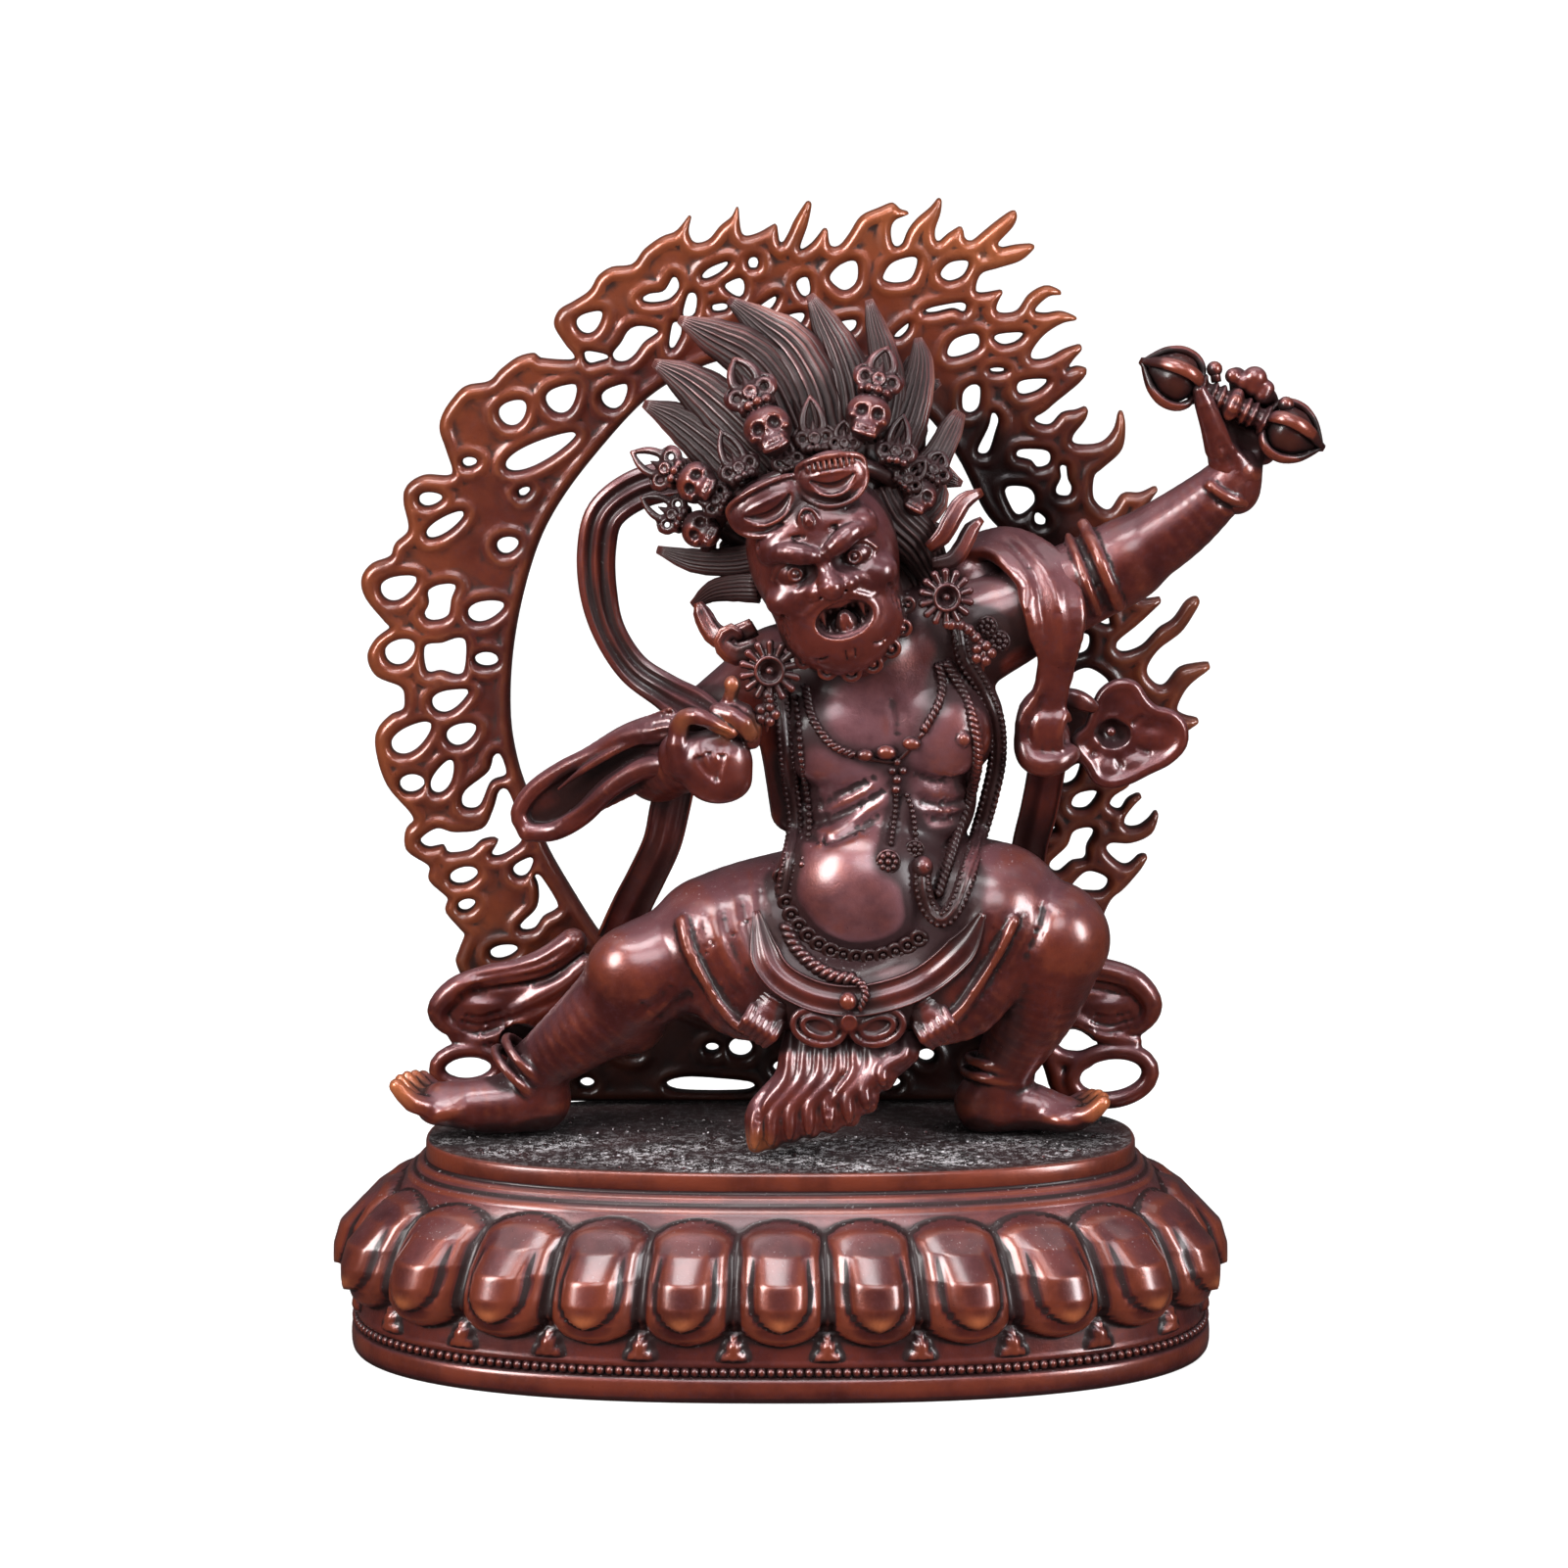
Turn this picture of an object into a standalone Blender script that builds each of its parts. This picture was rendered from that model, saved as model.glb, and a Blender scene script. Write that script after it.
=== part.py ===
"""A small cast-metal Vajrapani: a wrathful figure on a lotus base, with a flame aureole behind it.

Metres, +Z up, +X to the viewer's right, -Y towards the viewer.
The origin is the centre of the lotus base's underside.
"""

import math

import bmesh
import bpy
from mathutils import Matrix, Vector

MM = 0.001

# Lotus base
LOTUS_HEIGHT = 29.2 * MM
LOTUS_FOOT_HEIGHT = 7.4 * MM
LOTUS_RIM_HEIGHT = 2.9 * MM
LOTUS_TOP_WIDTH = 98.8 * MM
LOTUS_TOP_DEPTH = 43.0 * MM
LOTUS_FOOT_LEDGE = 10.6 * MM
LOTUS_PETAL_LEDGE = 12.0 * MM
LOTUS_NECK_LEDGE = 1.0 * MM
LOTUS_SQUARENESS = 2.5
PETAL_COUNT = 24
PETAL_RELIEF = 2.6 * MM

# Flame aureole
AUREOLE_THICKNESS = 4.2 * MM
AUREOLE_CENTRE = 68.8 * MM
AUREOLE_FOOT_WIDTH = 62.0 * MM
OPENING_WIDTH = 76.4 * MM
OPENING_HEIGHT = 95.0 * MM
OPENING_SILL = 10.8 * MM
LOBE_COUNT = 10
LOBE_DEPTH = 3.2 * MM
TONGUE_COUNT = 16
TONGUE_LENGTH = 9.6 * MM
TONGUE_WIDTH = 3.2 * MM
HOLE_LENGTH = 6.4 * MM
HOLE_BRIDGE = 1.1 * MM

# How many rows of openings the band carries at each step round it, from the left foot clockwise
HOLE_ROWS = (2, 3, 3, 3, 3, 3, 2, 2, 2, 2, 2, 3, 3, 3, 2, 2, 2, 2, 2, 2, 2)

# Turns round the aureole, in degrees clockwise from its top
FOOT_START = -142.0
TONGUES_START = -24.0

# How far the flames reach from the aureole's centre at a few turns; the line between them is smooth.
FLAME_REACH = (
    (-145.0, 62.5 * MM),
    (-100.0, 58.6 * MM),
    (-45.0, 54.0 * MM),
    (-12.0, 57.0 * MM),
    (28.0, 63.0 * MM),
    (60.0, 57.0 * MM),
    (95.0, 60.6 * MM),
    (145.0, 62.5 * MM),
)

# Figure
FIGURE_HEIGHT = 116.0 * MM
FIGURE_GRID = 116.0
FIGURE_FACES = 4880
FIGURE_VOXEL_SHARE = 0.0052

# Pieces that stand on or by each other keep this gap.
SEAT_GAP = 0.3 * MM

UNIT = FIGURE_HEIGHT / FIGURE_GRID
FIGURE_BACK = 15.4
FIGURE_FLOOR = LOTUS_HEIGHT + SEAT_GAP
AUREOLE_FRONT_Y = FIGURE_BACK * UNIT + 2 * SEAT_GAP
AUREOLE_MIDDLE_Y = AUREOLE_FRONT_Y + AUREOLE_THICKNESS / 2
AUREOLE_FLOOR = LOTUS_HEIGHT + SEAT_GAP


def clear_scene():
    for old in list(bpy.data.objects):
        bpy.data.objects.remove(old, do_unlink=True)


def make_collection(name):
    collection = bpy.data.collections.new(name)
    bpy.context.scene.collection.children.link(collection)
    return collection


def make_material(name, colour, roughness, metallic):
    material = bpy.data.materials.new(name)
    material.use_nodes = True
    shader = material.node_tree.nodes["Principled BSDF"]
    shader.inputs["Base Color"].default_value = (*colour, 1.0)
    shader.inputs["Roughness"].default_value = roughness
    shader.inputs["Metallic"].default_value = metallic
    return material


def add_object(name, data, collection, material):
    obj = bpy.data.objects.new(name, data)
    collection.objects.link(obj)
    if not data.materials:
        data.materials.append(material)
    return obj


def evaluated_copy(obj):
    """The object's mesh with its modifiers applied."""
    bpy.context.view_layer.update()
    graph = bpy.context.evaluated_depsgraph_get()
    return bpy.data.meshes.new_from_object(obj.evaluated_get(graph))


def smooth_path(points, spacing):
    """Points read from a Catmull-Rom curve through the given ones; each is a tuple of any length."""
    points = [Vector(p) for p in points]
    ends = [2 * points[0] - points[1]] + points + [2 * points[-1] - points[-2]]
    path = []
    for a, b, c, d in zip(ends, ends[1:], ends[2:], ends[3:]):
        steps = max(1, round((c - b).length / spacing))
        for i in range(steps):
            t = i / steps
            square = 2 * a - 5 * b + 4 * c - d
            cube = 3 * b - a - 3 * c + d
            path.append(0.5 * (2 * b + (c - a) * t + square * t**2 + cube * t**3))
    path.append(points[-1])
    return path


class Casting:
    """Collects the overlapping solids of one casting, on the figure's own grid, then fuses them."""

    def __init__(self):
        self.bm = bmesh.new()

    def ball(self, centre, radii, turn=0.0, tip=0.0):
        """An ellipsoid. It turns about the depth axis, then tips about the width axis, in degrees."""
        place = (
            Matrix.Translation(Vector(centre))
            @ Matrix.Rotation(math.radians(turn), 4, "Y")
            @ Matrix.Rotation(math.radians(tip), 4, "X")
            @ Matrix.Diagonal((*radii, 1.0))
        )
        bmesh.ops.create_uvsphere(self.bm, u_segments=20, v_segments=12, radius=1.0, matrix=place)

    def limb(self, points, radii):
        """A round limb along a smooth line, with a ball at each end."""
        path = smooth_path([(*p, r) for p, r in zip(points, radii)], 2.0)
        curve = bpy.data.curves.new("limb", "CURVE")
        curve.dimensions = "3D"
        curve.bevel_depth = 1.0
        curve.bevel_resolution = 3
        curve.use_fill_caps = True
        spline = curve.splines.new("POLY")
        spline.points.add(len(path) - 1)
        for point, (x, y, z, r) in zip(spline.points, path):
            point.co = (x, y, z, 1.0)
            point.radius = r
        holder = bpy.data.objects.new("limb", curve)
        bpy.context.scene.collection.objects.link(holder)
        mesh = evaluated_copy(holder)
        bpy.data.objects.remove(holder)
        self.bm.from_mesh(mesh)
        bpy.data.meshes.remove(mesh)
        for x, y, z, r in (path[0], path[-1]):
            self.ball((x, y, z), (r, r, r))

    def band(self, points, widths, thickness, facing=(0, -1, 0), sides=10):
        """A flat ribbon, lock or cloth along a smooth line: oval sections that look at facing."""
        path = smooth_path([(*p, w) for p, w in zip(points, widths)], 1.8)
        facing = Vector(facing).normalized()
        rings = []
        for i, station in enumerate(path):
            before, after = path[max(i - 1, 0)], path[min(i + 1, len(path) - 1)]
            along = (after - before).xyz.normalized()
            across = along.cross(facing).normalized()
            out = across.cross(along).normalized()
            centre, half = station.xyz, max(station.w, 0.3) / 2
            thick = min(thickness / 2, max(half, 0.45))
            ring = []
            for k in range(sides):
                a = 2 * math.pi * k / sides
                offset = across * half * math.cos(a) + out * thick * math.sin(a)
                ring.append(self.bm.verts.new(centre + offset))
            rings.append(ring)
        for low, high in zip(rings, rings[1:]):
            for k in range(sides):
                n = (k + 1) % sides
                self.bm.faces.new((low[k], low[n], high[n], high[k]))
        self.bm.faces.new(list(reversed(rings[0])))
        self.bm.faces.new(rings[-1])

    def fused(self, name, voxel, faces, scale, floor, collection, material):
        """One closed solid of everything added, with about that many triangles, cut flat at the floor."""
        bmesh.ops.recalc_face_normals(self.bm, faces=self.bm.faces)
        self.bm.transform(Matrix.Translation((0, 0, floor)) @ Matrix.Diagonal((scale, scale, scale, 1.0)))
        rough = bpy.data.meshes.new(name + "_rough")
        self.bm.to_mesh(rough)
        self.bm.free()
        holder = add_object(name + "_rough", rough, collection, material)
        remesh = holder.modifiers.new("Remesh", "REMESH")
        remesh.mode = "VOXEL"
        remesh.voxel_size = voxel
        fine = evaluated_copy(holder)
        fine.calc_loop_triangles()
        decimate = holder.modifiers.new("Decimate", "DECIMATE")
        decimate.ratio = faces / len(fine.loop_triangles)
        bpy.data.meshes.remove(fine)
        coarse = evaluated_copy(holder)
        bpy.data.objects.remove(holder)
        bm = bmesh.new()
        bm.from_mesh(coarse)
        cut = bmesh.ops.bisect_plane(
            bm,
            geom=bm.verts[:] + bm.edges[:] + bm.faces[:],
            plane_co=(0, 0, floor),
            plane_no=(0, 0, -1),
            clear_outer=True,
        )
        edges = [e for e in cut["geom_cut"] if isinstance(e, bmesh.types.BMEdge)]
        bmesh.ops.holes_fill(bm, edges=edges)
        bmesh.ops.triangulate(bm, faces=bm.faces)
        bm.to_mesh(coarse)
        bm.free()
        coarse.name = name
        return add_object(name, coarse, collection, material)


def rounded_plan(half_width, half_depth, angle):
    """A point of the base's plan, an oval squared a little at its corners."""
    c, s = math.cos(angle), math.sin(angle)
    power = 2.0 / LOTUS_SQUARENESS
    x = half_width * math.copysign(abs(c) ** power, c)
    y = half_depth * math.copysign(abs(s) ** power, s)
    return Vector((x, y, 0.0))


def even_angles(count, half_width, half_depth):
    """Plan angles that are the same distance apart along the rim, starting at the middle of the front."""
    fine = 2880
    turns = [-math.pi / 2 + 2 * math.pi * i / fine for i in range(fine + 1)]
    points = [rounded_plan(half_width, half_depth, turn) for turn in turns]
    run = [0.0]
    for a, b in zip(points, points[1:]):
        run.append(run[-1] + (b - a).length)
    angles = []
    at = 0
    for k in range(count):
        goal = run[-1] * k / count
        while run[at + 1] < goal:
            at += 1
        share = (goal - run[at]) / (run[at + 1] - run[at])
        angles.append(-math.pi / 2 + 2 * math.pi * (at + share) / fine)
    return angles


def lotus_profile():
    """(height, ledge beyond the top's edge, share of the petal relief) for each level, from the foot up."""
    foot, top, rim = LOTUS_FOOT_HEIGHT, LOTUS_HEIGHT, LOTUS_RIM_HEIGHT
    neck = top - rim - 2.2 * MM
    petals = neck - foot
    return [
        (0.0, LOTUS_FOOT_LEDGE, 0.0),
        (0.45 * foot, LOTUS_FOOT_LEDGE, 0.0),
        (foot, LOTUS_FOOT_LEDGE - 1.6 * MM, 0.0),
        (foot + 0.08 * petals, LOTUS_PETAL_LEDGE - 2.2 * MM, 0.55),
        (foot + 0.34 * petals, LOTUS_PETAL_LEDGE, 1.0),
        (foot + 0.62 * petals, LOTUS_PETAL_LEDGE - 0.9 * MM, 0.9),
        (foot + 0.86 * petals, LOTUS_PETAL_LEDGE - 3.8 * MM, 0.6),
        (neck, LOTUS_NECK_LEDGE + 2.6 * MM, 0.0),
        (top - rim, LOTUS_NECK_LEDGE, 0.0),
        (top - rim, 0.0, 0.0),
        (top, 0.0, 0.0),
    ]


def lotus_base(collection, material):
    """The lotus base: sections of one oval plan, each with its own ledge, and a ring of hanging petals."""
    samples = (0.0, -1.0, -0.15, -0.15)
    columns = PETAL_COUNT * len(samples)
    half_width = LOTUS_TOP_WIDTH / 2
    half_depth = LOTUS_TOP_DEPTH / 2
    angles = even_angles(columns, half_width + LOTUS_FOOT_LEDGE, half_depth + LOTUS_FOOT_LEDGE)
    crest = (0.0, -0.25, -1.0, -0.25)
    bm = bmesh.new()
    rings = []
    for height, ledge, relief in lotus_profile():
        ring = []
        for k, angle in enumerate(angles):
            sunk = ledge + crest[k % len(crest)] * relief * PETAL_RELIEF
            point = rounded_plan(half_width + sunk, half_depth + sunk, angle)
            point.z = height
            ring.append(bm.verts.new(point))
        rings.append(ring)
    for low, high in zip(rings, rings[1:]):
        for k in range(columns):
            n = (k + 1) % columns
            bm.faces.new((low[k], low[n], high[n], high[k]))
    bm.faces.new(list(reversed(rings[0])))
    bm.faces.new(rings[-1])
    bmesh.ops.recalc_face_normals(bm, faces=bm.faces)
    mesh = bpy.data.meshes.new("lotus_base")
    bm.to_mesh(mesh)
    bm.free()
    return add_object("lotus_base", mesh, collection, material)


def oval(centre_z, half_width, half_height, turn, squareness=2.0):
    """A point (across, up) of an upright oval. The turn runs clockwise from its top, in degrees."""
    s, c = math.sin(math.radians(turn)), math.cos(math.radians(turn))
    power = 2.0 / squareness
    across = half_width * math.copysign(abs(s) ** power, s)
    up = centre_z + half_height * math.copysign(abs(c) ** power, c)
    return Vector((across, up))


def opening_edge(turn):
    middle = OPENING_SILL + OPENING_HEIGHT / 2
    return oval(middle, OPENING_WIDTH / 2, OPENING_HEIGHT / 2, turn)


def flame_edge(turn):
    """The line that the lobes and the flame tips reach."""
    turn = min(max(turn, FLAME_REACH[0][0]), FLAME_REACH[-1][0])
    for (low, a), (high, b) in zip(FLAME_REACH, FLAME_REACH[1:]):
        if turn <= high:
            share = (1.0 - math.cos(math.pi * (turn - low) / (high - low))) / 2
            reach = a + (b - a) * share
            break
    return oval(AUREOLE_CENTRE, reach, reach, turn)


def free_length(turn):
    """How far the tongues stand free of the band: longest at the upper right."""
    return TONGUE_LENGTH * (0.62 + 0.38 * math.exp(-(((turn - 72.0) / 34.0) ** 2)))


def band_edge(turn):
    """The outer edge of the unbroken band, inside the lobes of the left and the tongues of the right."""
    share = min(1.0, max(0.0, (turn - TONGUES_START + 14.0) / 14.0))
    inset = LOBE_DEPTH * (1.0 - share) + free_length(turn) * share
    edge, inner = flame_edge(turn), opening_edge(turn)
    return edge + (inner - edge).normalized() * inset


def lobe_points(turn, step):
    """One cloud-like lobe of the left side: round at its lower end, then drawn in to the next."""
    points = []
    for share, depth in ((0.0, 1.0), (0.1, 0.35), (0.26, 0.0), (0.48, 0.1), (0.72, 0.45), (0.9, 0.6)):
        at = turn + share * step
        edge, inner = flame_edge(at), opening_edge(at)
        points.append(edge + (inner - edge).normalized() * LOBE_DEPTH * depth)
    return points


def tongue_points(turn, step, order):
    """One tongue of flame: it leaves the band outwards, then is swept up and to the right."""
    root_a, root_b = band_edge(turn), band_edge(turn + step)
    root = (root_a + root_b) / 2
    middle = turn + step / 2
    out = (band_edge(middle) - opening_edge(middle)).normalized()
    sweep = (out * 0.6 + Vector((0.66, 0.60))).normalized()
    length = free_length(middle) * (1.25 + 0.16 * math.sin(2.3 * order))
    bend = root + out * length * 0.45
    tip = root + sweep * length
    left, right = [], []
    for share, width in ((0.3, 1.0), (0.65, 0.72), (1.0, 0.22)):
        at = root.lerp(bend, share).lerp(bend.lerp(tip, share), share)
        along = (bend - root).lerp(tip - bend, share).normalized()
        side = Vector((-along.y, along.x)) * TONGUE_WIDTH / 2 * width
        left.append(at + side)
        right.append(at - side)
    return [root_a, *left, *reversed(right)]


def aureole_outline():
    """The aureole's edge, clockwise: lobes up the left, tongues down the right, and a flat foot."""
    points = []
    lobe = (TONGUES_START - FOOT_START) / LOBE_COUNT
    for k in range(LOBE_COUNT):
        points += lobe_points(FOOT_START + k * lobe, lobe)
    tongue = (-FOOT_START - TONGUES_START) / TONGUE_COUNT
    for k in range(TONGUE_COUNT):
        points += tongue_points(TONGUES_START + k * tongue, tongue, k)
    half = AUREOLE_FOOT_WIDTH / 2
    return points + [band_edge(-FOOT_START), Vector((half, 0.0)), Vector((-half, 0.0))]


def flame_hole(centre, axis, length, width, count=8):
    """A comma-shaped opening, round at its low end and drawn out along the axis."""
    side = Vector((-axis.y, axis.x))
    points = []
    for k in range(count):
        a = 2 * math.pi * k / count
        taper = 1.0 - 0.5 * math.cos(a)
        bend = 0.2 * width * math.cos(a) ** 2
        across = width / 2 * taper * math.sin(a) + bend
        points.append(centre + axis * length / 2 * math.cos(a) + side * across)
    return points


def gap_to_line(points, line):
    """The least distance from any of the points to a closed line."""
    least = math.inf
    for a, b in zip(line, line[1:] + line[:1]):
        along = b - a
        square = max(along.length_squared, 1e-18)
        for p in points:
            share = min(1.0, max(0.0, (p - a).dot(along) / square))
            least = min(least, (a + along * share - p).length)
    return least


def middle_of(points):
    total = Vector((0.0, 0.0))
    for p in points:
        total += p
    return total / len(points)


def shrunk(points, share):
    centre = middle_of(points)
    return [centre + (p - centre) * share for p in points]


def bridged_holes(holes, edges):
    """The same openings, each drawn in until a bridge of metal is left round it."""
    reach = 2.5 * HOLE_LENGTH
    centres = [middle_of(hole) for hole in holes]
    near = []
    for centre in centres:
        pieces = []
        for edge in edges:
            for a, b in zip(edge, edge[1:] + edge[:1]):
                if (a - centre).length < reach or (b - centre).length < reach:
                    pieces.append([a, b])
        near.append(pieces)
    for _ in range(30):
        tight = set()
        for i, hole in enumerate(holes):
            if any(gap_to_line(hole, piece) < HOLE_BRIDGE for piece in near[i]):
                tight.add(i)
            for j in range(i + 1, len(holes)):
                if (centres[i] - centres[j]).length > reach:
                    continue
                if min(gap_to_line(hole, holes[j]), gap_to_line(holes[j], hole)) < HOLE_BRIDGE:
                    tight.update((i, j))
        if not tight:
            break
        holes = [shrunk(hole, 0.92) if i in tight else hole for i, hole in enumerate(holes)]
    return holes


def flame_holes():
    """Staggered rows of openings round the band: three rows where it is widest, two or one elsewhere."""
    holes = []
    steps = len(HOLE_ROWS)
    step = (-2 * FOOT_START - 16.0) / steps
    for k, rows in enumerate(HOLE_ROWS):
        for row in range(rows):
            turn = FOOT_START + 8.0 + (k + (0.25 if row % 2 else 0.7)) * step
            inner, outer = opening_edge(turn), band_edge(turn)
            width = (outer - inner).length
            out = (outer - inner).normalized()
            along = Vector((out.y, -out.x))
            run = (band_edge(turn + step / 2) - band_edge(turn - step / 2)).length
            centre = inner.lerp(outer, (row + 0.5) / rows)
            vary = math.sin(3.7 * k + 2.1 * row)
            axis = (along * 0.8 + Vector((0.5, 0.5)) + out * 0.2 * vary).normalized()
            length = min(run * 0.62, width * 0.42, HOLE_LENGTH)
            holes.append(flame_hole(centre, axis, length, width / rows * (0.5 - 0.06 * vary)))
    return holes


def sill_holes():
    """The low openings in the bar that closes the aureole behind the legs."""
    holes = []
    for across, length in ((-17.0, 7.0), (-6.0, 6.0), (6.0, 6.0), (17.0, 7.0)):
        centre = Vector((across * MM, 0.42 * OPENING_SILL))
        hole = []
        for k in range(8):
            a = 2 * math.pi * k / 8
            hole.append(centre + Vector((length / 2 * MM * math.cos(a), 0.17 * OPENING_SILL * math.sin(a))))
        holes.append(hole)
    return holes


def flame_aureole(collection, material):
    """The flame aureole: one flat outline with all its openings, extruded."""
    curve = bpy.data.curves.new("flame_aureole", "CURVE")
    curve.dimensions = "2D"
    curve.fill_mode = "BOTH"
    curve.extrude = AUREOLE_THICKNESS / 2
    inner = [opening_edge(360.0 * k / 56) for k in range(56)]
    outer = aureole_outline()
    holes = bridged_holes(flame_holes() + sill_holes(), [outer, inner])
    for outline in [outer, inner, *holes]:
        spline = curve.splines.new("POLY")
        spline.points.add(len(outline) - 1)
        for point, (across, up) in zip(spline.points, outline):
            point.co = (across, up, 0.0, 1.0)
        spline.use_cyclic_u = True
    obj = add_object("flame_aureole", curve, collection, material)
    obj.location = (0.0, AUREOLE_MIDDLE_Y, AUREOLE_FLOOR)
    obj.rotation_euler = (math.pi / 2, 0.0, 0.0)
    return obj


def legs(cast):
    """The lunge: the figure's right leg stretched to the viewer's left, its left leg bent."""
    cast.limb(
        [(4, 2, 28), (-9, -3, 27), (-19.5, -5, 23.6), (-25.5, -3, 17.0), (-34.0, -1, 9.3)],
        [9, 8, 7, 6.2, 4.1],
    )
    cast.limb([(-34, 0, 5.2), (-41, -2, 4.2), (-47.2, -3, 5.0), (-52.3, -3.6, 8.4)], [4.6, 3.6, 2.9, 1.7])
    cast.limb([(-33.6, 0.6, 8), (-33.4, 0.8, 3)], [4.2, 3.8])
    cast.limb([(16, 2, 29), (28, -3, 30.5), (37, -6, 29.6)], [9.5, 9.2, 7.8])
    cast.limb([(37, -6, 28.6), (34.8, -3.5, 20), (31.2, -0.5, 10), (29.5, 0.5, 4)], [7.6, 6.4, 4.4, 4.2])
    cast.limb([(28.2, 1, 3.4), (34, 0, 3.6), (40, -1.5, 3.2), (44, -2.2, 5.2)], [4.2, 3.5, 2.6, 1.6])


def torso(cast):
    cast.ball((10, 1, 29.5), (15, 10.5, 10))
    cast.ball((11.2, -3.2, 37), (13.2, 10.8, 11.5))
    cast.ball((13.4, -1.5, 47), (13.6, 9, 9.5))
    cast.ball((13.8, -1.8, 57), (14.8, 9.6, 10))
    cast.ball((14, -0.6, 64.5), (16, 8.6, 9), turn=-14)
    cast.limb([(0, 1.5, 64), (14, 0.5, 69), (28.5, 1, 71.8)], [6.6, 7.4, 6.6])
    cast.limb([(12, -2.5, 68), (9, -5.5, 76)], [6.8, 6.2])
    cast.limb([(27, -1, 70), (31, -1.5, 62), (29.8, -3, 52), (26.6, -5, 42), (23, -7, 34)], [1.9] * 5)


def arms(cast):
    """The right arm with its raised finger before the chest, and the raised left arm and its fist."""
    cast.limb(
        [(0, 2, 64.5), (-9, 4, 57), (-15.5, 2, 52.5), (-12.5, -6, 53.2), (-10, -11, 54.2)],
        [6, 5.4, 4.8, 4.1, 3.6],
    )
    cast.ball((-8.6, -12.6, 54), (5.1, 3.2, 5.3))
    cast.limb([(-7, -13, 58), (-7.4, -13.6, 62), (-7.1, -13.2, 66)], [1.5, 1.2, 1.1])
    cast.limb([(-11.6, -13.6, 57.5), (-9, -15.4, 59.6), (-4.6, -14.8, 58.8)], [1.6, 1.4, 1.4])
    cast.limb(
        [(28, 1, 71.5), (38, 0.5, 76.2), (47, 0, 80.7), (56, -1, 87), (62.8, -2, 92.6)],
        [6.6, 5.9, 5.2, 4.4, 3.4],
    )
    cast.limb([(63, -2, 92.2), (62, -3, 97.5), (60.2, -3.6, 103)], [3.6, 3.7, 3.0])
    cast.limb([(57.5, -7.5, 99), (58, -8, 104), (61.5, -5.5, 106.5)], [1.7, 1.5, 1.5])


def vajra(cast):
    """The thunderbolt: a grip with a closed cage of prongs at each end."""
    left, right = Vector((49.6, -5, 107.0)), Vector((72.4, -5, 96.9))
    axis = (right - left).normalized()
    turn = math.degrees(math.atan2(-axis.z, axis.x))
    cast.limb([left + axis * 2, right - axis * 2], [1.5, 1.5])
    for end, way in ((left, 1), (right, -1)):
        cast.ball(end + axis * 5.0 * way, (5.0, 4.3, 4.6), turn=turn)
        cast.limb([end - axis * 0.2 * way, end + axis * 3 * way], [0.7, 1.5])


def head(cast):
    """A round wrathful head, leaning to the viewer's left: bulging eyes, broad nose, open mouth."""
    lean = -11
    cast.ball((6.6, -7.6, 82), (10.6, 11, 13.0), turn=lean)
    cast.ball((8.2, -9.6, 74.5), (9.4, 9.2, 7.4), turn=lean)
    cast.ball((8.4, -18.4, 79.6), (2.6, 2.4, 2.3), turn=lean)
    for side in (-1, 1):
        cast.ball((7.0 + 4.6 * side, -16.0, 84.6 + 0.9 * side), (2.9, 2.4, 2.1), turn=lean)
        cast.ball((7.9 + 5.6 * side, -15.2, 78.6 + 1.1 * side), (3.2, 2.6, 2.6), turn=lean)
        cast.ball((6.6 + 4.5 * side, -16.3, 88.2 + 0.9 * side), (4.2, 2.2, 2.0), turn=lean + 8 * side)
    cast.ball((8.9, -16.2, 74.8), (5.2, 2.8, 2.6), turn=lean)
    cast.ball((9.5, -15.4, 70.4), (3.4, 2.4, 2.2), turn=lean)


def hair(cast):
    """Locks that stand up like flames, in two rows round the crown of the head."""
    root = Vector((6.0, 0.0, 92.0))
    for k in range(14):
        angle = -12 + 18.0 * k
        a = math.radians(angle)
        way = Vector((math.cos(a), 0.0, math.sin(a)))
        side = Vector((-math.sin(a), 0.0, math.cos(a)))
        reach = 24.0 - 3.6 * math.cos(a) + 1.6 * max(0.0, math.sin(a)) - (3.0 if angle > 165 else 0.0)
        sway = 3.0 * side * (1 if 60 < angle < 165 else -0.4)
        start = root + way * 6 + Vector((0, -1.0, 0)) - sway * 0.5
        middle = root + way * (reach * 0.6) + Vector((0, 1.2, 0)) - sway * 0.6
        end = root + way * reach + Vector((0, 3.0, 0)) + sway
        cast.band([start, middle, end], [9.0, 7.6, 0.8], 5.4)
    for k in range(11):
        a = math.radians(-8 + 19.6 * k)
        way = Vector((math.cos(a), 0.0, math.sin(a)))
        reach = 20.5 - 3.0 * math.cos(a)
        start = root + way * 5 + Vector((0, 4.0, 0))
        middle = root + way * reach * 0.6 + Vector((0, 7.4, 0))
        end = root + way * reach + Vector((0, 9.8, 0))
        cast.band([start, middle, end], [9.5, 8.0, 1.0], 5.4)
    cast.ball((6.2, 1.5, 90), (13, 9.5, 13))
    cast.ball((8.5, 2.0, 78), (11.5, 7.5, 10))
    cast.band([(15, -1, 88), (22, -3, 86.4), (28.2, -3, 82)], [9, 8.5, 5], 4.0)
    cast.band([(-4, -1, 80), (-8.6, -3, 72), (-6.4, -3, 65)], [8, 7.0, 5.6], 4.4)


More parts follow.
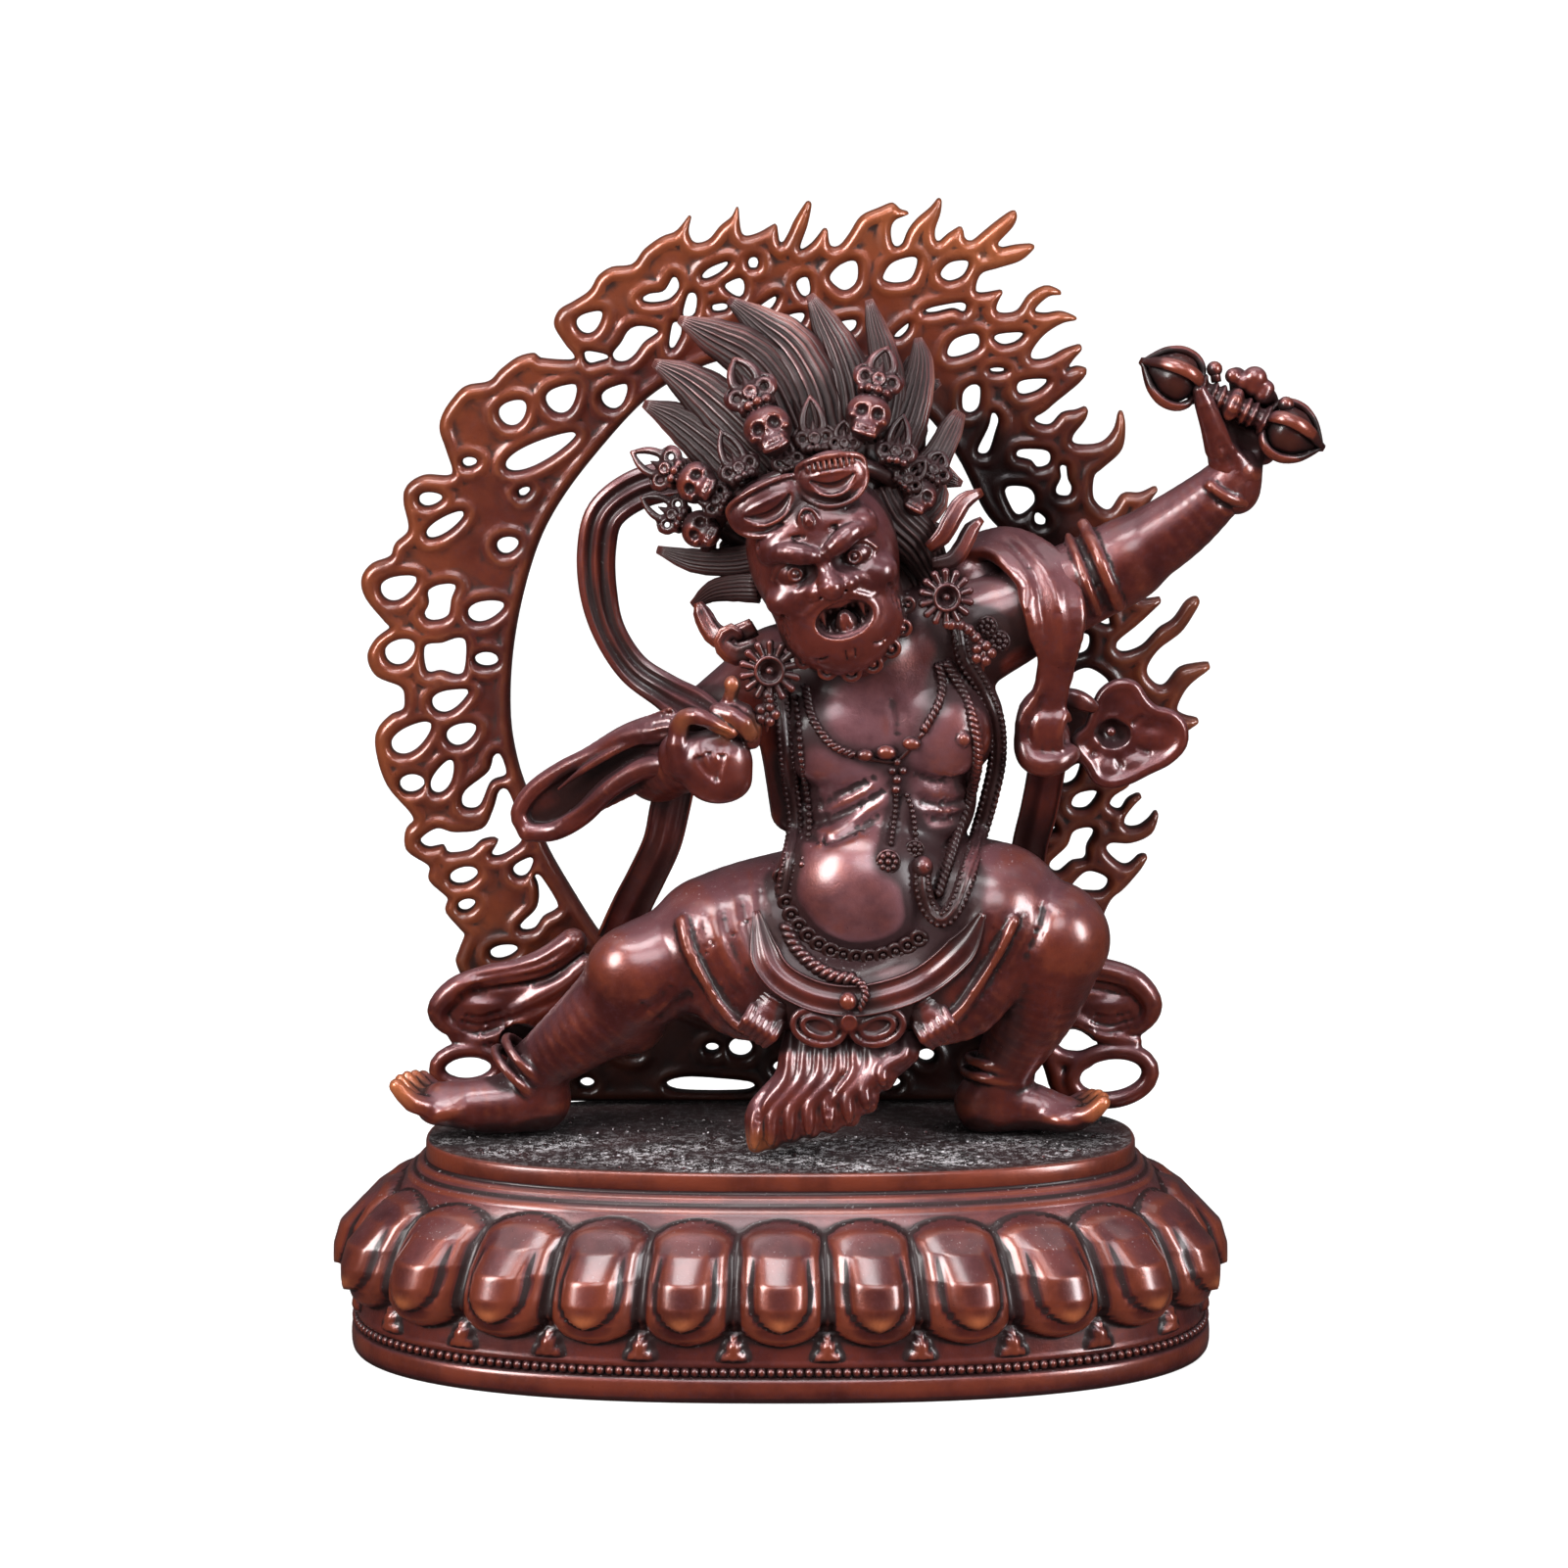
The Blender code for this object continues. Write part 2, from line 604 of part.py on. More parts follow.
def crown(cast):
    """The five-skull crown over a browband, and the flower earrings with their pendants."""
    cast.limb(
        [
            (-5.6, -7, 86.5), (-4.6, -13.5, 90.0), (3.4, -18.2, 93.0), (11.5, -16.5, 94.6),
            (15.6, -9, 93),
        ],
        [1.7] * 5,
    )
    skulls = (
        ((-11.8, -7.5, 86.4), (-17.4, -6.5, 86.2)),
        ((-10.6, -10.0, 93.8), (-19.2, -7.5, 97.2)),
        ((-1.8, -14.5, 99.6), (-4.6, -12.5, 109.5)),
        ((11.4, -14.0, 101.2), (14.2, -11.0, 110.2)),
        ((19.0, -8.0, 92.5), (22.0, -5.0, 100.5)),
    )
    for skull, tip in skulls:
        way = (Vector(tip) - Vector(skull)).normalized()
        cast.limb([Vector(skull) - way * 4 + Vector((0, 2, 0)), skull], [3.0, 2.6])
        cast.ball(skull, (3.5, 3.3, 3.6))
        cast.limb([skull, Vector(skull).lerp(Vector(tip), 0.6), tip], [2.6, 2.2, 0.7])
    earrings = (
        ((-1.8, -12.6, 67.4), (-1.0, -11.8, 60.2)),
        ((22.1, -12.2, 77.9), (25.2, -10.6, 71.6)),
    )
    for centre, drop in earrings:
        cast.ball(centre, (4.8, 1.9, 4.8))
        cast.limb([centre, drop], [2.6, 2.3])
        cast.limb(
            [Vector(centre) + Vector((0, 1, 0)), Vector(centre).lerp(Vector((8, -3, 76)), 0.7)],
            [2.0, 3.0],
        )


def skirt(cast):
    """The tiger skin round the hips, its knotted paws, and the panel that hangs to the base."""
    cast.limb([(8, 1, 30), (-3, -1.5, 28.2), (-10.4, -3.6, 26.6)], [11, 9.8, 9.2])
    cast.limb([(14, 1, 30.5), (25, -2.6, 31.6), (31.5, -4.6, 31.4)], [11, 10.8, 10.4])
    cast.ball((-3.8, -7.4, 24.8), (7.6, 4.4, 8.4), turn=-28)
    cast.ball((24.6, -8.6, 24.8), (8.4, 4.4, 8.0), turn=30)
    cast.ball((10, -9.4, 26.4), (13.0, 4.0, 7.6))
    cast.ball((-0.8, -12.6, 18.8), (3.6, 2.8, 3.8), turn=-30)
    cast.ball((20.2, -12.4, 18.0), (3.6, 2.8, 3.8), turn=30)
    for side in (-1, 1):
        cast.ball((10.2 + 3.6 * side, -13.6, 19.2), (3.6, 1.8, 2.2))
    cast.band(
        [(10.4, -10.6, 21), (8.0, -12.4, 13), (4.6, -14.0, 5.0), (2.2, -14.6, 1.6)],
        [15, 17.4, 16.0, 7.6],
        3.4,
    )


def scarf(cast):
    """The celestial scarf: a loop and a fold on the left, a knot and a ruffle on the right, two tails."""
    loop = [
        (-9, 3, 89), (-18, 6, 89), (-23.6, 5.6, 84.4), (-26, 5, 77), (-24, 3.4, 70.4), (-19, 0, 65.2),
        (-12.6, -7, 61.6),
    ]
    cast.band(loop, [5.4, 5.4, 5.2, 5.0, 5.0, 5.4, 6.4], 2.4)
    cast.band(
        [(-9, -9, 58), (-20, -6, 54.6), (-28, -3, 49.6), (-36, -0.5, 44)],
        [7.6, 7.4, 8.0, 3.6],
        4.2,
        (-0.3, -1, 0.2),
    )
    cast.band(
        [(-13, -1, 50), (-17.4, 3, 39), (-22.2, 6.4, 28), (-25.4, 9.4, 22.6)],
        [5.6, 5.2, 5.0, 5.2],
        2.6,
    )
    over_arm = [
        (24, 4, 80),
        (31.5, 0, 83),
        (37.0, -5.6, 77.5),
        (39.0, -6.6, 70),
        (36.4, -4, 63.6),
        (36.4, 0, 54),
    ]
    cast.band(over_arm, [6, 7, 6.6, 6.0, 5.2, 6.4], 3.0)
    cast.ball((36.6, 0, 54.4), (4.4, 3.8, 4.6))
    cast.limb([(37, 0, 54.5), (42, 0.4, 56), (46, 1.2, 57)], [2.6, 2.4, 2.6])
    cast.ball((48.2, 1.4, 57.6), (7.4, 2.6, 5.4), turn=8)
    cast.ball((47.0, 1.4, 61.2), (3.0, 2.4, 3.6), turn=8)
    cast.ball((46.6, 1.4, 52.6), (3.4, 2.2, 3.0), turn=-30)
    cast.band([(36.2, 2, 52), (35.8, 5.6, 42), (37.2, 8.4, 31), (41.5, 10, 22)], [5.0, 5.0, 5.0, 5.0], 2.6)


def scarf_curls(cast):
    """Where the tails come down beside the legs they curl over on the base."""
    for way, across in ((-1, -41.0), (1, 45.2)):
        leaf = [
            (across - 7.6 * way, 9.6, 21.5),
            (across + 2 * way, 10, 20.6),
            (across + 8.0 * way, 9.6, 15.4),
            (across + 1.5 * way, 9.2, 10.8),
            (across - 5.5 * way, 9.4, 12.4),
            (across - 9.5 * way, 9.6, 17.5),
        ]
        cast.band(leaf, [3.4, 5.4, 4.0, 5.4, 4.4, 3.0], 3.2)
        ring = [
            (across - 3.0 * way, 9.4, 11.5),
            (across + 3.0 * way, 9.2, 11.2),
            (across + 6.8 * way, 9.0, 6.6),
            (across + 3.4 * way, 8.8, 1.4),
            (across - 3.0 * way, 8.8, 1.2),
            (across - 6.8 * way, 9.0, 4.4),
            (across - 6.4 * way, 9.2, 11.0),
        ]
        cast.band(ring, [2.6, 2.4, 2.4, 2.6, 2.8, 2.6, 2.6], 3.0)
        cast.limb([(across - 16 * way, 9.8, 24), (across - 8 * way, 9.6, 19)], [2.2, 2.2])


def vajrapani_figure(collection, material):
    cast = Casting()
    for model in (legs, torso, arms, vajra, head, hair, crown, skirt, scarf, scarf_curls):
        model(cast)
    voxel = FIGURE_VOXEL_SHARE * FIGURE_HEIGHT
    return cast.fused("vajrapani_figure", voxel, FIGURE_FACES, UNIT, FIGURE_FLOOR, collection, material)


def main():
    clear_scene()
    statue = make_collection("vajrapani_statue")
    dark = make_material("dark_copper_patina", (0.10, 0.032, 0.022), 0.34, 0.75)
    warm = make_material("warm_copper_patina", (0.19, 0.060, 0.026), 0.36, 0.75)
    lotus_base(statue, dark)
    flame_aureole(statue, warm)
    vajrapani_figure(statue, dark)


main()
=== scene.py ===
"""Looks of the small cast-copper statue: lotus base, flame aureole and figure, in one worn patina.

Shapes are worked out in millimetres and become metres when a piece is made.
The figure's own height is counted from the base's top, so its pieces are lifted by FLOOR.
"""

import math

import bpy
import numpy as np
from mathutils import Matrix, Vector


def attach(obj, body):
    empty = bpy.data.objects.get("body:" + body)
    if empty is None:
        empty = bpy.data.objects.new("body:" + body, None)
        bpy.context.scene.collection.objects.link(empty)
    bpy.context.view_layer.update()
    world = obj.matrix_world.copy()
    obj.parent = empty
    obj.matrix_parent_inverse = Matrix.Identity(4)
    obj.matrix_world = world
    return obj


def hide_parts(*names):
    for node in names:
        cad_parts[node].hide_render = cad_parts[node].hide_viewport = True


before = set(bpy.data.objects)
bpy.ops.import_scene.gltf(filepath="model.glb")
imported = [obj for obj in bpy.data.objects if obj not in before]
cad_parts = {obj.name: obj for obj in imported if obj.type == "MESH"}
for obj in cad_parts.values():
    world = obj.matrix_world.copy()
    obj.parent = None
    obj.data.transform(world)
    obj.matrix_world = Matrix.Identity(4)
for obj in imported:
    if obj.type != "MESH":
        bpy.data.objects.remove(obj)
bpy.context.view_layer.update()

MM = 0.001
FLOOR = 29.5
COARSE = 1.0

# Camera, in millimetres and in pixels of the square photograph
VIEW_TILT = math.radians(11.0)
VIEW_DISTANCE = 700.0
VIEW_HEIGHT = 75.0
FRAME_SIDE = 1601
AXIS_X = 797.0
AXIS_Y = 829.0
FOCAL = 5185.185

RANDOM_SEED = 20
rng = np.random.default_rng(RANDOM_SEED)

# The largest number of triangles of each dense piece
MOST_TRIANGLES = {
    "flame_aureole_body": 124000,
    "figure_body": 112000,
    "head": 110000,
    "crown": 62000,
    "snake_garland": 36000,
    "hanging_front": 34000,
    "scarf_right": 27000,
    "scarf_fold": 25000,
    "scarf_ruffle": 23000,
    "chest_hand": 19000,
    "raised_hand": 19000,
    "curl_left": 19000,
    "curl_right": 19000,
    "earring_right": 15500,
    "earring_left": 15500,
    "scarf_left": 14000,
    "hair_mass": 8000,
}
MOST_OF_ANY = 199000

# The lowest that a piece standing on the base may reach, in millimetres above its top
STANDS_AT = 0.05


def eye():
    away = VIEW_DISTANCE * math.cos(VIEW_TILT)
    return np.array((0.0, -away, VIEW_HEIGHT + VIEW_DISTANCE * math.sin(VIEW_TILT)))


def spot(px, py, depth):
    """The point at that depth that the camera sees at that pixel, in the figure's frame."""
    c, s = math.cos(VIEW_TILT), math.sin(VIEW_TILT)
    a = (px - AXIS_X) / FOCAL
    b = -(py - AXIS_Y) / FOCAL
    start = eye()
    dy = depth - start[1]
    dz = dy * (b * c - s) / (c + b * s)
    return (a * (dy * c - dz * s), depth, start[2] + dz - FLOOR)


def spots(pixels, depth):
    """Each pixel's point; a pixel may carry its own depth as a third number."""
    return np.array([spot(p[0], p[1], p[2] if len(p) > 2 else depth) for p in pixels])


def smooth_line(points, spacing, closed=False):
    """Rows of numbers read off a smooth curve through the given rows."""
    p = np.array(points, float)
    if closed:
        p = np.vstack([p[-1:], p, p[:2]])
    else:
        p = np.vstack([2 * p[0] - p[1], p, 2 * p[-1] - p[-2]])
    out = []
    for a, b, c, d in zip(p, p[1:], p[2:], p[3:]):
        steps = max(1, int(round(np.linalg.norm((c - b)[:3]) / spacing)))
        t = (np.arange(steps) / steps)[:, None]
        out.append(
            0.5
            * (2 * b + (c - a) * t + (2 * a - 5 * b + 4 * c - d) * t**2 + (3 * b - a - 3 * c + d) * t**3)
        )
    if not closed:
        out.append(p[-2][None])
    return np.vstack(out)


def unit(v):
    v = np.asarray(v, float)
    return v / np.maximum(np.linalg.norm(v, axis=-1, keepdims=True), 1e-9)


def turn_matrix(turn=0.0, tip=0.0, roll=0.0):
    """Turns about the depth axis, tips about the width axis and rolls about the height axis, in degrees."""
    m = Matrix.Rotation(math.radians(turn), 3, "Y")
    m = m @ Matrix.Rotation(math.radians(tip), 3, "X") @ Matrix.Rotation(math.radians(roll), 3, "Z")
    return np.array(m)


class Field:
    """A block of space whose grid points hold the distance to the metal's surface; inside is below zero."""

    def __init__(self, low, high, step):
        self.step = step * COARSE
        self.low = np.array(low, float)
        self.size = np.ceil((np.array(high, float) - self.low) / self.step).astype(int) + 1
        self.d = np.full(tuple(self.size), 6.0, np.float32)

    def window(self, low, high):
        """The slices and the coordinates of the part of the grid between two corners."""
        a = np.clip(np.floor((np.asarray(low) - self.low) / self.step).astype(int), 0, self.size - 1)
        b = np.clip(np.ceil((np.asarray(high) - self.low) / self.step).astype(int) + 1, 1, self.size)
        axes = []
        for k in range(3):
            line = (self.low[k] + self.step * np.arange(a[k], max(b[k], a[k]))).astype(np.float32)
            shape = [1, 1, 1]
            shape[k] = len(line)
            axes.append(line.reshape(shape))
        place = tuple(slice(a[k], max(b[k], a[k])) for k in range(3))
        return place, axes

    def join(self, place, d, blend):
        old = self.d[place]
        if blend <= 0:
            self.d[place] = np.minimum(old, d)
            return
        h = np.maximum(blend - np.abs(old - d), 0.0) / blend
        self.d[place] = np.minimum(old, d) - h * h * blend / 4

    def cut(self, place, d, blend):
        old = self.d[place]
        d = -d
        if blend <= 0:
            self.d[place] = np.maximum(old, d)
            return
        h = np.maximum(blend - np.abs(old - d), 0.0) / blend
        self.d[place] = np.maximum(old, d) + h * h * blend / 4

    def ball(self, centre, radii, turn=0.0, tip=0.0, roll=0.0, blend=1.2, cut=False, axes=None):
        centre = np.asarray(centre, float)
        radii = np.array(radii if np.ndim(radii) else (radii,) * 3, float)
        m = turn_matrix(turn, tip, roll) if axes is None else np.asarray(axes).T
        reach = np.sqrt(((m * radii) ** 2).sum(1)) + 2.5
        place, (x, y, z) = self.window(centre - reach, centre + reach)
        x, y, z = x - centre[0], y - centre[1], z - centre[2]
        k0 = 0.0
        k1 = 0.0
        for k in range(3):
            q = x * m[0, k] + y * m[1, k] + z * m[2, k]
            k0 = k0 + (q / radii[k]) ** 2
            k1 = k1 + (q / radii[k] ** 2) ** 2
        k0 = np.sqrt(k0)
        d = k0 * (k0 - 1.0) / np.maximum(np.sqrt(k1), 1e-6)
        (self.cut if cut else self.join)(place, d.astype(np.float32), blend)

    def limb(self, points, radii, blend=1.2, spacing=1.6, flat=1.0, cut=False):
        """A round limb along a smooth line; flat below 1 squeezes it from front to back."""
        path = smooth_line(np.column_stack([points, radii]), spacing)
        most = path[:, 3].max() + 2.5
        place, (x, y, z) = self.window(path[:, :3].min(0) - most, path[:, :3].max(0) + most)
        shape = np.broadcast_shapes(x.shape, y.shape, z.shape)
        d = np.full(shape, 6.0, np.float32)
        base = [s.start for s in place]
        for a, b in zip(path, path[1:]):
            reach = max(a[3], b[3]) + 2.5
            low = np.minimum(a[:3], b[:3]) - reach
            high = np.maximum(a[:3], b[:3]) + reach
            inner, (px, py, pz) = self.window(low, high)
            inner = tuple(slice(max(s.start - o, 0), max(s.stop - o, 0)) for s, o in zip(inner, base))
            u, v, w = px - a[0], (py - a[1]) / flat, pz - a[2]
            e = b[:3] - a[:3]
            e = e / np.array((1.0, flat, 1.0))
            t = np.clip((u * e[0] + v * e[1] + w * e[2]) / max(float(e @ e), 1e-9), 0, 1)
            r = a[3] + (b[3] - a[3]) * t
            near = np.sqrt((u - t * e[0]) ** 2 + (v - t * e[1]) ** 2 + (w - t * e[2]) ** 2) - r
            d[inner] = np.minimum(d[inner], near.astype(np.float32) * min(flat, 1.0))
        (self.cut if cut else self.join)(place, d, blend)

    def strip(self, points, widths, thickness, facing, blend=0.6, spacing=1.2, edge=0.5):
        """A flat band with rounded edges along a smooth line; facing is one direction or one per point."""
        facing = np.broadcast_to(np.asarray(facing, float), (len(points), 3))
        path = smooth_line(np.column_stack([points, widths, facing]), spacing)
        most = path[:, 3].max() / 2 + 2.5
        place, (x, y, z) = self.window(path[:, :3].min(0) - most, path[:, :3].max(0) + most)
        d = np.full(np.broadcast_shapes(x.shape, y.shape, z.shape), 6.0, np.float32)
        for a, b in zip(path, path[1:]):
            along = unit(b[:3] - a[:3])
            across = unit(np.cross(along, a[4:7]))
            out = np.cross(across, along)
            u, v, w = x - a[0], y - a[1], z - a[2]
            length = np.linalg.norm(b[:3] - a[:3])
            t = u * along[0] + v * along[1] + w * along[2]
            t = t - np.clip(t, 0, length)
            s = np.abs(u * across[0] + v * across[1] + w * across[2]) - a[3] / 2 + edge
            o = np.abs(u * out[0] + v * out[1] + w * out[2]) - thickness / 2 + edge
            s0, o0 = np.maximum(s, 0), np.maximum(o, 0)
            near = np.sqrt(s0 * s0 + o0 * o0 + t * t) + np.minimum(np.maximum(s, o), 0) - edge
            d = np.minimum(d, near.astype(np.float32))
        self.join(place, d, blend)

    def ring(self, centre, axis, radius, thick, blend=0.5, cut=False):
        """A torus about an axis."""
        centre, axis = np.asarray(centre, float), unit(axis)
        reach = radius + thick + 2.0
        place, (x, y, z) = self.window(centre - reach, centre + reach)
        x, y, z = x - centre[0], y - centre[1], z - centre[2]
        h = x * axis[0] + y * axis[1] + z * axis[2]
        r = np.sqrt(np.maximum(x * x + y * y + z * z - h * h, 0.0))
        d = np.sqrt((r - radius) ** 2 + h * h) - thick
        (self.cut if cut else self.join)(place, d.astype(np.float32), blend)

    def trace(self, points, width, depth, spacing=0.9, fade=True):
        """Presses a soft groove into the surface along a line; a depth below zero raises a ridge."""
        path = smooth_line(points, spacing)
        share = np.linspace(0, 1, len(path))
        weight = np.clip(np.minimum(share, 1 - share) * 5.0, 0.15, 1) if fade else np.ones(len(path))
        reach = 2.6 * width
        for k in range(0, len(path) - 1, 6):
            part = path[k : k + 7]
            part_weight = weight[k : k + 7]
            place, (x, y, z) = self.window(part.min(0) - reach, part.max(0) + reach)
            near = np.full(np.broadcast_shapes(x.shape, y.shape, z.shape), 99.0, np.float32)
            strength = np.zeros(near.shape, np.float32)
            for i in range(len(part) - 1):
                a, e = part[i], part[i + 1] - part[i]
                u, v, w = x - a[0], y - a[1], z - a[2]
                t = np.clip((u * e[0] + v * e[1] + w * e[2]) / max(float(e @ e), 1e-9), 0, 1)
                r = (u - t * e[0]) ** 2 + (v - t * e[1]) ** 2 + (w - t * e[2]) ** 2
                closer = r < near
                near = np.where(closer, r, near)
                strength = np.where(closer, part_weight[i], strength)
            # Neighbouring parts share their end point, so each one counts only up to it.
            a, b = part[0], part[-1]
            along = b - a
            t = (x - a[0]) * along[0] + (y - a[1]) * along[1] + (z - a[2]) * along[2]
            t = t / max(float(along @ along), 1e-9)
            first, last = k == 0, k + 7 >= len(path)
            mask = np.ones(near.shape, bool)
            if not first:
                mask &= np.broadcast_to(t >= 0, near.shape)
            if not last:
                mask &= np.broadcast_to(t < 1, near.shape)
            self.d[place] += np.where(
                mask, depth * strength * np.exp(-near / width**2), 0
            ).astype(np.float32)

    def value(self, points):
        """The distance at any points, read between the grid's own."""
        g = (np.asarray(points) - self.low) / self.step
        g = np.clip(g, 0, self.size - 1.001)
        i = g.astype(int)
        f = g - i
        out = 0.0
        for dx in (0, 1):
            for dy in (0, 1):
                for dz in (0, 1):
                    share = (f[..., 0] if dx else 1 - f[..., 0]) * (f[..., 1] if dy else 1 - f[..., 1])
                    share = share * (f[..., 2] if dz else 1 - f[..., 2])
                    out = out + share * self.d[i[..., 0] + dx, i[..., 1] + dy, i[..., 2] + dz]
        return out

    def meet(self, pixels, proud=0.0):
        """Where the camera's lines through the pixels meet the surface, moved proud of it by that much."""
        depths = np.arange(-26.0, 14.0, 0.2)
        line = np.array([[spot(p[0], p[1], y) for y in depths] for p in pixels])
        d = self.value(line)
        inside = d < 0
        first = np.where(inside.any(1), inside.argmax(1), d.argmin(1))
        at = line[np.arange(len(line)), first]
        towards = unit(eye() - np.array((0, 0, FLOOR)) - at)
        return at + towards * proud

    def skin(self):
        """The surface as points and quads: one point in each cell that the surface crosses."""
        d = self.d
        for k in range(3):
            for side in (0, -1):
                place = [slice(None)] * 3
                place[k] = side
                d[tuple(place)] = np.maximum(d[tuple(place)], 0.1)
        inside = d < 0
        nx, ny, nz = d.shape
        corners = np.zeros((nx - 1, ny - 1, nz - 1), np.uint8)
        for a in (0, 1):
            for b in (0, 1):
                for c in (0, 1):
                    corners += inside[a : nx - 1 + a, b : ny - 1 + b, c : nz - 1 + c]
        active = (corners > 0) & (corners < 8)
        number = np.full(active.shape, -1, np.int32)
        where = np.argwhere(active)
        number[active] = np.arange(len(where))
        total = np.zeros((len(where), 3))
        count = np.zeros(len(where))
        for axis in range(3):
            rest = [k for k in range(3) if k != axis]
            for b in (0, 1):
                for c in (0, 1):
                    offset = np.zeros(3, int)
                    offset[rest[0]] = b
                    offset[rest[1]] = c
                    p = where + offset
                    q = p.copy()
                    q[:, axis] += 1
                    dp = d[p[:, 0], p[:, 1], p[:, 2]]
                    dq = d[q[:, 0], q[:, 1], q[:, 2]]
                    crossed = (dp < 0) != (dq < 0)
                    t = dp / np.where(crossed, dp - dq, 1.0)
                    at = np.tile(offset.astype(float), (len(where), 1))
                    at[:, axis] = t
                    total[crossed] += at[crossed]
                    count[crossed] += 1
        points = self.low + self.step * (where + total / count[:, None])
        quads = []
        for axis in range(3):
            rest = [k for k in range(3) if k != axis]
            near = [slice(None)] * 3
            far = [slice(None)] * 3
            near[axis] = slice(None, -1)
            far[axis] = slice(1, None)
            crossed = inside[tuple(near)] != inside[tuple(far)]
            edge = np.argwhere(crossed)
            ok = (edge[:, rest[0]] > 0) & (edge[:, rest[1]] > 0)
            ok &= (edge[:, rest[0]] < d.shape[rest[0]] - 1) & (edge[:, rest[1]] < d.shape[rest[1]] - 1)
            edge = edge[ok]
            cells = []
            for b, c in ((0, 0), (1, 0), (1, 1), (0, 1)):
                cell = edge.copy()
                cell[:, rest[0]] -= b
                cell[:, rest[1]] -= c
                cells.append(number[cell[:, 0], cell[:, 1], cell[:, 2]])
            quad = np.column_stack(cells)
            solid_first = inside[edge[:, 0], edge[:, 1], edge[:, 2]]
            if axis == 1:
                solid_first = ~solid_first
            quad[~solid_first] = quad[~solid_first][:, ::-1]
            quads.append(quad)
        return points, np.vstack(quads)


def vertex_normals(points, faces):
    a, b, c, d = (points[faces[:, k]] for k in range(4))
    n = np.cross(c - a, d - b)
    out = np.zeros_like(points)
    for k in range(4):
        for j in range(3):
            out[:, j] += np.bincount(faces[:, k], weights=n[:, j], minlength=len(points))
    return unit(out)


def edges_of(faces):
    pairs = np.vstack([faces[:, [0, 1]], faces[:, [1, 2]], faces[:, [2, 3]], faces[:, [3, 0]]])
    pairs = np.sort(pairs, axis=1)
    pairs = pairs[pairs[:, 0] != pairs[:, 1]]
    return np.unique(pairs, axis=0)


def smoothed(values, edges, rounds):
    """Values at the points, averaged with their neighbours again and again."""
    values = np.array(values, float)
    flat = values.ndim == 1
    if flat:
        values = values[:, None]
    n = len(values)
    degree = np.bincount(edges[:, 0], minlength=n) + np.bincount(edges[:, 1], minlength=n)
    degree = np.maximum(degree, 1)
    for _ in range(rounds):
        total = np.zeros_like(values)
        for j in range(values.shape[1]):
            total[:, j] = np.bincount(edges[:, 0], weights=values[edges[:, 1], j], minlength=n)
            total[:, j] += np.bincount(edges[:, 1], weights=values[edges[:, 0], j], minlength=n)
        values = 0.35 * values + 0.65 * total / degree[:, None]
    return values[:, 0] if flat else values


def mesh_of(name, points, faces):
    """A mesh of quads; a quad whose last two corners agree becomes a triangle."""
    is_triangle = faces[:, 2] == faces[:, 3]
    keep = np.ones(faces.shape, bool)
    keep[is_triangle, 3] = False
    loops = faces[keep]
    starts = np.concatenate([[0], np.cumsum(np.where(is_triangle, 3, 4))[:-1]])
    mesh = bpy.data.meshes.new(name)
    mesh.vertices.add(len(points))
    mesh.vertices.foreach_set("co", points.astype(np.float32).ravel())
    mesh.loops.add(len(loops))
    mesh.loops.foreach_set("vertex_index", loops.astype(np.int32))
    mesh.polygons.add(len(faces))
    mesh.polygons.foreach_set("loop_start", starts.astype(np.int32))
    mesh.update(calc_edges=True)
    return mesh


def thinned(points, faces, most):
    """The same surface with at most that many triangles."""
    is_triangle = faces[:, 2] == faces[:, 3]
    now = int(2 * len(faces) - is_triangle.sum())
    if now <= most:
        return points, faces
    mesh = mesh_of("thick", points, faces)
    holder = bpy.data.objects.new("thick", mesh)
    bpy.context.scene.collection.objects.link(holder)
    modifier = holder.modifiers.new("fewer", "DECIMATE")
    modifier.ratio = most / now
    bpy.context.view_layer.update()
    fewer = bpy.data.meshes.new_from_object(holder.evaluated_get(bpy.context.evaluated_depsgraph_get()))
    fewer.calc_loop_triangles()
    out = np.zeros(len(fewer.vertices) * 3, np.float32)
    fewer.vertices.foreach_get("co", out)
    triangles = np.zeros(len(fewer.loop_triangles) * 3, np.int32)
    fewer.loop_triangles.foreach_get("vertices", triangles)
    triangles = triangles.reshape(-1, 3)
    bpy.data.objects.remove(holder)
    bpy.data.meshes.remove(mesh)
    bpy.data.meshes.remove(fewer)
    return out.reshape(-1, 3).astype(float), np.column_stack([triangles, triangles[:, 2]])


def relaxed(points, faces, rounds):
    """Evens out small steps: each point moves halfway to the middle of its neighbours."""
    sides = faces.shape[1]
    edges = np.vstack([faces[:, [k, (k + 1) % sides]] for k in range(sides)])
    total = len(points)
    count = np.bincount(edges[:, 0], minlength=total) + np.bincount(edges[:, 1], minlength=total)
    points = np.array(points, float)
    for _ in range(rounds):
        middle = np.zeros_like(points)
        for axis in range(3):
            values = points[:, axis]
            middle[:, axis] = np.bincount(edges[:, 0], values[edges[:, 1]], total)
            middle[:, axis] += np.bincount(edges[:, 1], values[edges[:, 0]], total)
        points = 0.5 * points + 0.5 * middle / np.maximum(count, 1)[:, None]
    return points


def dense(pixels, spacing=8.0):
    return smooth_line(np.array(pixels, float), spacing)


SHAPES = []


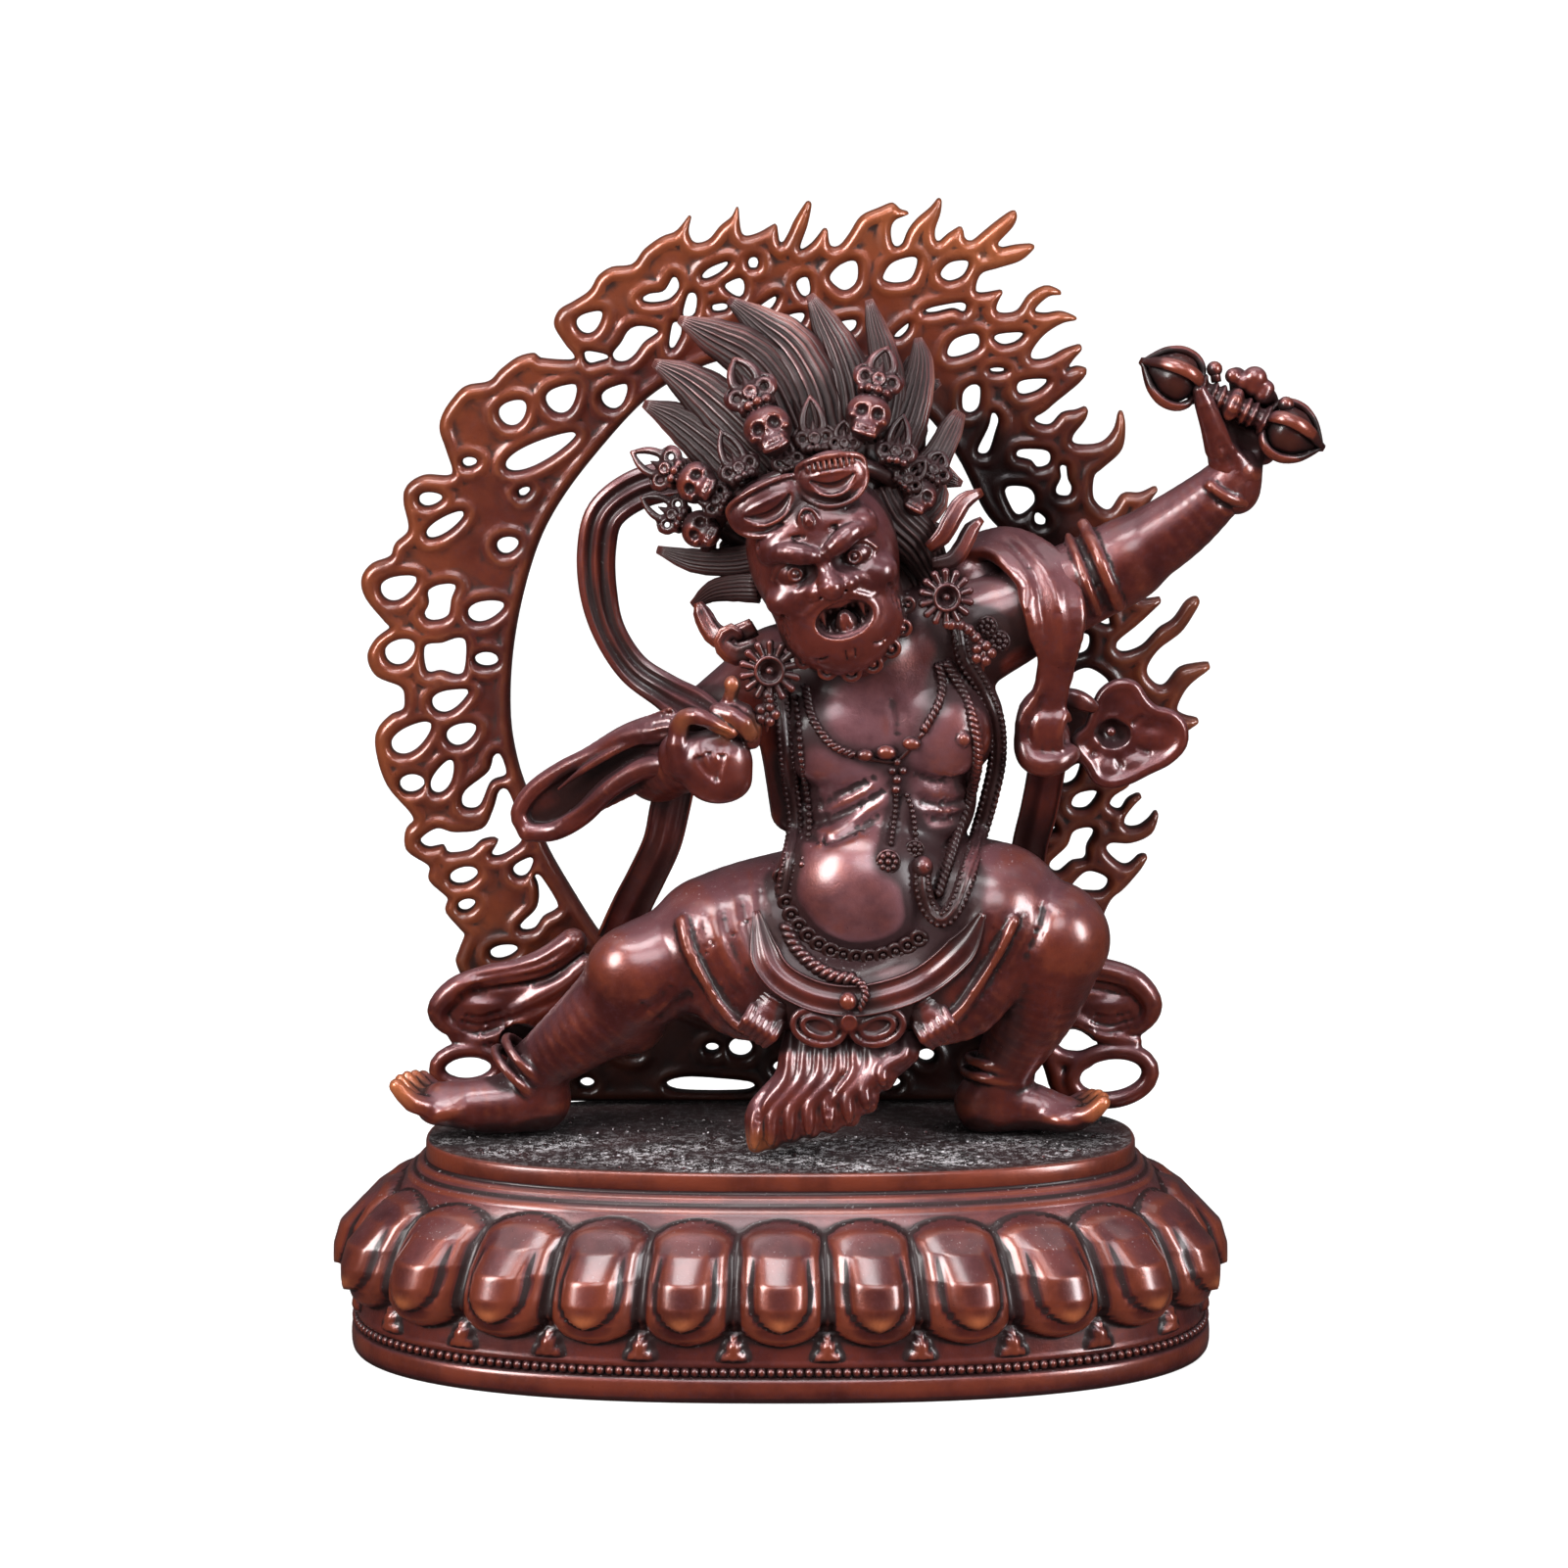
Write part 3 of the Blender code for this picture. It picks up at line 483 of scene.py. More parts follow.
def add_piece(
    name, points, faces, material, slot, node=None, lift=FLOOR, fine=3, broad=16, most=MOST_OF_ANY
):
    """Makes a mesh piece from points in millimetres and quads.

    Each point keeps how far it stands above its surroundings, close by and further off.
    """
    points = np.asarray(points, float)
    faces = np.asarray(faces, int)
    points, faces = thinned(points, faces, most)
    edges = edges_of(faces)
    normals = vertex_normals(points, faces)
    close = ((points - smoothed(points, edges, fine)) * normals).sum(1)
    far = ((points - smoothed(points, edges, broad)) * normals).sum(1)
    moved = points + np.array((0, 0, lift))
    mesh = mesh_of(name, moved * MM, faces)
    mesh.validate()
    mesh.shade_smooth()
    for label, values in (("close", close), ("far", far)):
        attribute = mesh.attributes.new(label, "FLOAT", "POINT")
        attribute.data.foreach_set("value", values.astype(np.float32))
    mesh.materials.append(material)
    obj = bpy.data.objects.new(name, mesh)
    bpy.context.scene.collection.objects.link(obj)
    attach(obj, "root")
    if node:
        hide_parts(node)
    SHAPES.append((obj, moved, normals))
    return obj


def surface(field, name, rounds=0):
    """A field's surface above the base's top, evened out where asked, within its piece's triangle limit."""
    points, faces = field.skin()
    points[:, 2] = np.maximum(points[:, 2], STANDS_AT)
    if rounds:
        points = relaxed(points, faces, rounds)
    return thinned(points, faces, MOST_TRIANGLES[name])


def merged(parts):
    """Several (points, faces) as one."""
    points, faces, count = [], [], 0
    for p, f in parts:
        points.append(p)
        faces.append(np.asarray(f) + count)
        count += len(p)
    return np.vstack(points), np.vstack(faces)


def add_trim(name, parts, material, most=MOST_OF_ANY):
    """A piece of the figure made of many small closed parts."""
    points, faces = merged(parts)
    return add_piece(name, points, faces, material, "figure_copper", fine=2, broad=8, most=most), points


def grid_faces(rows, columns):
    """Quads between rows of points; the last column joins the first."""
    r, c = np.meshgrid(np.arange(rows - 1), np.arange(columns), indexing="ij")
    n = (c + 1) % columns
    return np.stack(
        [r * columns + c, r * columns + n, (r + 1) * columns + n, (r + 1) * columns + c], -1
    ).reshape(-1, 4)


def tube(path, radii, sides=10, facing=(0, -1, 0), flat=1.0, ribs=0, rib_depth=0.0, section=None):
    """A closed tube along a path; its section may be flattened, ribbed, or a function of the angle."""
    path = np.asarray(path, float)
    radii = np.broadcast_to(np.asarray(radii, float), (len(path),))
    along = unit(np.gradient(path, axis=0))
    facing = np.broadcast_to(np.asarray(facing, float), path.shape)
    across = unit(np.cross(along, facing))
    out = unit(np.cross(across, along))
    a = 2 * np.pi * np.arange(sides) / sides
    shape = np.ones(sides)
    if ribs:
        shape = 1 - rib_depth * (0.5 - 0.5 * np.cos(ribs * a)) ** 1.3
    u, v = np.cos(a) * shape, np.sin(a) * shape * flat
    if section is not None:
        u, v = section(a)
    rings = (
        path[:, None]
        + radii[:, None, None] * (across[:, None] * u[None, :, None] + out[:, None] * v[None, :, None])
    )
    points = np.vstack([rings.reshape(-1, 3), path[:1], path[-1:]])
    n = len(path)
    faces = [grid_faces(n, sides)]
    k = np.arange(sides)
    j = (k + 1) % sides
    faces.append(np.column_stack([j, k, np.full(sides, n * sides), np.full(sides, n * sides)]))
    top = (n - 1) * sides
    faces.append(
        np.column_stack([top + k, top + j, np.full(sides, n * sides + 1), np.full(sides, n * sides + 1)])
    )
    faces = np.vstack(faces)
    ends = faces[:, 2] == faces[:, 3]
    turned = faces[:, ::-1].copy()
    turned[ends] = faces[ends][:, [1, 0, 2, 3]]
    return points, turned


def bead(centre, radius, sides=10, rows=6, squash=(1, 1, 1)):
    """A small closed ball."""
    phi = np.pi * np.arange(1, rows) / rows
    a = 2 * np.pi * np.arange(sides) / sides
    x = np.sin(phi)[:, None] * np.cos(a)[None]
    y = np.sin(phi)[:, None] * np.sin(a)[None]
    z = np.cos(phi)[:, None] * np.ones(sides)[None]
    points = np.stack([x, y, z], -1).reshape(-1, 3)
    points = np.vstack([points, [[0, 0, 1], [0, 0, -1]]]) * np.array(squash)
    n = (rows - 1) * sides
    k = np.arange(sides)
    j = (k + 1) % sides
    last = (rows - 2) * sides
    faces = [
        grid_faces(rows - 1, sides)[:, ::-1],
        np.column_stack([k, j, np.full(sides, n), np.full(sides, n)]),
        np.column_stack([last + j, last + k, np.full(sides, n + 1), np.full(sides, n + 1)]),
    ]
    return points * radius + np.asarray(centre), np.vstack(faces)


# Materials

COPPER_DARK = (0.040, 0.0058, 0.0045)
COPPER_MID = (0.092, 0.0150, 0.0085)
COPPER_WARM = (0.165, 0.0330, 0.0120)
COPPER_WORN = (0.40, 0.120, 0.038)
# Black of grime, also used for painted shade
GRIME_AND_SHADE = (0.0032, 0.0012, 0.0013)
DUST = (0.46, 0.44, 0.45)
PURPLE = (0.070, 0.026, 0.036)
# Lilac of a painted sheen
PAINTED_LILAC_SHEEN = (0.165, 0.080, 0.092)
# Warm colour of painted light
WARM_PAINTED_LIGHT = (0.170, 0.040, 0.0115)
BLACK_FLOOR = (0.0040, 0.0030, 0.0038)
HAIR_COLOURS = (0.085, 0.022, 0.018), (0.160, 0.055, 0.048), (0.46, 0.21, 0.16)
FLAME_COLOURS = (0.070, 0.0115, 0.0070), (0.120, 0.0230, 0.0105), (0.34, 0.10, 0.034)
COAT_TINT = (0.97, 0.95, 1.0, 1.0)
COAT_ROUGHNESS = 0.21
SPECULAR_LEVEL = 0.22

# Noise scales, from clouds of colour a centimetre wide down to grains of dust
CLOUD_SCALE = 95.0
FLECK_SCALE = 900.0
SPECK_SCALE = 2300.0
GRAIN_SCALE = 3600.0

BASE_ROUGHNESS = 0.32
BASE_METAL = 0.42
BUMP_DEPTH = 0.00022
BUMP_STRENGTH = 0.32


class Nodes:
    """Short names for building one material's node tree."""

    def __init__(self, name):
        self.material = bpy.data.materials.new(name)
        self.material.use_nodes = True
        self.tree = self.material.node_tree
        self.shader = self.tree.nodes["Principled BSDF"]

    def add(self, kind, **values):
        node = self.tree.nodes.new(kind)
        for key, value in values.items():
            setattr(node, key, value)
        return node

    def link(self, out, into):
        self.tree.links.new(out, into)

    def put(self, socket, value):
        if isinstance(value, bpy.types.NodeSocket):
            self.link(value, socket)
        else:
            socket.default_value = value

    def read(self, label):
        return self.add("ShaderNodeAttribute", attribute_name=label).outputs["Fac"]

    def math(self, operation, a, b=0.0, clamp=False):
        node = self.add("ShaderNodeMath", operation=operation, use_clamp=clamp)
        self.put(node.inputs[0], a)
        self.put(node.inputs[1], b)
        return node.outputs[0]

    def ramp(self, value, low, high, start=0.0, end=1.0):
        node = self.add("ShaderNodeMapRange", interpolation_type="SMOOTHSTEP")
        self.put(node.inputs["Value"], value)
        node.inputs["From Min"].default_value = low
        node.inputs["From Max"].default_value = high
        node.inputs["To Min"].default_value = start
        node.inputs["To Max"].default_value = end
        return node.outputs[0]

    def mix(self, share, a, b):
        node = self.add("ShaderNodeMix", data_type="RGBA")
        self.put(node.inputs["Factor"], share)
        for socket, value in ((node.inputs["A"], a), (node.inputs["B"], b)):
            self.put(socket, value if isinstance(value, bpy.types.NodeSocket) else (*value, 1.0))
        return node.outputs["Result"]

    def noise(self, scale, detail, roughness):
        node = self.add("ShaderNodeTexNoise")
        node.inputs["Scale"].default_value = scale
        node.inputs["Detail"].default_value = detail
        node.inputs["Roughness"].default_value = roughness
        self.link(self.place(), node.inputs["Vector"])
        return node.outputs["Fac"]

    def place(self):
        if not hasattr(self, "coordinates"):
            self.coordinates = self.add("ShaderNodeTexCoord").outputs["Object"]
        return self.coordinates


def patina(name, base, tint, worn, wear=1.0, dust=1.0, sheen=0.9, painted_sheen_share=0.55):
    """Lacquered copper: cloudy colour, bright rubbed edges, black grime with painted shade and pale dust in
    what lies low, a painted lilac sheen on what faces up, and painted warm light where asked.
    """
    n = Nodes(name)
    cloud = n.noise(CLOUD_SCALE, 5.0, 0.62)
    fleck = n.noise(FLECK_SCALE, 4.0, 0.7)
    grain = n.noise(GRAIN_SCALE, 3.0, 0.65)
    clump = n.math("ADD", n.math("MULTIPLY", fleck, 0.65), n.math("MULTIPLY", grain, 0.35))
    colour = n.mix(n.ramp(cloud, 0.36, 0.64), base, tint)
    purple = n.mix(0.45, base, PURPLE)
    colour = n.mix(n.ramp(fleck, 0.50, 0.68, 0.0, 0.45), colour, purple)
    close, far, shelter = n.read("close"), n.read("far"), n.read("shelter")
    up = n.read("up")
    # A painted lilac sheen lies on what faces upwards, and on a patch given per piece
    painted_sheen = n.math("MULTIPLY", n.ramp(up, 0.02, 0.80, 0.0, painted_sheen_share), n.ramp(cloud, 0.30, 0.60, 0.55, 1.0))
    painted_sheen = n.math(
        "MAXIMUM", painted_sheen, n.math("MULTIPLY", n.read("pale"), n.ramp(cloud, 0.30, 0.62, 0.20, 0.62))
    )
    colour = n.mix(painted_sheen, colour, PAINTED_LILAC_SHEEN)
    # Edges that stand proud are rubbed bright where nothing shelters them
    uneven = n.math("MULTIPLY", n.math("SUBTRACT", fleck, 0.5), 0.03)
    edge = n.ramp(n.math("ADD", close, uneven), 0.012, 0.075, 0.0, 1.0)
    bulge = n.ramp(far, 0.10, 0.62, 0.0, 0.75)
    rubbed = n.math("MULTIPLY", n.math("ADD", edge, bulge, clamp=True), n.ramp(shelter, 0.62, 0.30))
    rubbed = n.math("MULTIPLY", rubbed, n.ramp(cloud, 0.30, 0.58, 0.45, 1.0))
    colour = n.mix(n.math("MULTIPLY", rubbed, 0.62 * wear, clamp=True), colour, worn)
    tip = n.math("MULTIPLY", n.read("tip"), n.ramp(fleck, 0.30, 0.70, 0.70, 1.0))
    colour = n.mix(tip, colour, COPPER_WORN)
    # Painted warm light, where a piece asks for it
    painted_warm_light = n.math("MULTIPLY", n.read("painted_warm_light"), n.ramp(cloud, 0.30, 0.62, 0.35, 0.85))
    colour = n.mix(painted_warm_light, colour, WARM_PAINTED_LIGHT)
    colour = n.mix(n.math("MULTIPLY", n.read("top"), 0.86), colour, BLACK_FLOOR)
    # Painted shade, as each piece asks for it
    colour = n.mix(n.read("painted_shade"), colour, GRIME_AND_SHADE)
    # Grime and painted shade fill what lies low, by itself or between its neighbours
    low = n.ramp(close, -0.008, -0.060, 0.0, 1.0)
    deep = n.ramp(far, -0.05, -0.42, 0.0, 0.85)
    # Painted shade where the metal round a place closes it in
    shelter_shade = n.ramp(shelter, 0.50, 0.84, 0.0, 0.92)
    grime_and_shade = n.math("MAXIMUM", n.math("MAXIMUM", low, deep), shelter_shade)
    grime_and_shade = n.math("MULTIPLY", grime_and_shade, n.ramp(cloud, 0.25, 0.60, 0.72, 1.0))
    grime_and_shade = n.math("MULTIPLY", grime_and_shade, 0.93, clamp=True)
    colour = n.mix(grime_and_shade, colour, GRIME_AND_SHADE)
    # Dust settles as specks on what faces upwards
    speck = n.ramp(n.noise(SPECK_SCALE, 2.0, 0.5), 0.66, 0.72)
    settle = n.math("MULTIPLY", n.ramp(up, 0.35, 0.95), n.ramp(cloud, 0.42, 0.62, 0.25, 1.0))
    settle = n.math("ADD", n.math("MULTIPLY", settle, 0.34), n.math("MULTIPLY", low, 0.07))
    dusty = n.math("MULTIPLY", n.math("MULTIPLY", speck, settle), dust, clamp=True)
    dusty = n.math("MAXIMUM", dusty, n.math("MULTIPLY", n.read("dust"), n.ramp(clump, 0.50, 0.59)))
    colour = n.mix(dusty, colour, DUST)
    n.link(colour, n.shader.inputs["Base Color"])
    rough = n.math("ADD", BASE_ROUGHNESS, n.math("MULTIPLY", n.math("SUBTRACT", fleck, 0.5), 0.22))
    rough = n.math("ADD", rough, n.math("MULTIPLY", grime_and_shade, 0.26))
    rough = n.math(
        "ADD", rough, n.math("MULTIPLY", n.math("MAXIMUM", dusty, n.read("top")), 0.40), clamp=True
    )
    n.link(rough, n.shader.inputs["Roughness"])
    dull = n.math(
        "MAXIMUM", n.math("MAXIMUM", dusty, n.read("top")), n.math("MULTIPLY", n.read("painted_shade"), 0.7)
    )
    metal = n.math("SUBTRACT", BASE_METAL, n.math("ADD", n.math("MULTIPLY", grime_and_shade, 0.35), dull), clamp=True)
    n.link(metal, n.shader.inputs["Metallic"])
    clean = n.math("SUBTRACT", 1.0, n.math("ADD", n.math("MULTIPLY", grime_and_shade, 0.85), dull), clamp=True)
    n.link(n.math("MULTIPLY", clean, sheen), n.shader.inputs["Coat Weight"])
    n.shader.inputs["Coat Roughness"].default_value = COAT_ROUGHNESS
    n.shader.inputs["Specular IOR Level"].default_value = SPECULAR_LEVEL
    n.shader.inputs["Coat Tint"].default_value = COAT_TINT
    bump = n.add("ShaderNodeBump")
    bump.inputs["Strength"].default_value = BUMP_STRENGTH
    bump.inputs["Distance"].default_value = BUMP_DEPTH
    height = n.math("ADD", n.math("MULTIPLY", fleck, 0.6), n.math("MULTIPLY", grain, 0.4))
    n.link(n.math("ADD", height, n.math("MULTIPLY", dusty, 0.5)), bump.inputs["Height"])
    n.link(bump.outputs["Normal"], n.shader.inputs["Normal"])
    return n.material


def set_values(obj, label, values):
    attribute = obj.data.attributes.get(label) or obj.data.attributes.new(label, "FLOAT", "POINT")
    attribute.data.foreach_set("value", np.asarray(values, np.float32))


# Lotus base

TOP_WIDTH = 98.8
TOP_DEPTH = 43.0
BASE_HEIGHT = 29.2
FOOT = 7.4
NECK = 24.1
PETALS = 24
PETAL_STEPS = 20
SIDE_ROWS = 70
BEADS = 236
BEAD_RADIUS = 0.66
BEAD_LEDGE = 9.95
BEAD_HEIGHT = 4.3


def plan_point(half_width, half_depth, angle):
    c, s = np.cos(angle), np.sin(angle)
    power = 2.0 / 2.5
    return np.sign(c) * np.abs(c) ** power * half_width, np.sign(s) * np.abs(s) ** power * half_depth


def even_turns(count, half_width, half_depth, start=0.0):
    """Plan angles evenly spaced along the rim, from the middle of the front."""
    fine = -np.pi / 2 + 2 * np.pi * np.arange(5761) / 5760
    x, y = plan_point(half_width, half_depth, fine)
    run = np.concatenate([[0], np.cumsum(np.hypot(np.diff(x), np.diff(y)))])
    goal = run[-1] * ((np.arange(count) + start) / count)
    return np.interp(goal, run, fine)


def base_levels():
    """(height, ledge) down the side of the base; rows whose ledge is None carry the petals."""
    keys = [
        (29.2, -0.55), (29.1, -0.2), (28.8, 0.0), (26.9, 0.05), (26.5, -0.1), (26.3, 0.2), (26.15, 0.9),
        (25.9, 1.15), (25.2, 1.5), (24.9, 1.9), (24.6, 2.5), (24.1, 2.7),
    ]
    rows = list(keys)
    count = SIDE_ROWS
    for z in np.linspace(NECK - 0.15, FOOT - 1.4, count):
        rows.append((z, None))
    rows += [
        (5.75, 9.75), (5.5, 9.85), (5.0, 9.95), (4.85, 9.8), (4.3, 9.6), (3.75, 9.6), (3.6, 9.9),
        (3.45, 10.3), (3.2, 10.5), (2.8, 10.62), (2.0, 10.68), (1.0, 10.66), (0.4, 10.55), (0.12, 10.35),
        (0.0, 10.0),
    ]
    return rows


def lotus_relief(z, s):
    """The ledge at that height and place across a petal's pitch; s runs from -1 to 1 across the petal."""
    t = np.clip((NECK - z) / (NECK - 8.1), 0, 1.4)
    ground_t = np.clip((NECK - z) / (NECK - FOOT + 1.4), 0, 1)
    ground = 2.7 + 7.0 * ground_t**0.9 + 1.1 * np.sin(np.pi * ground_t)
    crest = np.interp(
        t, [0, 0.10, 0.25, 0.45, 0.65, 0.82, 0.94, 1.0, 1.4],
        [2.9, 6.0, 8.8, 11.1, 12.05, 12.15, 11.6, 10.6, 9.6],
    )
    wide = 0.955 * np.sqrt(np.clip(1 - (np.clip(t - 0.70, 0, 1) / 0.305) ** 2.4, 0, 1))
    wide = np.where(t > 1.004, 0.0, np.maximum(wide, 0.0))
    inside = np.clip(1 - (np.abs(s) / np.maximum(wide, 1e-3)) ** 2.6, 0, 1)
    # Each petal begins at the top with a rounded edge, deeper down towards its sides.
    arch = 0.035 + 0.13 * np.abs(s) ** 2.4
    start = np.clip((t - arch) / 0.05, 0, 1)
    inside = np.where(wide > 0.02, inside * start * start * (3 - 2 * start), 0.0)
    petal = inside**0.5
    out = ground + (crest - ground) * (0.18 * (inside > 0) + 0.82 * petal) * (inside > 0)
    # The inner boss: a long drop with a groove round it, near the petal's lower end.
    tb = np.clip((t - 0.16) / 0.68, -1, 2)
    boss_wide = (
        0.60 * np.sqrt(np.clip(1 - np.clip((tb - 0.52) / 0.48, 0, 1) ** 2.2, 0, 1))
        * np.clip(0.80 + 0.4 * tb, 0, 1)
    )
    q = np.abs(s) / np.maximum(boss_wide, 1e-3)
    boss = np.where((tb > 0) & (boss_wide > 0.02), np.clip(1 - q**2, 0, 1), 0)
    rise = np.clip(tb * 2.2, 0, 1)
    out = out + rise * 1.15 * np.sqrt(boss)
    rim_gap = np.where(tb > -0.05, np.exp(-(((q - 1.10) / 0.13) ** 2)), 0) * np.clip(1.06 - tb, 0, 1) ** 0.3
    out = out - rise * 0.42 * np.clip(np.where(tb < 1.0, rim_gap, 0), 0, 1)
    # Between the petals a narrow ridge runs down and opens into a small fan.
    side = 1 - np.abs(s)
    ridge = (
        np.exp(-((side / 0.035) ** 2)) * np.clip(1 - (t - 0.80) / 0.1, 0, 1) * np.clip((t - 0.16) * 8, 0, 1)
    )
    grooves = (
        np.exp(-(((side - 0.085) / 0.03) ** 2)) * np.clip(1 - (t - 0.86) / 0.1, 0, 1)
        * np.clip((t - 0.16) * 8, 0, 1)
    )
    out = out + 1.35 * ridge - 0.55 * grooves
    fan_t = (9.4 - z) / 3.6
    fan_wide = np.clip(0.05 + 0.24 * fan_t, 0, 1)
    fan = np.clip(1 - (side / np.maximum(fan_wide, 1e-3)) ** 4, 0, 1) * ((fan_t > 0) & (fan_t < 1.0))
    fan = fan * np.sqrt(np.clip(1 - np.clip((fan_t - 0.72) / 0.28, 0, 1) ** 2, 0, 1))
    pleats = 0.16 * np.cos(side / np.maximum(fan_wide, 0.02) * np.pi * 3)
    out = np.where(fan > 0, np.maximum(out, ground + (0.95 + pleats) * np.sqrt(fan)), out)
    return out, boss * rise, tb


def lotus_base(material):
    steps = PETAL_STEPS
    columns = PETALS * steps
    turns = even_turns(columns, TOP_WIDTH / 2 + 10.6, TOP_DEPTH / 2 + 10.6)
    s = 2 * ((np.arange(columns) / steps + 0.5) % 1.0) - 1
    rows, marks = [], []
    x, y = plan_point(TOP_WIDTH / 2 - 0.9, TOP_DEPTH / 2 - 0.9, turns)
    for share in (0.12, 0.25, 0.4, 0.55, 0.68, 0.8, 0.9, 0.97):
        rows.append(np.column_stack([x * share, y * share, np.full(columns, BASE_HEIGHT)]))
        marks.append(np.zeros(columns))
    for z, ledge in base_levels():
        boss = np.zeros(columns)
        if ledge is None:
            ledge, boss, tb = lotus_relief(np.full(columns, z), s)
            boss = boss * np.exp(-(((tb - 0.90) / 0.075) ** 2)) * np.exp(-((s / 0.3) ** 2))
        a, b = plan_point(TOP_WIDTH / 2 + ledge, TOP_DEPTH / 2 + ledge, turns)
        rows.append(np.column_stack([a, b, np.full(columns, z)]))
        marks.append(boss)
    for share in (0.9, 0.5):
        rows.append(np.column_stack([rows[-1][:, 0] * share, rows[-1][:, 1] * share, np.zeros(columns)]))
        marks.append(np.zeros(columns))
    n = len(rows)
    points = np.vstack(rows + [[[0, 0, BASE_HEIGHT]], [[0, 0, 0.0]]])
    k = np.arange(columns)
    j = (k + 1) % columns
    last = (n - 1) * columns
    faces = [
        grid_faces(n, columns)[:, ::-1],
        np.column_stack([k, j, np.full(columns, n * columns), np.full(columns, n * columns)]),
        np.column_stack(
            [last + j, last + k, np.full(columns, n * columns + 1), np.full(columns, n * columns + 1)]
        ),
    ]
    obj = add_piece(
        "lotus_base_body", points, np.vstack(faces), material, "lotus_copper", node="lotus_base", lift=0.0
    )
    set_values(obj, "tip", np.concatenate(marks + [np.zeros(2)]) * 0.6)
    top = points[:, 2] > BASE_HEIGHT - 0.01
    depth = points[:, 1]
    front = np.clip((-depth + 1.0) / 10.0, 0, 1)
    patch = 0.55 + 0.45 * np.sin(points[:, 0] * 0.31 + 2.0 * np.sin(depth * 0.4))
    rim = np.clip((np.abs(points[:, 0]) / 49.0) ** 2 + (depth / 21.0) ** 2, 0, 1)
    set_values(obj, "dust", np.where(top, 0.10 + 0.90 * front * patch * (rim < 0.97), 0.0))
    set_values(obj, "top", top.astype(float))
    return obj


def bead_row(material):
    """The row of beads round the foot."""
    half_width, half_depth = TOP_WIDTH / 2 + BEAD_LEDGE, TOP_DEPTH / 2 + BEAD_LEDGE
    turns = even_turns(BEADS, half_width, half_depth)
    x, y = plan_point(half_width, half_depth, turns)
    parts = [bead((a, b, BEAD_HEIGHT), BEAD_RADIUS, sides=8, rows=5) for a, b in zip(x, y)]
    points, faces = merged(parts)
    return add_piece("bead_row", points, faces, material, "lotus_copper", lift=0.0)


# Flame aureole

AUREOLE_FRONT = 16.0
AUREOLE_BACK = 20.2
AUREOLE_CELL = 0.37
ROUND_EDGE = 1.05
HALF_FRONT = 1.72
HALF_BACK = 1.9

OUTLINE = (
    (466, 989), (467, 975), (474, 956), (471, 953), (454, 933), (457, 920), (454, 917), (437, 901),
    (438, 888), (434, 884), (414, 870), (413, 850), (421, 841), (418, 832), (395, 805), (384, 775),
    (383, 750), (397, 733), (410, 727), (412, 714), (408, 703), (383, 692), (374, 672), (382, 655),
    (397, 643), (393, 638), (372, 612), (368, 592), (378, 578), (397, 570), (402, 557), (416, 542),
    (411, 514), (414, 498), (432, 487), (460, 486), (455, 462), (448, 441), (450, 426), (459, 411),
    (474, 396), (498, 391), (510, 379), (528, 366), (546, 362), (551, 367), (586, 368), (576, 352),
    (565, 333), (570, 318), (585, 309), (601, 298), (610, 283), (624, 274), (645, 271), (657, 256),
    (675, 243), (690, 237), (704, 220), (706, 222), (703, 238), (709, 249), (723, 246), (735, 232),
    (747, 222), (752, 211), (754, 212), (756, 234), (760, 242), (774, 239), (790, 230), (793, 229),
    (797, 250), (805, 239), (811, 226), (825, 205), (829, 208), (825, 230), (817, 255), (829, 249),
    (842, 233), (845, 234), (848, 252), (857, 252), (867, 240), (879, 222), (898, 213), (912, 208),
    (920, 215), (929, 217), (928, 220), (914, 226), (910, 237), (913, 252), (921, 251), (927, 237),
    (936, 225), (951, 212), (959, 202), (962, 204), (961, 218), (955, 237), (958, 248), (968, 240),
    (981, 232), (984, 234), (986, 245), (993, 247), (1003, 239), (1019, 226), (1034, 216), (1039, 219),
    (1036, 231), (1019, 250), (1022, 254), (1038, 251), (1055, 250), (1058, 253), (1043, 267), (1019, 275),
    (1002, 281), (997, 298), (1006, 300), (1023, 297), (1025, 299), (1019, 311), (1019, 320), (1038, 319),
    (1051, 302), (1068, 293), (1082, 297), (1085, 302), (1071, 304), (1057, 318), (1068, 321), (1084, 319),
    (1100, 325), (1102, 328), (1086, 331), (1067, 343), (1054, 360), (1055, 368), (1070, 367), (1087, 358),
    (1104, 353), (1105, 359), (1097, 368), (1091, 378), (1100, 375), (1111, 378), (1110, 383), (1102, 393),
    (1080, 411), (1067, 422), (1057, 428), (1060, 433), (1073, 435), (1085, 423), (1100, 420), (1110, 416),
    (1112, 420), (1109, 430), (1096, 447), (1099, 455), (1124, 454), (1138, 440), (1143, 421), (1147, 421),
    (1150, 437), (1146, 461), (1126, 480), (1118, 488), (1118, 511), (1133, 523), (1147, 506), (1165, 505),
    (1181, 498), (1184, 501), (1172, 520), (1160, 560), (1160, 600), (1166, 613), (1186, 612), (1187, 616),
    (1176, 627), (1162, 640), (1141, 658), (1146, 668), (1166, 662), (1184, 644), (1199, 634), (1212, 616),
    (1223, 611), (1226, 616), (1222, 625), (1207, 647), (1184, 665), (1172, 684), (1177, 697), (1189, 702),
    (1204, 685), (1220, 680), (1236, 679), (1237, 684), (1217, 700), (1207, 714), (1203, 727), (1212, 733),
    (1225, 736), (1225, 740), (1214, 748), (1195, 762), (1170, 780), (1157, 796), (1153, 805), (1138, 815),
    (1134, 824), (1144, 829), (1152, 818), (1165, 812), (1167, 816), (1159, 824), (1149, 838), (1151, 846),
    (1163, 846), (1174, 838), (1181, 829), (1184, 833), (1177, 853), (1156, 863), (1134, 863), (1131, 871),
    (1143, 883), (1153, 885), (1165, 875), (1173, 876), (1171, 881), (1164, 892), (1148, 910), (1136, 920),
    (1128, 936), (1127, 950), (1121, 990), (1100, 1040), (1062, 1090), (1026, 1125), (797, 1133),
    (568, 1125), (530, 1090), (492, 1040),
)

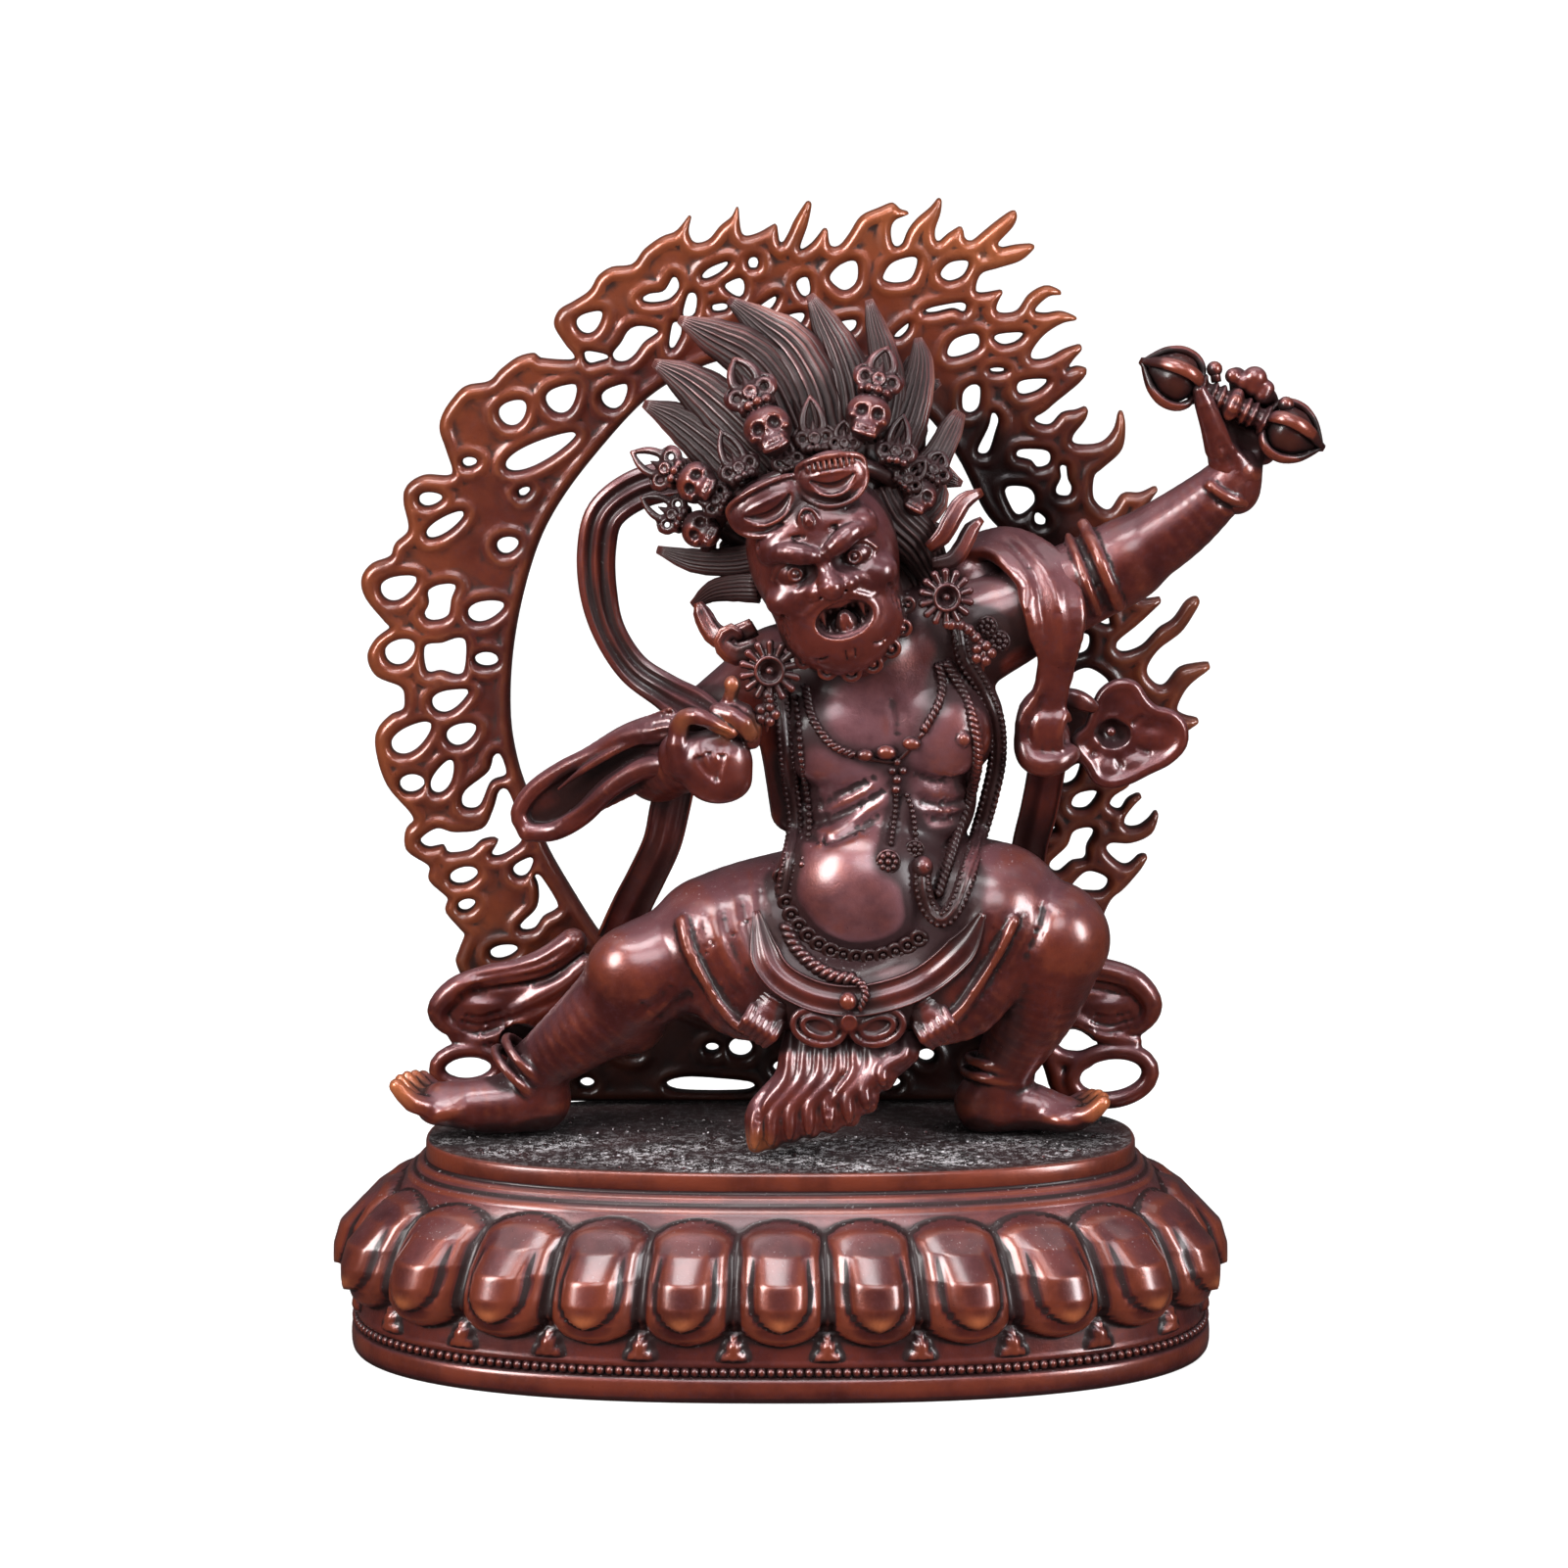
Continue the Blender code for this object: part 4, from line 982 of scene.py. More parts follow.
OPENING = (
    (797, 363), (850, 369), (900, 388), (945, 424), (979, 470), (1006, 524), (1035, 559), (1058, 620),
    (1070, 700), (1066, 780), (1048, 850), (1018, 925), (975, 985), (920, 1027), (860, 1046), (797, 1050),
    (735, 1043), (680, 1020), (642, 988), (614, 958), (586, 915), (557, 864), (539, 813), (528, 779),
    (521, 736), (522, 680), (531, 621), (548, 561), (569, 518), (603, 471), (655, 413), (700, 383),
    (745, 367),
)

# Drops: middle, length, width, turn in degrees and how much narrower the upper end is
DROPS = (
    (524, 422, 31, 24, 38, 0.3), (575, 407, 36, 25, 40, 0.5), (629, 405, 31, 20, 42, 0.5),
    (552, 462, 80, 21, 26, 0.3), (479, 473, 16, 10, 8, 0.2), (439, 511, 25, 14, 8, 0.3),
    (454, 537, 46, 15, 33, 0.2), (535, 503, 14, 8, 32, 0.3), (518, 558, 23, 17, 20, 0.2),
    (407, 601, 40, 23, 25, 0.4), (496, 625, 39, 20, 18, 0.3), (408, 667, 33, 25, 32, 0.2),
    (496, 675, 25, 15, 0, 0.0), (460, 716, 41, 20, 24, 0.5), (420, 755, 48, 24, 36, 0.3),
    (471, 751, 33, 21, 28, 0.3), (420, 802, 26, 19, 10, 0.1), (452, 795, 39, 18, 62, 0.3),
    (473, 896, 30, 17, 18, 0.1), (476, 926, 19, 12, 22, 0.2), (535, 887, 26, 14, 45, 0.5),
    (514, 974, 30, 14, 14, 0.2), (603, 329, 30, 19, 36, 0.5), (756, 1072, 24, 20, 0, 0.0),
    (599, 1108, 15, 11, 0, 0.0), (946, 1080, 17, 14, 0, 0.0), (911, 1108, 18, 12, 0, 0.0),
    (727, 1072, 14, 10, 0, 0.0), (1000, 1085, 26, 14, 0, 0.0), (855, 1085, 26, 16, 0, 0.0),
    (800, 1092, 22, 14, 0, 0.0), (1019, 379, 17, 5, 0, 0.0), (640, 1072, 30, 14, -20, 0.0),
    (845, 1110, 16, 9, 0, 0.0),
)

HOLES = (
    ((436, 606), (447, 599), (464, 599), (460, 613), (456, 631), (440, 636), (432, 630), (437, 619)),
    ((433, 662), (451, 658), (467, 653), (475, 658), (471, 690), (449, 687), (435, 688)),
    ((472, 826), (474, 810), (498, 790), (503, 775), (510, 772), (516, 793), (500, 801), (488, 826)),
    (
        (428, 860), (445, 848), (464, 852), (492, 848), (503, 829), (509, 810), (517, 808), (525, 826),
        (525, 840), (531, 855), (530, 864), (512, 876), (501, 875), (508, 860), (492, 860), (478, 871),
        (457, 874), (452, 866), (436, 868),
    ),
    (
        (530, 950), (533, 944), (548, 928), (549, 908), (545, 897), (551, 896), (569, 925), (565, 933),
        (554, 939), (545, 951), (534, 953),
    ),
    (
        (564, 992), (568, 984), (582, 978), (593, 971), (597, 976), (596, 992), (589, 997), (582, 989),
        (573, 995),
    ),
    ((597, 360), (618, 363), (621, 367), (612, 370), (600, 372)),
    ((655, 306), (663, 301), (678, 298), (688, 283), (693, 294), (684, 306), (669, 310), (657, 309)),
    (
        (625, 363), (634, 351), (642, 338), (654, 334), (672, 339), (657, 351), (648, 363), (639, 370),
        (629, 370),
    ),
    ((703, 301), (711, 303), (709, 321), (702, 325), (697, 323)),
    ((687, 331), (694, 331), (695, 342), (687, 357), (683, 354)),
    ((717, 282), (726, 274), (744, 268), (735, 279), (720, 286)),
    ((765, 265), (773, 264), (773, 274), (765, 274)),
    ((741, 291), (756, 285), (760, 294), (757, 304), (750, 303), (741, 296)),
    ((727, 313), (741, 311), (742, 317), (729, 319)), ((813, 290), (824, 284), (827, 300), (820, 304)),
    ((776, 314), (793, 303), (788, 315), (779, 319)), ((805, 323), (821, 321), (817, 332), (805, 329)),
    ((848, 282), (859, 271), (874, 268), (875, 288), (863, 298), (850, 290)),
    ((856, 331), (874, 328), (872, 338), (863, 340)),
    ((902, 283), (912, 269), (936, 264), (931, 285), (917, 290), (904, 288)),
    ((913, 344), (928, 331), (926, 339), (918, 346)),
    ((961, 279), (971, 269), (989, 268), (984, 282), (971, 288), (963, 285)),
    ((944, 320), (952, 315), (984, 310), (985, 320), (974, 316), (955, 320)),
    ((968, 359), (976, 347), (997, 342), (1000, 355), (987, 363), (971, 366)),
    ((1015, 346), (1022, 342), (1045, 341), (1038, 350), (1024, 353)),
    ((1039, 394), (1048, 389), (1070, 389), (1060, 400), (1043, 404)),
    ((984, 402), (993, 394), (1001, 397), (1000, 416), (992, 423), (984, 419)),
    ((1014, 422), (1020, 430), (1017, 442), (1010, 463), (1002, 465), (999, 460), (1010, 437)),
    ((1038, 464), (1044, 460), (1070, 462), (1072, 475), (1060, 479), (1054, 472), (1039, 468)),
    (
        (1083, 477), (1089, 477), (1091, 491), (1095, 500), (1092, 508), (1081, 507), (1079, 500),
        (1084, 489),
    ),
    ((1028, 499), (1051, 500), (1057, 515), (1041, 528), (1031, 515)),
    ((1058, 524), (1068, 531), (1067, 538), (1058, 536)),
    ((1109, 630), (1125, 620), (1134, 640), (1120, 636)),
    ((1086, 654), (1111, 649), (1110, 667), (1088, 670)),
    ((1086, 703), (1095, 690), (1113, 684), (1133, 699), (1124, 716), (1118, 722), (1087, 709)),
    ((1086, 792), (1103, 781), (1098, 798), (1086, 803)),
    ((1095, 820), (1102, 812), (1119, 809), (1120, 815), (1110, 827), (1097, 827)),
    ((1063, 850), (1071, 840), (1078, 850)),
    (
        (1072, 884), (1090, 866), (1097, 851), (1113, 847), (1117, 853), (1110, 866), (1108, 879),
        (1095, 882), (1080, 893),
    ),
    ((1092, 911), (1110, 892), (1131, 899), (1126, 912), (1103, 912)),
    ((680, 1108), (700, 1102), (740, 1104), (768, 1108), (766, 1116), (730, 1118), (690, 1116)),
)


def drop_loop(px, py, length, width, turn, taper):
    """A round-ended drop in pixels; its narrower end points along the turn."""
    a = 2 * np.pi * np.arange(14) / 14
    u = np.cos(a) * length / 2
    v = np.sin(a) * width / 2 * (1 - taper * np.cos(a)) + taper * 0.12 * width * np.cos(a) ** 2
    c, s = math.cos(math.radians(turn)), math.sin(math.radians(turn))
    return np.column_stack([px + u * c - v * s, py - (u * s + v * c)])


def flat_distance(loops, low, high, step, reach=3.2):
    """Distance to closed lines on a flat grid, below zero inside an odd number of them."""
    nx = int(math.ceil((high[0] - low[0]) / step)) + 1
    nz = int(math.ceil((high[1] - low[1]) / step)) + 1
    xs = low[0] + step * np.arange(nx)
    zs = low[1] + step * np.arange(nz)
    d = np.full((nx, nz), reach, np.float32)
    flips = np.zeros((nx + 1, nz), np.int32)
    for loop in loops:
        for a, b in zip(loop, np.roll(loop, -1, 0)):
            x0 = max(int((min(a[0], b[0]) - reach - low[0]) / step), 0)
            x1 = min(int((max(a[0], b[0]) + reach - low[0]) / step) + 2, nx)
            z0 = max(int((min(a[1], b[1]) - reach - low[1]) / step), 0)
            z1 = min(int((max(a[1], b[1]) + reach - low[1]) / step) + 2, nz)
            if x1 > x0 and z1 > z0:
                u = xs[x0:x1, None] - a[0]
                w = zs[None, z0:z1] - a[1]
                e = b - a
                t = np.clip((u * e[0] + w * e[1]) / max(float(e @ e), 1e-12), 0, 1)
                r = np.sqrt((u - t * e[0]) ** 2 + (w - t * e[1]) ** 2)
                d[x0:x1, z0:z1] = np.minimum(d[x0:x1, z0:z1], r)
            if a[1] != b[1]:
                first, second = (a, b) if a[1] < b[1] else (b, a)
                k = np.where((zs >= first[1]) & (zs < second[1]))[0]
                if len(k):
                    x = first[0] + (second[0] - first[0]) * (zs[k] - first[1]) / (second[1] - first[1])
                    i = np.clip(np.ceil((x - low[0]) / step).astype(int), 0, nx)
                    np.add.at(flips, (i, k), 1)
    odd = np.cumsum(flips[:nx], axis=0) % 2 == 1
    return np.where(odd, -d, d), xs, zs


def on_aureole(pixels):
    """Pixels as points (across, up) of the aureole's front."""
    p = spots(pixels, AUREOLE_FRONT)
    return p[:, [0, 2]]


def flame_aureole(material):
    loops = [smooth_line(on_aureole(OUTLINE), 0.5, closed=True)]
    loops[0][:, 1] = np.maximum(loops[0][:, 1], 0.05)
    loops.append(smooth_line(on_aureole(OPENING), 0.8, closed=True))
    for hole in HOLES:
        loops.append(smooth_line(on_aureole(hole), 0.4, closed=True))
    for drop in DROPS:
        loops.append(smooth_line(on_aureole(drop_loop(*drop)), 0.4, closed=True))
    field = Field((-61.5, AUREOLE_FRONT - 1.0, -1.0), (64.5, AUREOLE_BACK + 1.0, 130.5), AUREOLE_CELL)
    low = field.low[[0, 2]]
    high = low + field.step * (field.size[[0, 2]] - 1)
    d2, xs, zs = flat_distance(loops, low, high, field.step)
    d2 = d2[: field.size[0], : field.size[2]]
    # A raised lip runs along every edge; the flat inside it lies a little lower and is gently hammered
    inner = -d2
    lip = 0.7 * np.exp(-(((inner - 1.15) / 0.62) ** 2))
    plain = np.clip((inner - 1.3) / 0.8, 0, 1)
    wave = (
        0.10 * np.sin(xs[:, None] * 0.9 + 1.3 * np.sin(zs[None] * 0.5))
        * np.sin(zs[None] * 0.8 + xs[:, None] * 0.2)
    )
    front = HALF_FRONT + 0.30 * lip + (wave - 0.18) * plain
    middle = (AUREOLE_FRONT + AUREOLE_BACK) / 2
    y = (field.low[1] + field.step * np.arange(field.size[1])).astype(np.float32)
    a = (d2 + ROUND_EDGE)[:, None, :]
    y = y[None, :, None]
    rise = np.where(y < middle, (middle - y) - front[:, None, :], (y - middle) - HALF_BACK)
    b = rise + ROUND_EDGE
    outside = np.sqrt(np.maximum(a, 0) ** 2 + np.maximum(b, 0) ** 2)
    field.d = (outside + np.minimum(np.maximum(a, b), 0) - ROUND_EDGE).astype(np.float32)
    points, faces = field.skin()
    points, faces = thinned(points, faces, MOST_TRIANGLES["flame_aureole_body"])
    obj = add_piece(
        "flame_aureole_body", points, faces, material, "flame_copper", node="flame_aureole", fine=2,
        broad=12,
    )
    x, z = points[:, 0], points[:, 2]
    centre = np.array((0.0, 65.0))
    reach = np.hypot(x - centre[0], z - centre[1])
    outer = np.clip((reach - 55.0) / 7.0, 0, 1) * np.clip((x + z - 78.0) / 30.0, 0, 1)
    set_values(obj, "tip", outer**2 * 0.55)
    # Painted warm light on the outer ring, stronger towards the upper left
    painted_warm_light = np.clip((reach - 44.0) / 14.0, 0, 1) * np.clip(0.75 - 0.006 * (x + 30) + 0.004 * (z - 60), 0, 1)
    set_values(obj, "painted_warm_light", painted_warm_light)
    # Painted shade: darker at the bottom, round the opening, towards the right and in waves over the plate
    low = np.clip((30.0 - z) / 15.0, 0, 1)
    near = np.clip((50.0 - reach) / 9.0, 0, 1) * np.clip((x + 10.0) / 30.0, 0.25, 1)
    worked = np.sin(x * 0.55 + 2.1 * np.sin(z * 0.31)) * np.sin(z * 0.47 + 1.7 * np.sin(x * 0.23))
    right = np.clip((x - 5.0) / 40.0, 0, 1) * np.clip((110.0 - z) / 30.0, 0, 1)
    dark = 0.90 * low + 0.80 * near + 0.30 * right + 0.34 * np.clip(worked, 0, 1)
    set_values(obj, "painted_shade", np.clip(dark, 0, 0.94))
    return obj


def near_points(points, places, reach):
    """How near each point is to any of the places: one at the place, none beyond reach."""
    out = np.zeros(len(points))
    for place in places:
        r = np.linalg.norm(points - np.asarray(place, float), axis=1)
        out = np.maximum(out, np.clip(1.25 - r / reach, 0, 1))
    return out


# The figure, in millimetres above the base's top

TOES_RIGHT = [
    (-53.0, -6.4, 8.2), (-52.6, -4.2, 8.6), (-51.8, -2.4, 8.6), (-50.8, -0.8, 8.4), (-49.8, 0.6, 8.0)
]
TOES_LEFT = [(44.6, -5.4, 5.6), (44.8, -3.4, 5.9), (44.2, -1.7, 5.9), (43.4, -0.2, 5.6), (42.4, 1.1, 5.2)]


def shape_legs(f):
    """A lunge: one leg stretched to the left, the other bent."""
    f.limb([(4, 2, 28), (-9, -3, 27.2), (-19.0, -5, 23.8)], [9.2, 8.2, 6.9], blend=2)
    f.limb([(-18.5, -5, 23.8), (-25.5, -3.4, 16.8), (-34.0, -1, 9.6)], [6.9, 5.7, 3.9], blend=2)
    f.ball((-21.5, -1.2, 17.2), (6.0, 5.2, 5.0), turn=45, blend=2.5)
    f.ball((-21.8, -7.6, 25.2), (4.2, 3.4, 4.0), turn=40, blend=3)
    f.limb([(-34, -0.6, 8.6), (-33.6, 0.8, 4.6)], [4.0, 4.0], blend=1.5)
    f.limb([(-34, 0, 4.8), (-41, -2.2, 4.4), (-47.0, -3.0, 5.0)], [4.5, 3.9, 2.9], blend=1.5)
    f.ball((-46.5, -2.8, 4.4), (3.8, 4.6, 2.1), turn=-12, blend=1.5)
    for k, (x, y, z) in enumerate(TOES_RIGHT):
        thick = 1.35 if k == 0 else 1.0
        f.limb(
            [(x + 5.5, y * 0.8, 4.6), (x + 2.2, y, 5.8), (x, y, z)], [thick * 1.1, thick, thick * 0.8],
            blend=0.5,
        )
    f.ring((-35.2, -1.1, 10.6), (-0.72, 0.05, -0.7), 4.15, 0.7, blend=0.6)
    f.ring((-36.6, -1.1, 9.0), (-0.72, 0.05, -0.7), 4.25, 0.7, blend=0.6)

    f.limb([(16, 2, 29), (28, -3, 30.6), (37, -6, 29.4)], [9.6, 9.2, 7.6], blend=2)
    f.limb(
        [(37.4, -6, 28.2), (35.4, -3.6, 19.6), (31.4, -0.6, 10.2), (29.7, 0.4, 6)], [7.4, 6.0, 4.2, 4.0],
        blend=2,
    )
    f.ball((33.6, -0.6, 19.5), (4.6, 5.0, 7.0), turn=-14, blend=2.5)
    f.ball((39.0, -8.8, 29.8), (4.6, 3.8, 4.4), turn=20, blend=3)
    f.limb([(28.4, 1, 3.9), (34, -0.4, 3.9), (39.5, -2.0, 3.2)], [4.2, 3.5, 2.4], blend=1.5)
    f.ball((39.5, -2.2, 2.8), (3.8, 4.2, 1.9), turn=6, blend=1.4)
    for k, (x, y, z) in enumerate(TOES_LEFT):
        thick = 1.3 if k == 0 else 0.95
        f.limb(
            [(x - 5.0, y * 0.8, 3.2), (x - 2.0, y, 3.8), (x, y, z)], [thick * 1.1, thick, thick * 0.8],
            blend=0.5,
        )
    f.ring((30.4, 0.0, 10.0), (0.16, 0.05, 1), 4.3, 0.65, blend=0.6)
    f.ring((29.9, 0.3, 8.2), (0.12, 0.05, 1), 4.4, 0.65, blend=0.6)


def shape_torso(f):
    f.ball((10, 1, 29.5), (15, 10, 10), blend=2.5)
    f.ball((14.6, -0.8, 48.0), (12.4, 8.8, 11), blend=2.5)
    f.ball((14.0, -0.6, 58.5), (16.6, 9.4, 11), blend=2.5)
    f.limb([(0.5, -1.5, 64), (0.2, -2.2, 55), (1.6, -1.6, 46)], [3.4, 2.8, 3.0], blend=2.5)
    f.ball((14, -0.4, 65.0), (16.4, 8.2, 8.4), turn=-14, blend=2.5)
    f.limb([(0, 1.5, 64), (14, 0.5, 69), (28.5, 1, 71.8)], [6.6, 7.4, 6.8], blend=2.5)
    f.limb([(12.6, -2.0, 66), (10, -4.5, 74)], [7.2, 6.6], blend=2)
    f.ball((11.6, -4.2, 36.2), (12.6, 10.6, 10.9), blend=1.6)
    f.ball((21.8, -6.6, 57.6), (6.9, 4.4, 6.6), turn=-20, blend=1.5)
    f.ball((6.6, -6.2, 56.8), (7.2, 4.4, 6.4), turn=16, blend=1.5)
    f.ball((24.9, -10.6, 57.6), (0.95, 0.9, 0.95), blend=0.4)


def shape_arms(f):
    """The right arm bent before the chest and the left arm flung up."""
    f.limb([(0, 2, 64.5), (-8, 3.6, 58), (-14.5, 2.4, 53.4), (-17, 0, 51.8)], [6.4, 5.8, 5.2, 4.6], blend=2)
    f.limb([(-16.5, 0.5, 52.2), (-14.4, -5.4, 53.2), (-10.5, -10.4, 54.4)], [4.9, 4.3, 3.5], blend=1.5)
    f.limb([(28, 1, 71.2), (38, 0.5, 75.8), (47, 0, 80.4)], [6.9, 6.2, 5.7], blend=2)
    f.limb([(45.5, 0, 79.6), (54, -1, 85.4), (60.6, -2, 91.2)], [5.4, 4.7, 3.5], blend=1.2)
    f.limb([(60.4, -2, 90.8), (62.2, -2.2, 93.2)], [3.5, 3.2], blend=0.8)


def shape_skirt(f):
    """The pelt round the hips: thick cloth with rolled edges, drawn in folds towards the bow."""
    f.limb([(8, 1, 30), (-3, -1.5, 28.6), (-8.6, -3.2, 27.4)], [11.2, 10.4, 9.9], blend=0.8)
    f.limb([(14, 1, 30.5), (24, -2.6, 31.6), (29.0, -4.0, 31.4)], [11.2, 11.0, 10.6], blend=0.8)
    f.limb([(-9, -7.5, 26), (-6.0, -9.4, 21), (-2.6, -11.4, 18.6)], [6.6, 5.0, 3.0], blend=1.5, flat=0.75)
    f.limb([(28, -9.0, 26.5), (25.5, -10.6, 21), (22, -11.6, 18.2)], [6.6, 4.8, 3.0], blend=1.5, flat=0.75)
    f.limb([(-3, -8.6, 25), (10, -10.6, 21.4), (23, -8.6, 25.4)], [6.5, 5.6, 6.5], blend=1.5, flat=0.75)


SKIRT_ROLLS = (
    ((697, 941), (703, 966), (717, 997), (733, 1024), (752, 1044), (768, 1052)),
    ((1036, 941), (1018, 975), (1000, 1004), (985, 1026), (972, 1040)),
)

SKIRT_FOLDS = (
    ((715, 930), (724, 965), (742, 1000), (762, 1024)),
    ((738, 918), (742, 950), (757, 985), (775, 1010)),
    ((758, 905), (762, 940), (775, 975), (789, 996)),
    ((776, 893), (777, 925), (786, 958), (800, 985)),
    ((1015, 930), (1000, 960), (983, 985), (965, 1003)),
    ((998, 912), (985, 945), (968, 968), (950, 985)),
    ((1050, 920), (1040, 950), (1022, 985), (1004, 1015)),
    ((1066, 915), (1062, 945), (1048, 975)),
    ((700, 985), (722, 1018), (745, 1040)),
)

CREASES = (
    ((810, 800), (815, 818), (835, 822), (856, 813), (892, 795)),
    ((812, 834), (832, 840), (854, 833), (886, 817), (908, 803)),
    ((815, 848), (843, 858), (876, 847), (903, 828)),
    ((926, 786), (947, 795), (969, 798), (990, 789), (1002, 776)),
    ((930, 812), (958, 822), (993, 815)),
    ((940, 832), (963, 837), (990, 831)),
    ((917, 800), (916, 830), (906, 866)),
)


def figure_body(material):
    f = Field((-56.5, -20.0, 0.0), (67.0, 14.0, 97.5), 0.40)
    shape_torso(f)
    shape_legs(f)
    shape_skirt(f)
    shape_arms(f)
    for crease in CREASES:
        f.trace(f.meet(crease), 0.75, 0.85)
    f.trace(f.meet(((842, 816), (868, 812), (890, 805))), 0.9, -0.30)
    f.trace(f.meet(((907, 705), (914, 730), (917, 760))), 0.9, 0.3)
    for roll in SKIRT_ROLLS:
        line = f.meet(dense(roll))
        f.limb(line, np.full(len(line), 0.95), blend=0.45, spacing=0.8)
        inward = f.meet([(p[0] + (9 if roll[0][0] < 800 else -9), p[1] - 3) for p in roll])
        f.trace(inward, 0.8, 0.55)
    for fold in SKIRT_FOLDS:
        f.trace(f.meet(fold), 0.9, 0.36)
    # Armband of the raised arm, with the sleeve-like step beyond it, and the bracelet
    band = f.meet(dense(((1106, 536), (1118, 560), (1130, 590), (1142, 618))))
    f.limb(band, np.full(len(band), 0.95), blend=0.35, spacing=0.8)
    f.trace(f.meet(((1098, 546), (1108, 568), (1120, 598), (1131, 622))), 0.7, 0.5)
    band = f.meet(dense(((1091, 548), (1101, 572), (1112, 602), (1121, 626))))
    f.limb(band, np.full(len(band), 0.6), blend=0.3, spacing=0.8)
    band = f.meet(dense(((1236, 496), (1250, 507), (1270, 513))))
    f.limb(band, np.full(len(band), 0.8), blend=0.3, spacing=0.8)
    f.trace(f.meet(((1232, 501), (1246, 513), (1268, 521))), 0.6, 0.4)
    # Elbow folds and the muscles of the raised arm
    f.trace(f.meet(((1060, 560), (1066, 590), (1062, 620))), 0.9, 0.5)
    # Knee folds on the stretched leg and the calf's line
    f.trace(f.meet(((690, 1000), (672, 1022), (652, 1030))), 1.0, 0.45)
    f.trace(f.meet(((716, 1008), (690, 1024), (668, 1046))), 0.9, 0.5)
    points, faces = surface(f, "figure_body")
    obj = add_piece("figure_body", points, faces, material, "figure_copper", node="vajrapani_figure")
    toes = near_points(points, TOES_RIGHT[:3], 3.4) + near_points(points, TOES_LEFT[:3], 3.0)
    set_values(obj, "tip", np.clip(toes, 0, 1) * 0.8)
    x, y, z = points.T
    # Painted sheen across the front of the chest
    chest = np.clip(1.3 - ((x - 13.5) / 12.0) ** 2, 0, 1) * np.clip((-y - 2.0) / 3.0, 0, 1)
    set_values(obj, "pale", chest * np.clip((z - 24.0) / 6.0, 0, 1) * np.clip((68.0 - z) / 6.0, 0, 1))
    return f


# Skirt trimmings, bow, hanging panel

# Pleats of the panel: pixel column at the top, column and row at the foot
PLEATS = (
    (808, 770, 1171), (823, 787, 1167), (839, 806, 1161), (856, 826, 1156),
    (872, 847, 1151), (888, 867, 1144), (904, 885, 1130), (922, 902, 1106),
)
PLEATS_TOP = 1056

# The way down a pleat: share of its length, sideways shift in pixels and depth in millimetres
PLEAT_COURSE = (
    (0.0, 0, -11.6), (0.18, 5, -12.8), (0.42, 9, -13.6), (0.7, -7, -14.4), (0.9, -3, -15.0), (1.0, 0, -15.3)
)


def hanging_front(material):
    """The bow, the panel that hangs from it to the base, and the two clawed paws of the pelt."""
    f = Field((-6.5, -20.5, 0.0), (27.0, -6.0, 26.0), 0.24)
    for start, end, low in PLEATS:
        line = []
        for t, shift, depth in PLEAT_COURSE:
            line.append((start + (end - start) * t + shift, PLEATS_TOP + (low - PLEATS_TOP) * t, depth))
        f.limb(
            spots([(p[0] + 2, p[1] - 2, p[2] + 1.3) for p in line], 0), [1.2, 1.7, 1.9, 1.9, 1.6, 1.2],
            blend=1.2, spacing=0.8, flat=0.8,
        )
        f.limb(spots(line, 0), [0.5, 0.75, 0.9, 0.95, 0.8, 0.45], blend=0.35, spacing=0.7)
    f.trace(f.meet(((795, 1085), (778, 1120), (772, 1150))), 0.5, 0.45, spacing=0.7)
    f.trace(f.meet(((868, 1090), (850, 1115), (846, 1138))), 0.4, 0.5, spacing=0.7)
    # Bow: two loops of ribbon, each with a raised edge, and the knot
    for side in (-1, 1):
        centre = np.array(spot(866 + 30 * side, 1048, -14.6))
        for k, (wide, high, thick) in enumerate(((3.5, 2.5, 0.55), (2.2, 1.35, 0.5))):
            a = 2 * np.pi * np.arange(19) / 18
            loop = (
                centre
                + np.column_stack(
                    [
                        wide * np.cos(a), -0.3 * np.cos(a) * side - 0.2 * k,
                        high * np.sin(a) + 0.5 * np.cos(a) * side,
                    ]
                )
            )
            f.limb(loop, np.full(len(loop), thick), blend=0.3, spacing=0.8)
        f.ball(centre + np.array((0, 0.7, 0)), (3.2, 0.9, 2.3), blend=0.4)
    knot = np.array(spot(867, 1042, -14.8))
    f.ball(knot, (1.7, 1.1, 1.7), blend=0.5)
    f.ring(knot + np.array((0, -0.9, 0)), (0, 1, 0.1), 0.9, 0.28, blend=0.2)
    # Paws: a rounded cuff and five knuckled toes curling under
    for px, py, way in ((782, 1036, -1), (950, 1038, 1)):
        centre = np.array(spot(px, py, -12.2))
        f.ball(centre, (3.4, 2.4, 2.7), turn=34 * way, blend=0.8)
        across = unit(np.array((-0.84 * way, 0.0, -0.54)))
        down = unit(np.array((0.54 * way, 0.0, -0.84)))
        for k in range(5):
            t = (k - 2) * 1.12
            root = centre + across * t - down * 0.3 + np.array((0, -1.5, 0))
            tip = centre + across * t * 0.9 + down * 3.5 + np.array((0, -0.9, 0))
            f.limb(
                [root, (root + tip) / 2 + np.array((0, -1.2, 0)), tip], [0.62, 0.72, 0.5], blend=0.22,
                spacing=0.6,
            )
            f.ball((root + tip) / 2 + np.array((0, -1.3, 0)), 0.75, blend=0.15)
        for k in range(3):
            offset = -down * (1.2 + 0.75 * k)
            f.limb(
                [
                    centre + across * 2.9 + offset + (0, -0.4, 0), centre + offset + (0, -1.7, 0),
                    centre - across * 2.9 + offset + (0, -0.4, 0),
                ],
                [0.35, 0.42, 0.35], blend=0.2, spacing=0.6,
            )
    points, faces = surface(f, "hanging_front")
    obj = add_piece("hanging_front", points, faces, material, "figure_copper", fine=2, broad=10)
    set_values(obj, "tip", near_points(points, [spot(770, 1176, -15.5)], 3.0) * 0.6)
    return obj


# Hands and thunderbolt


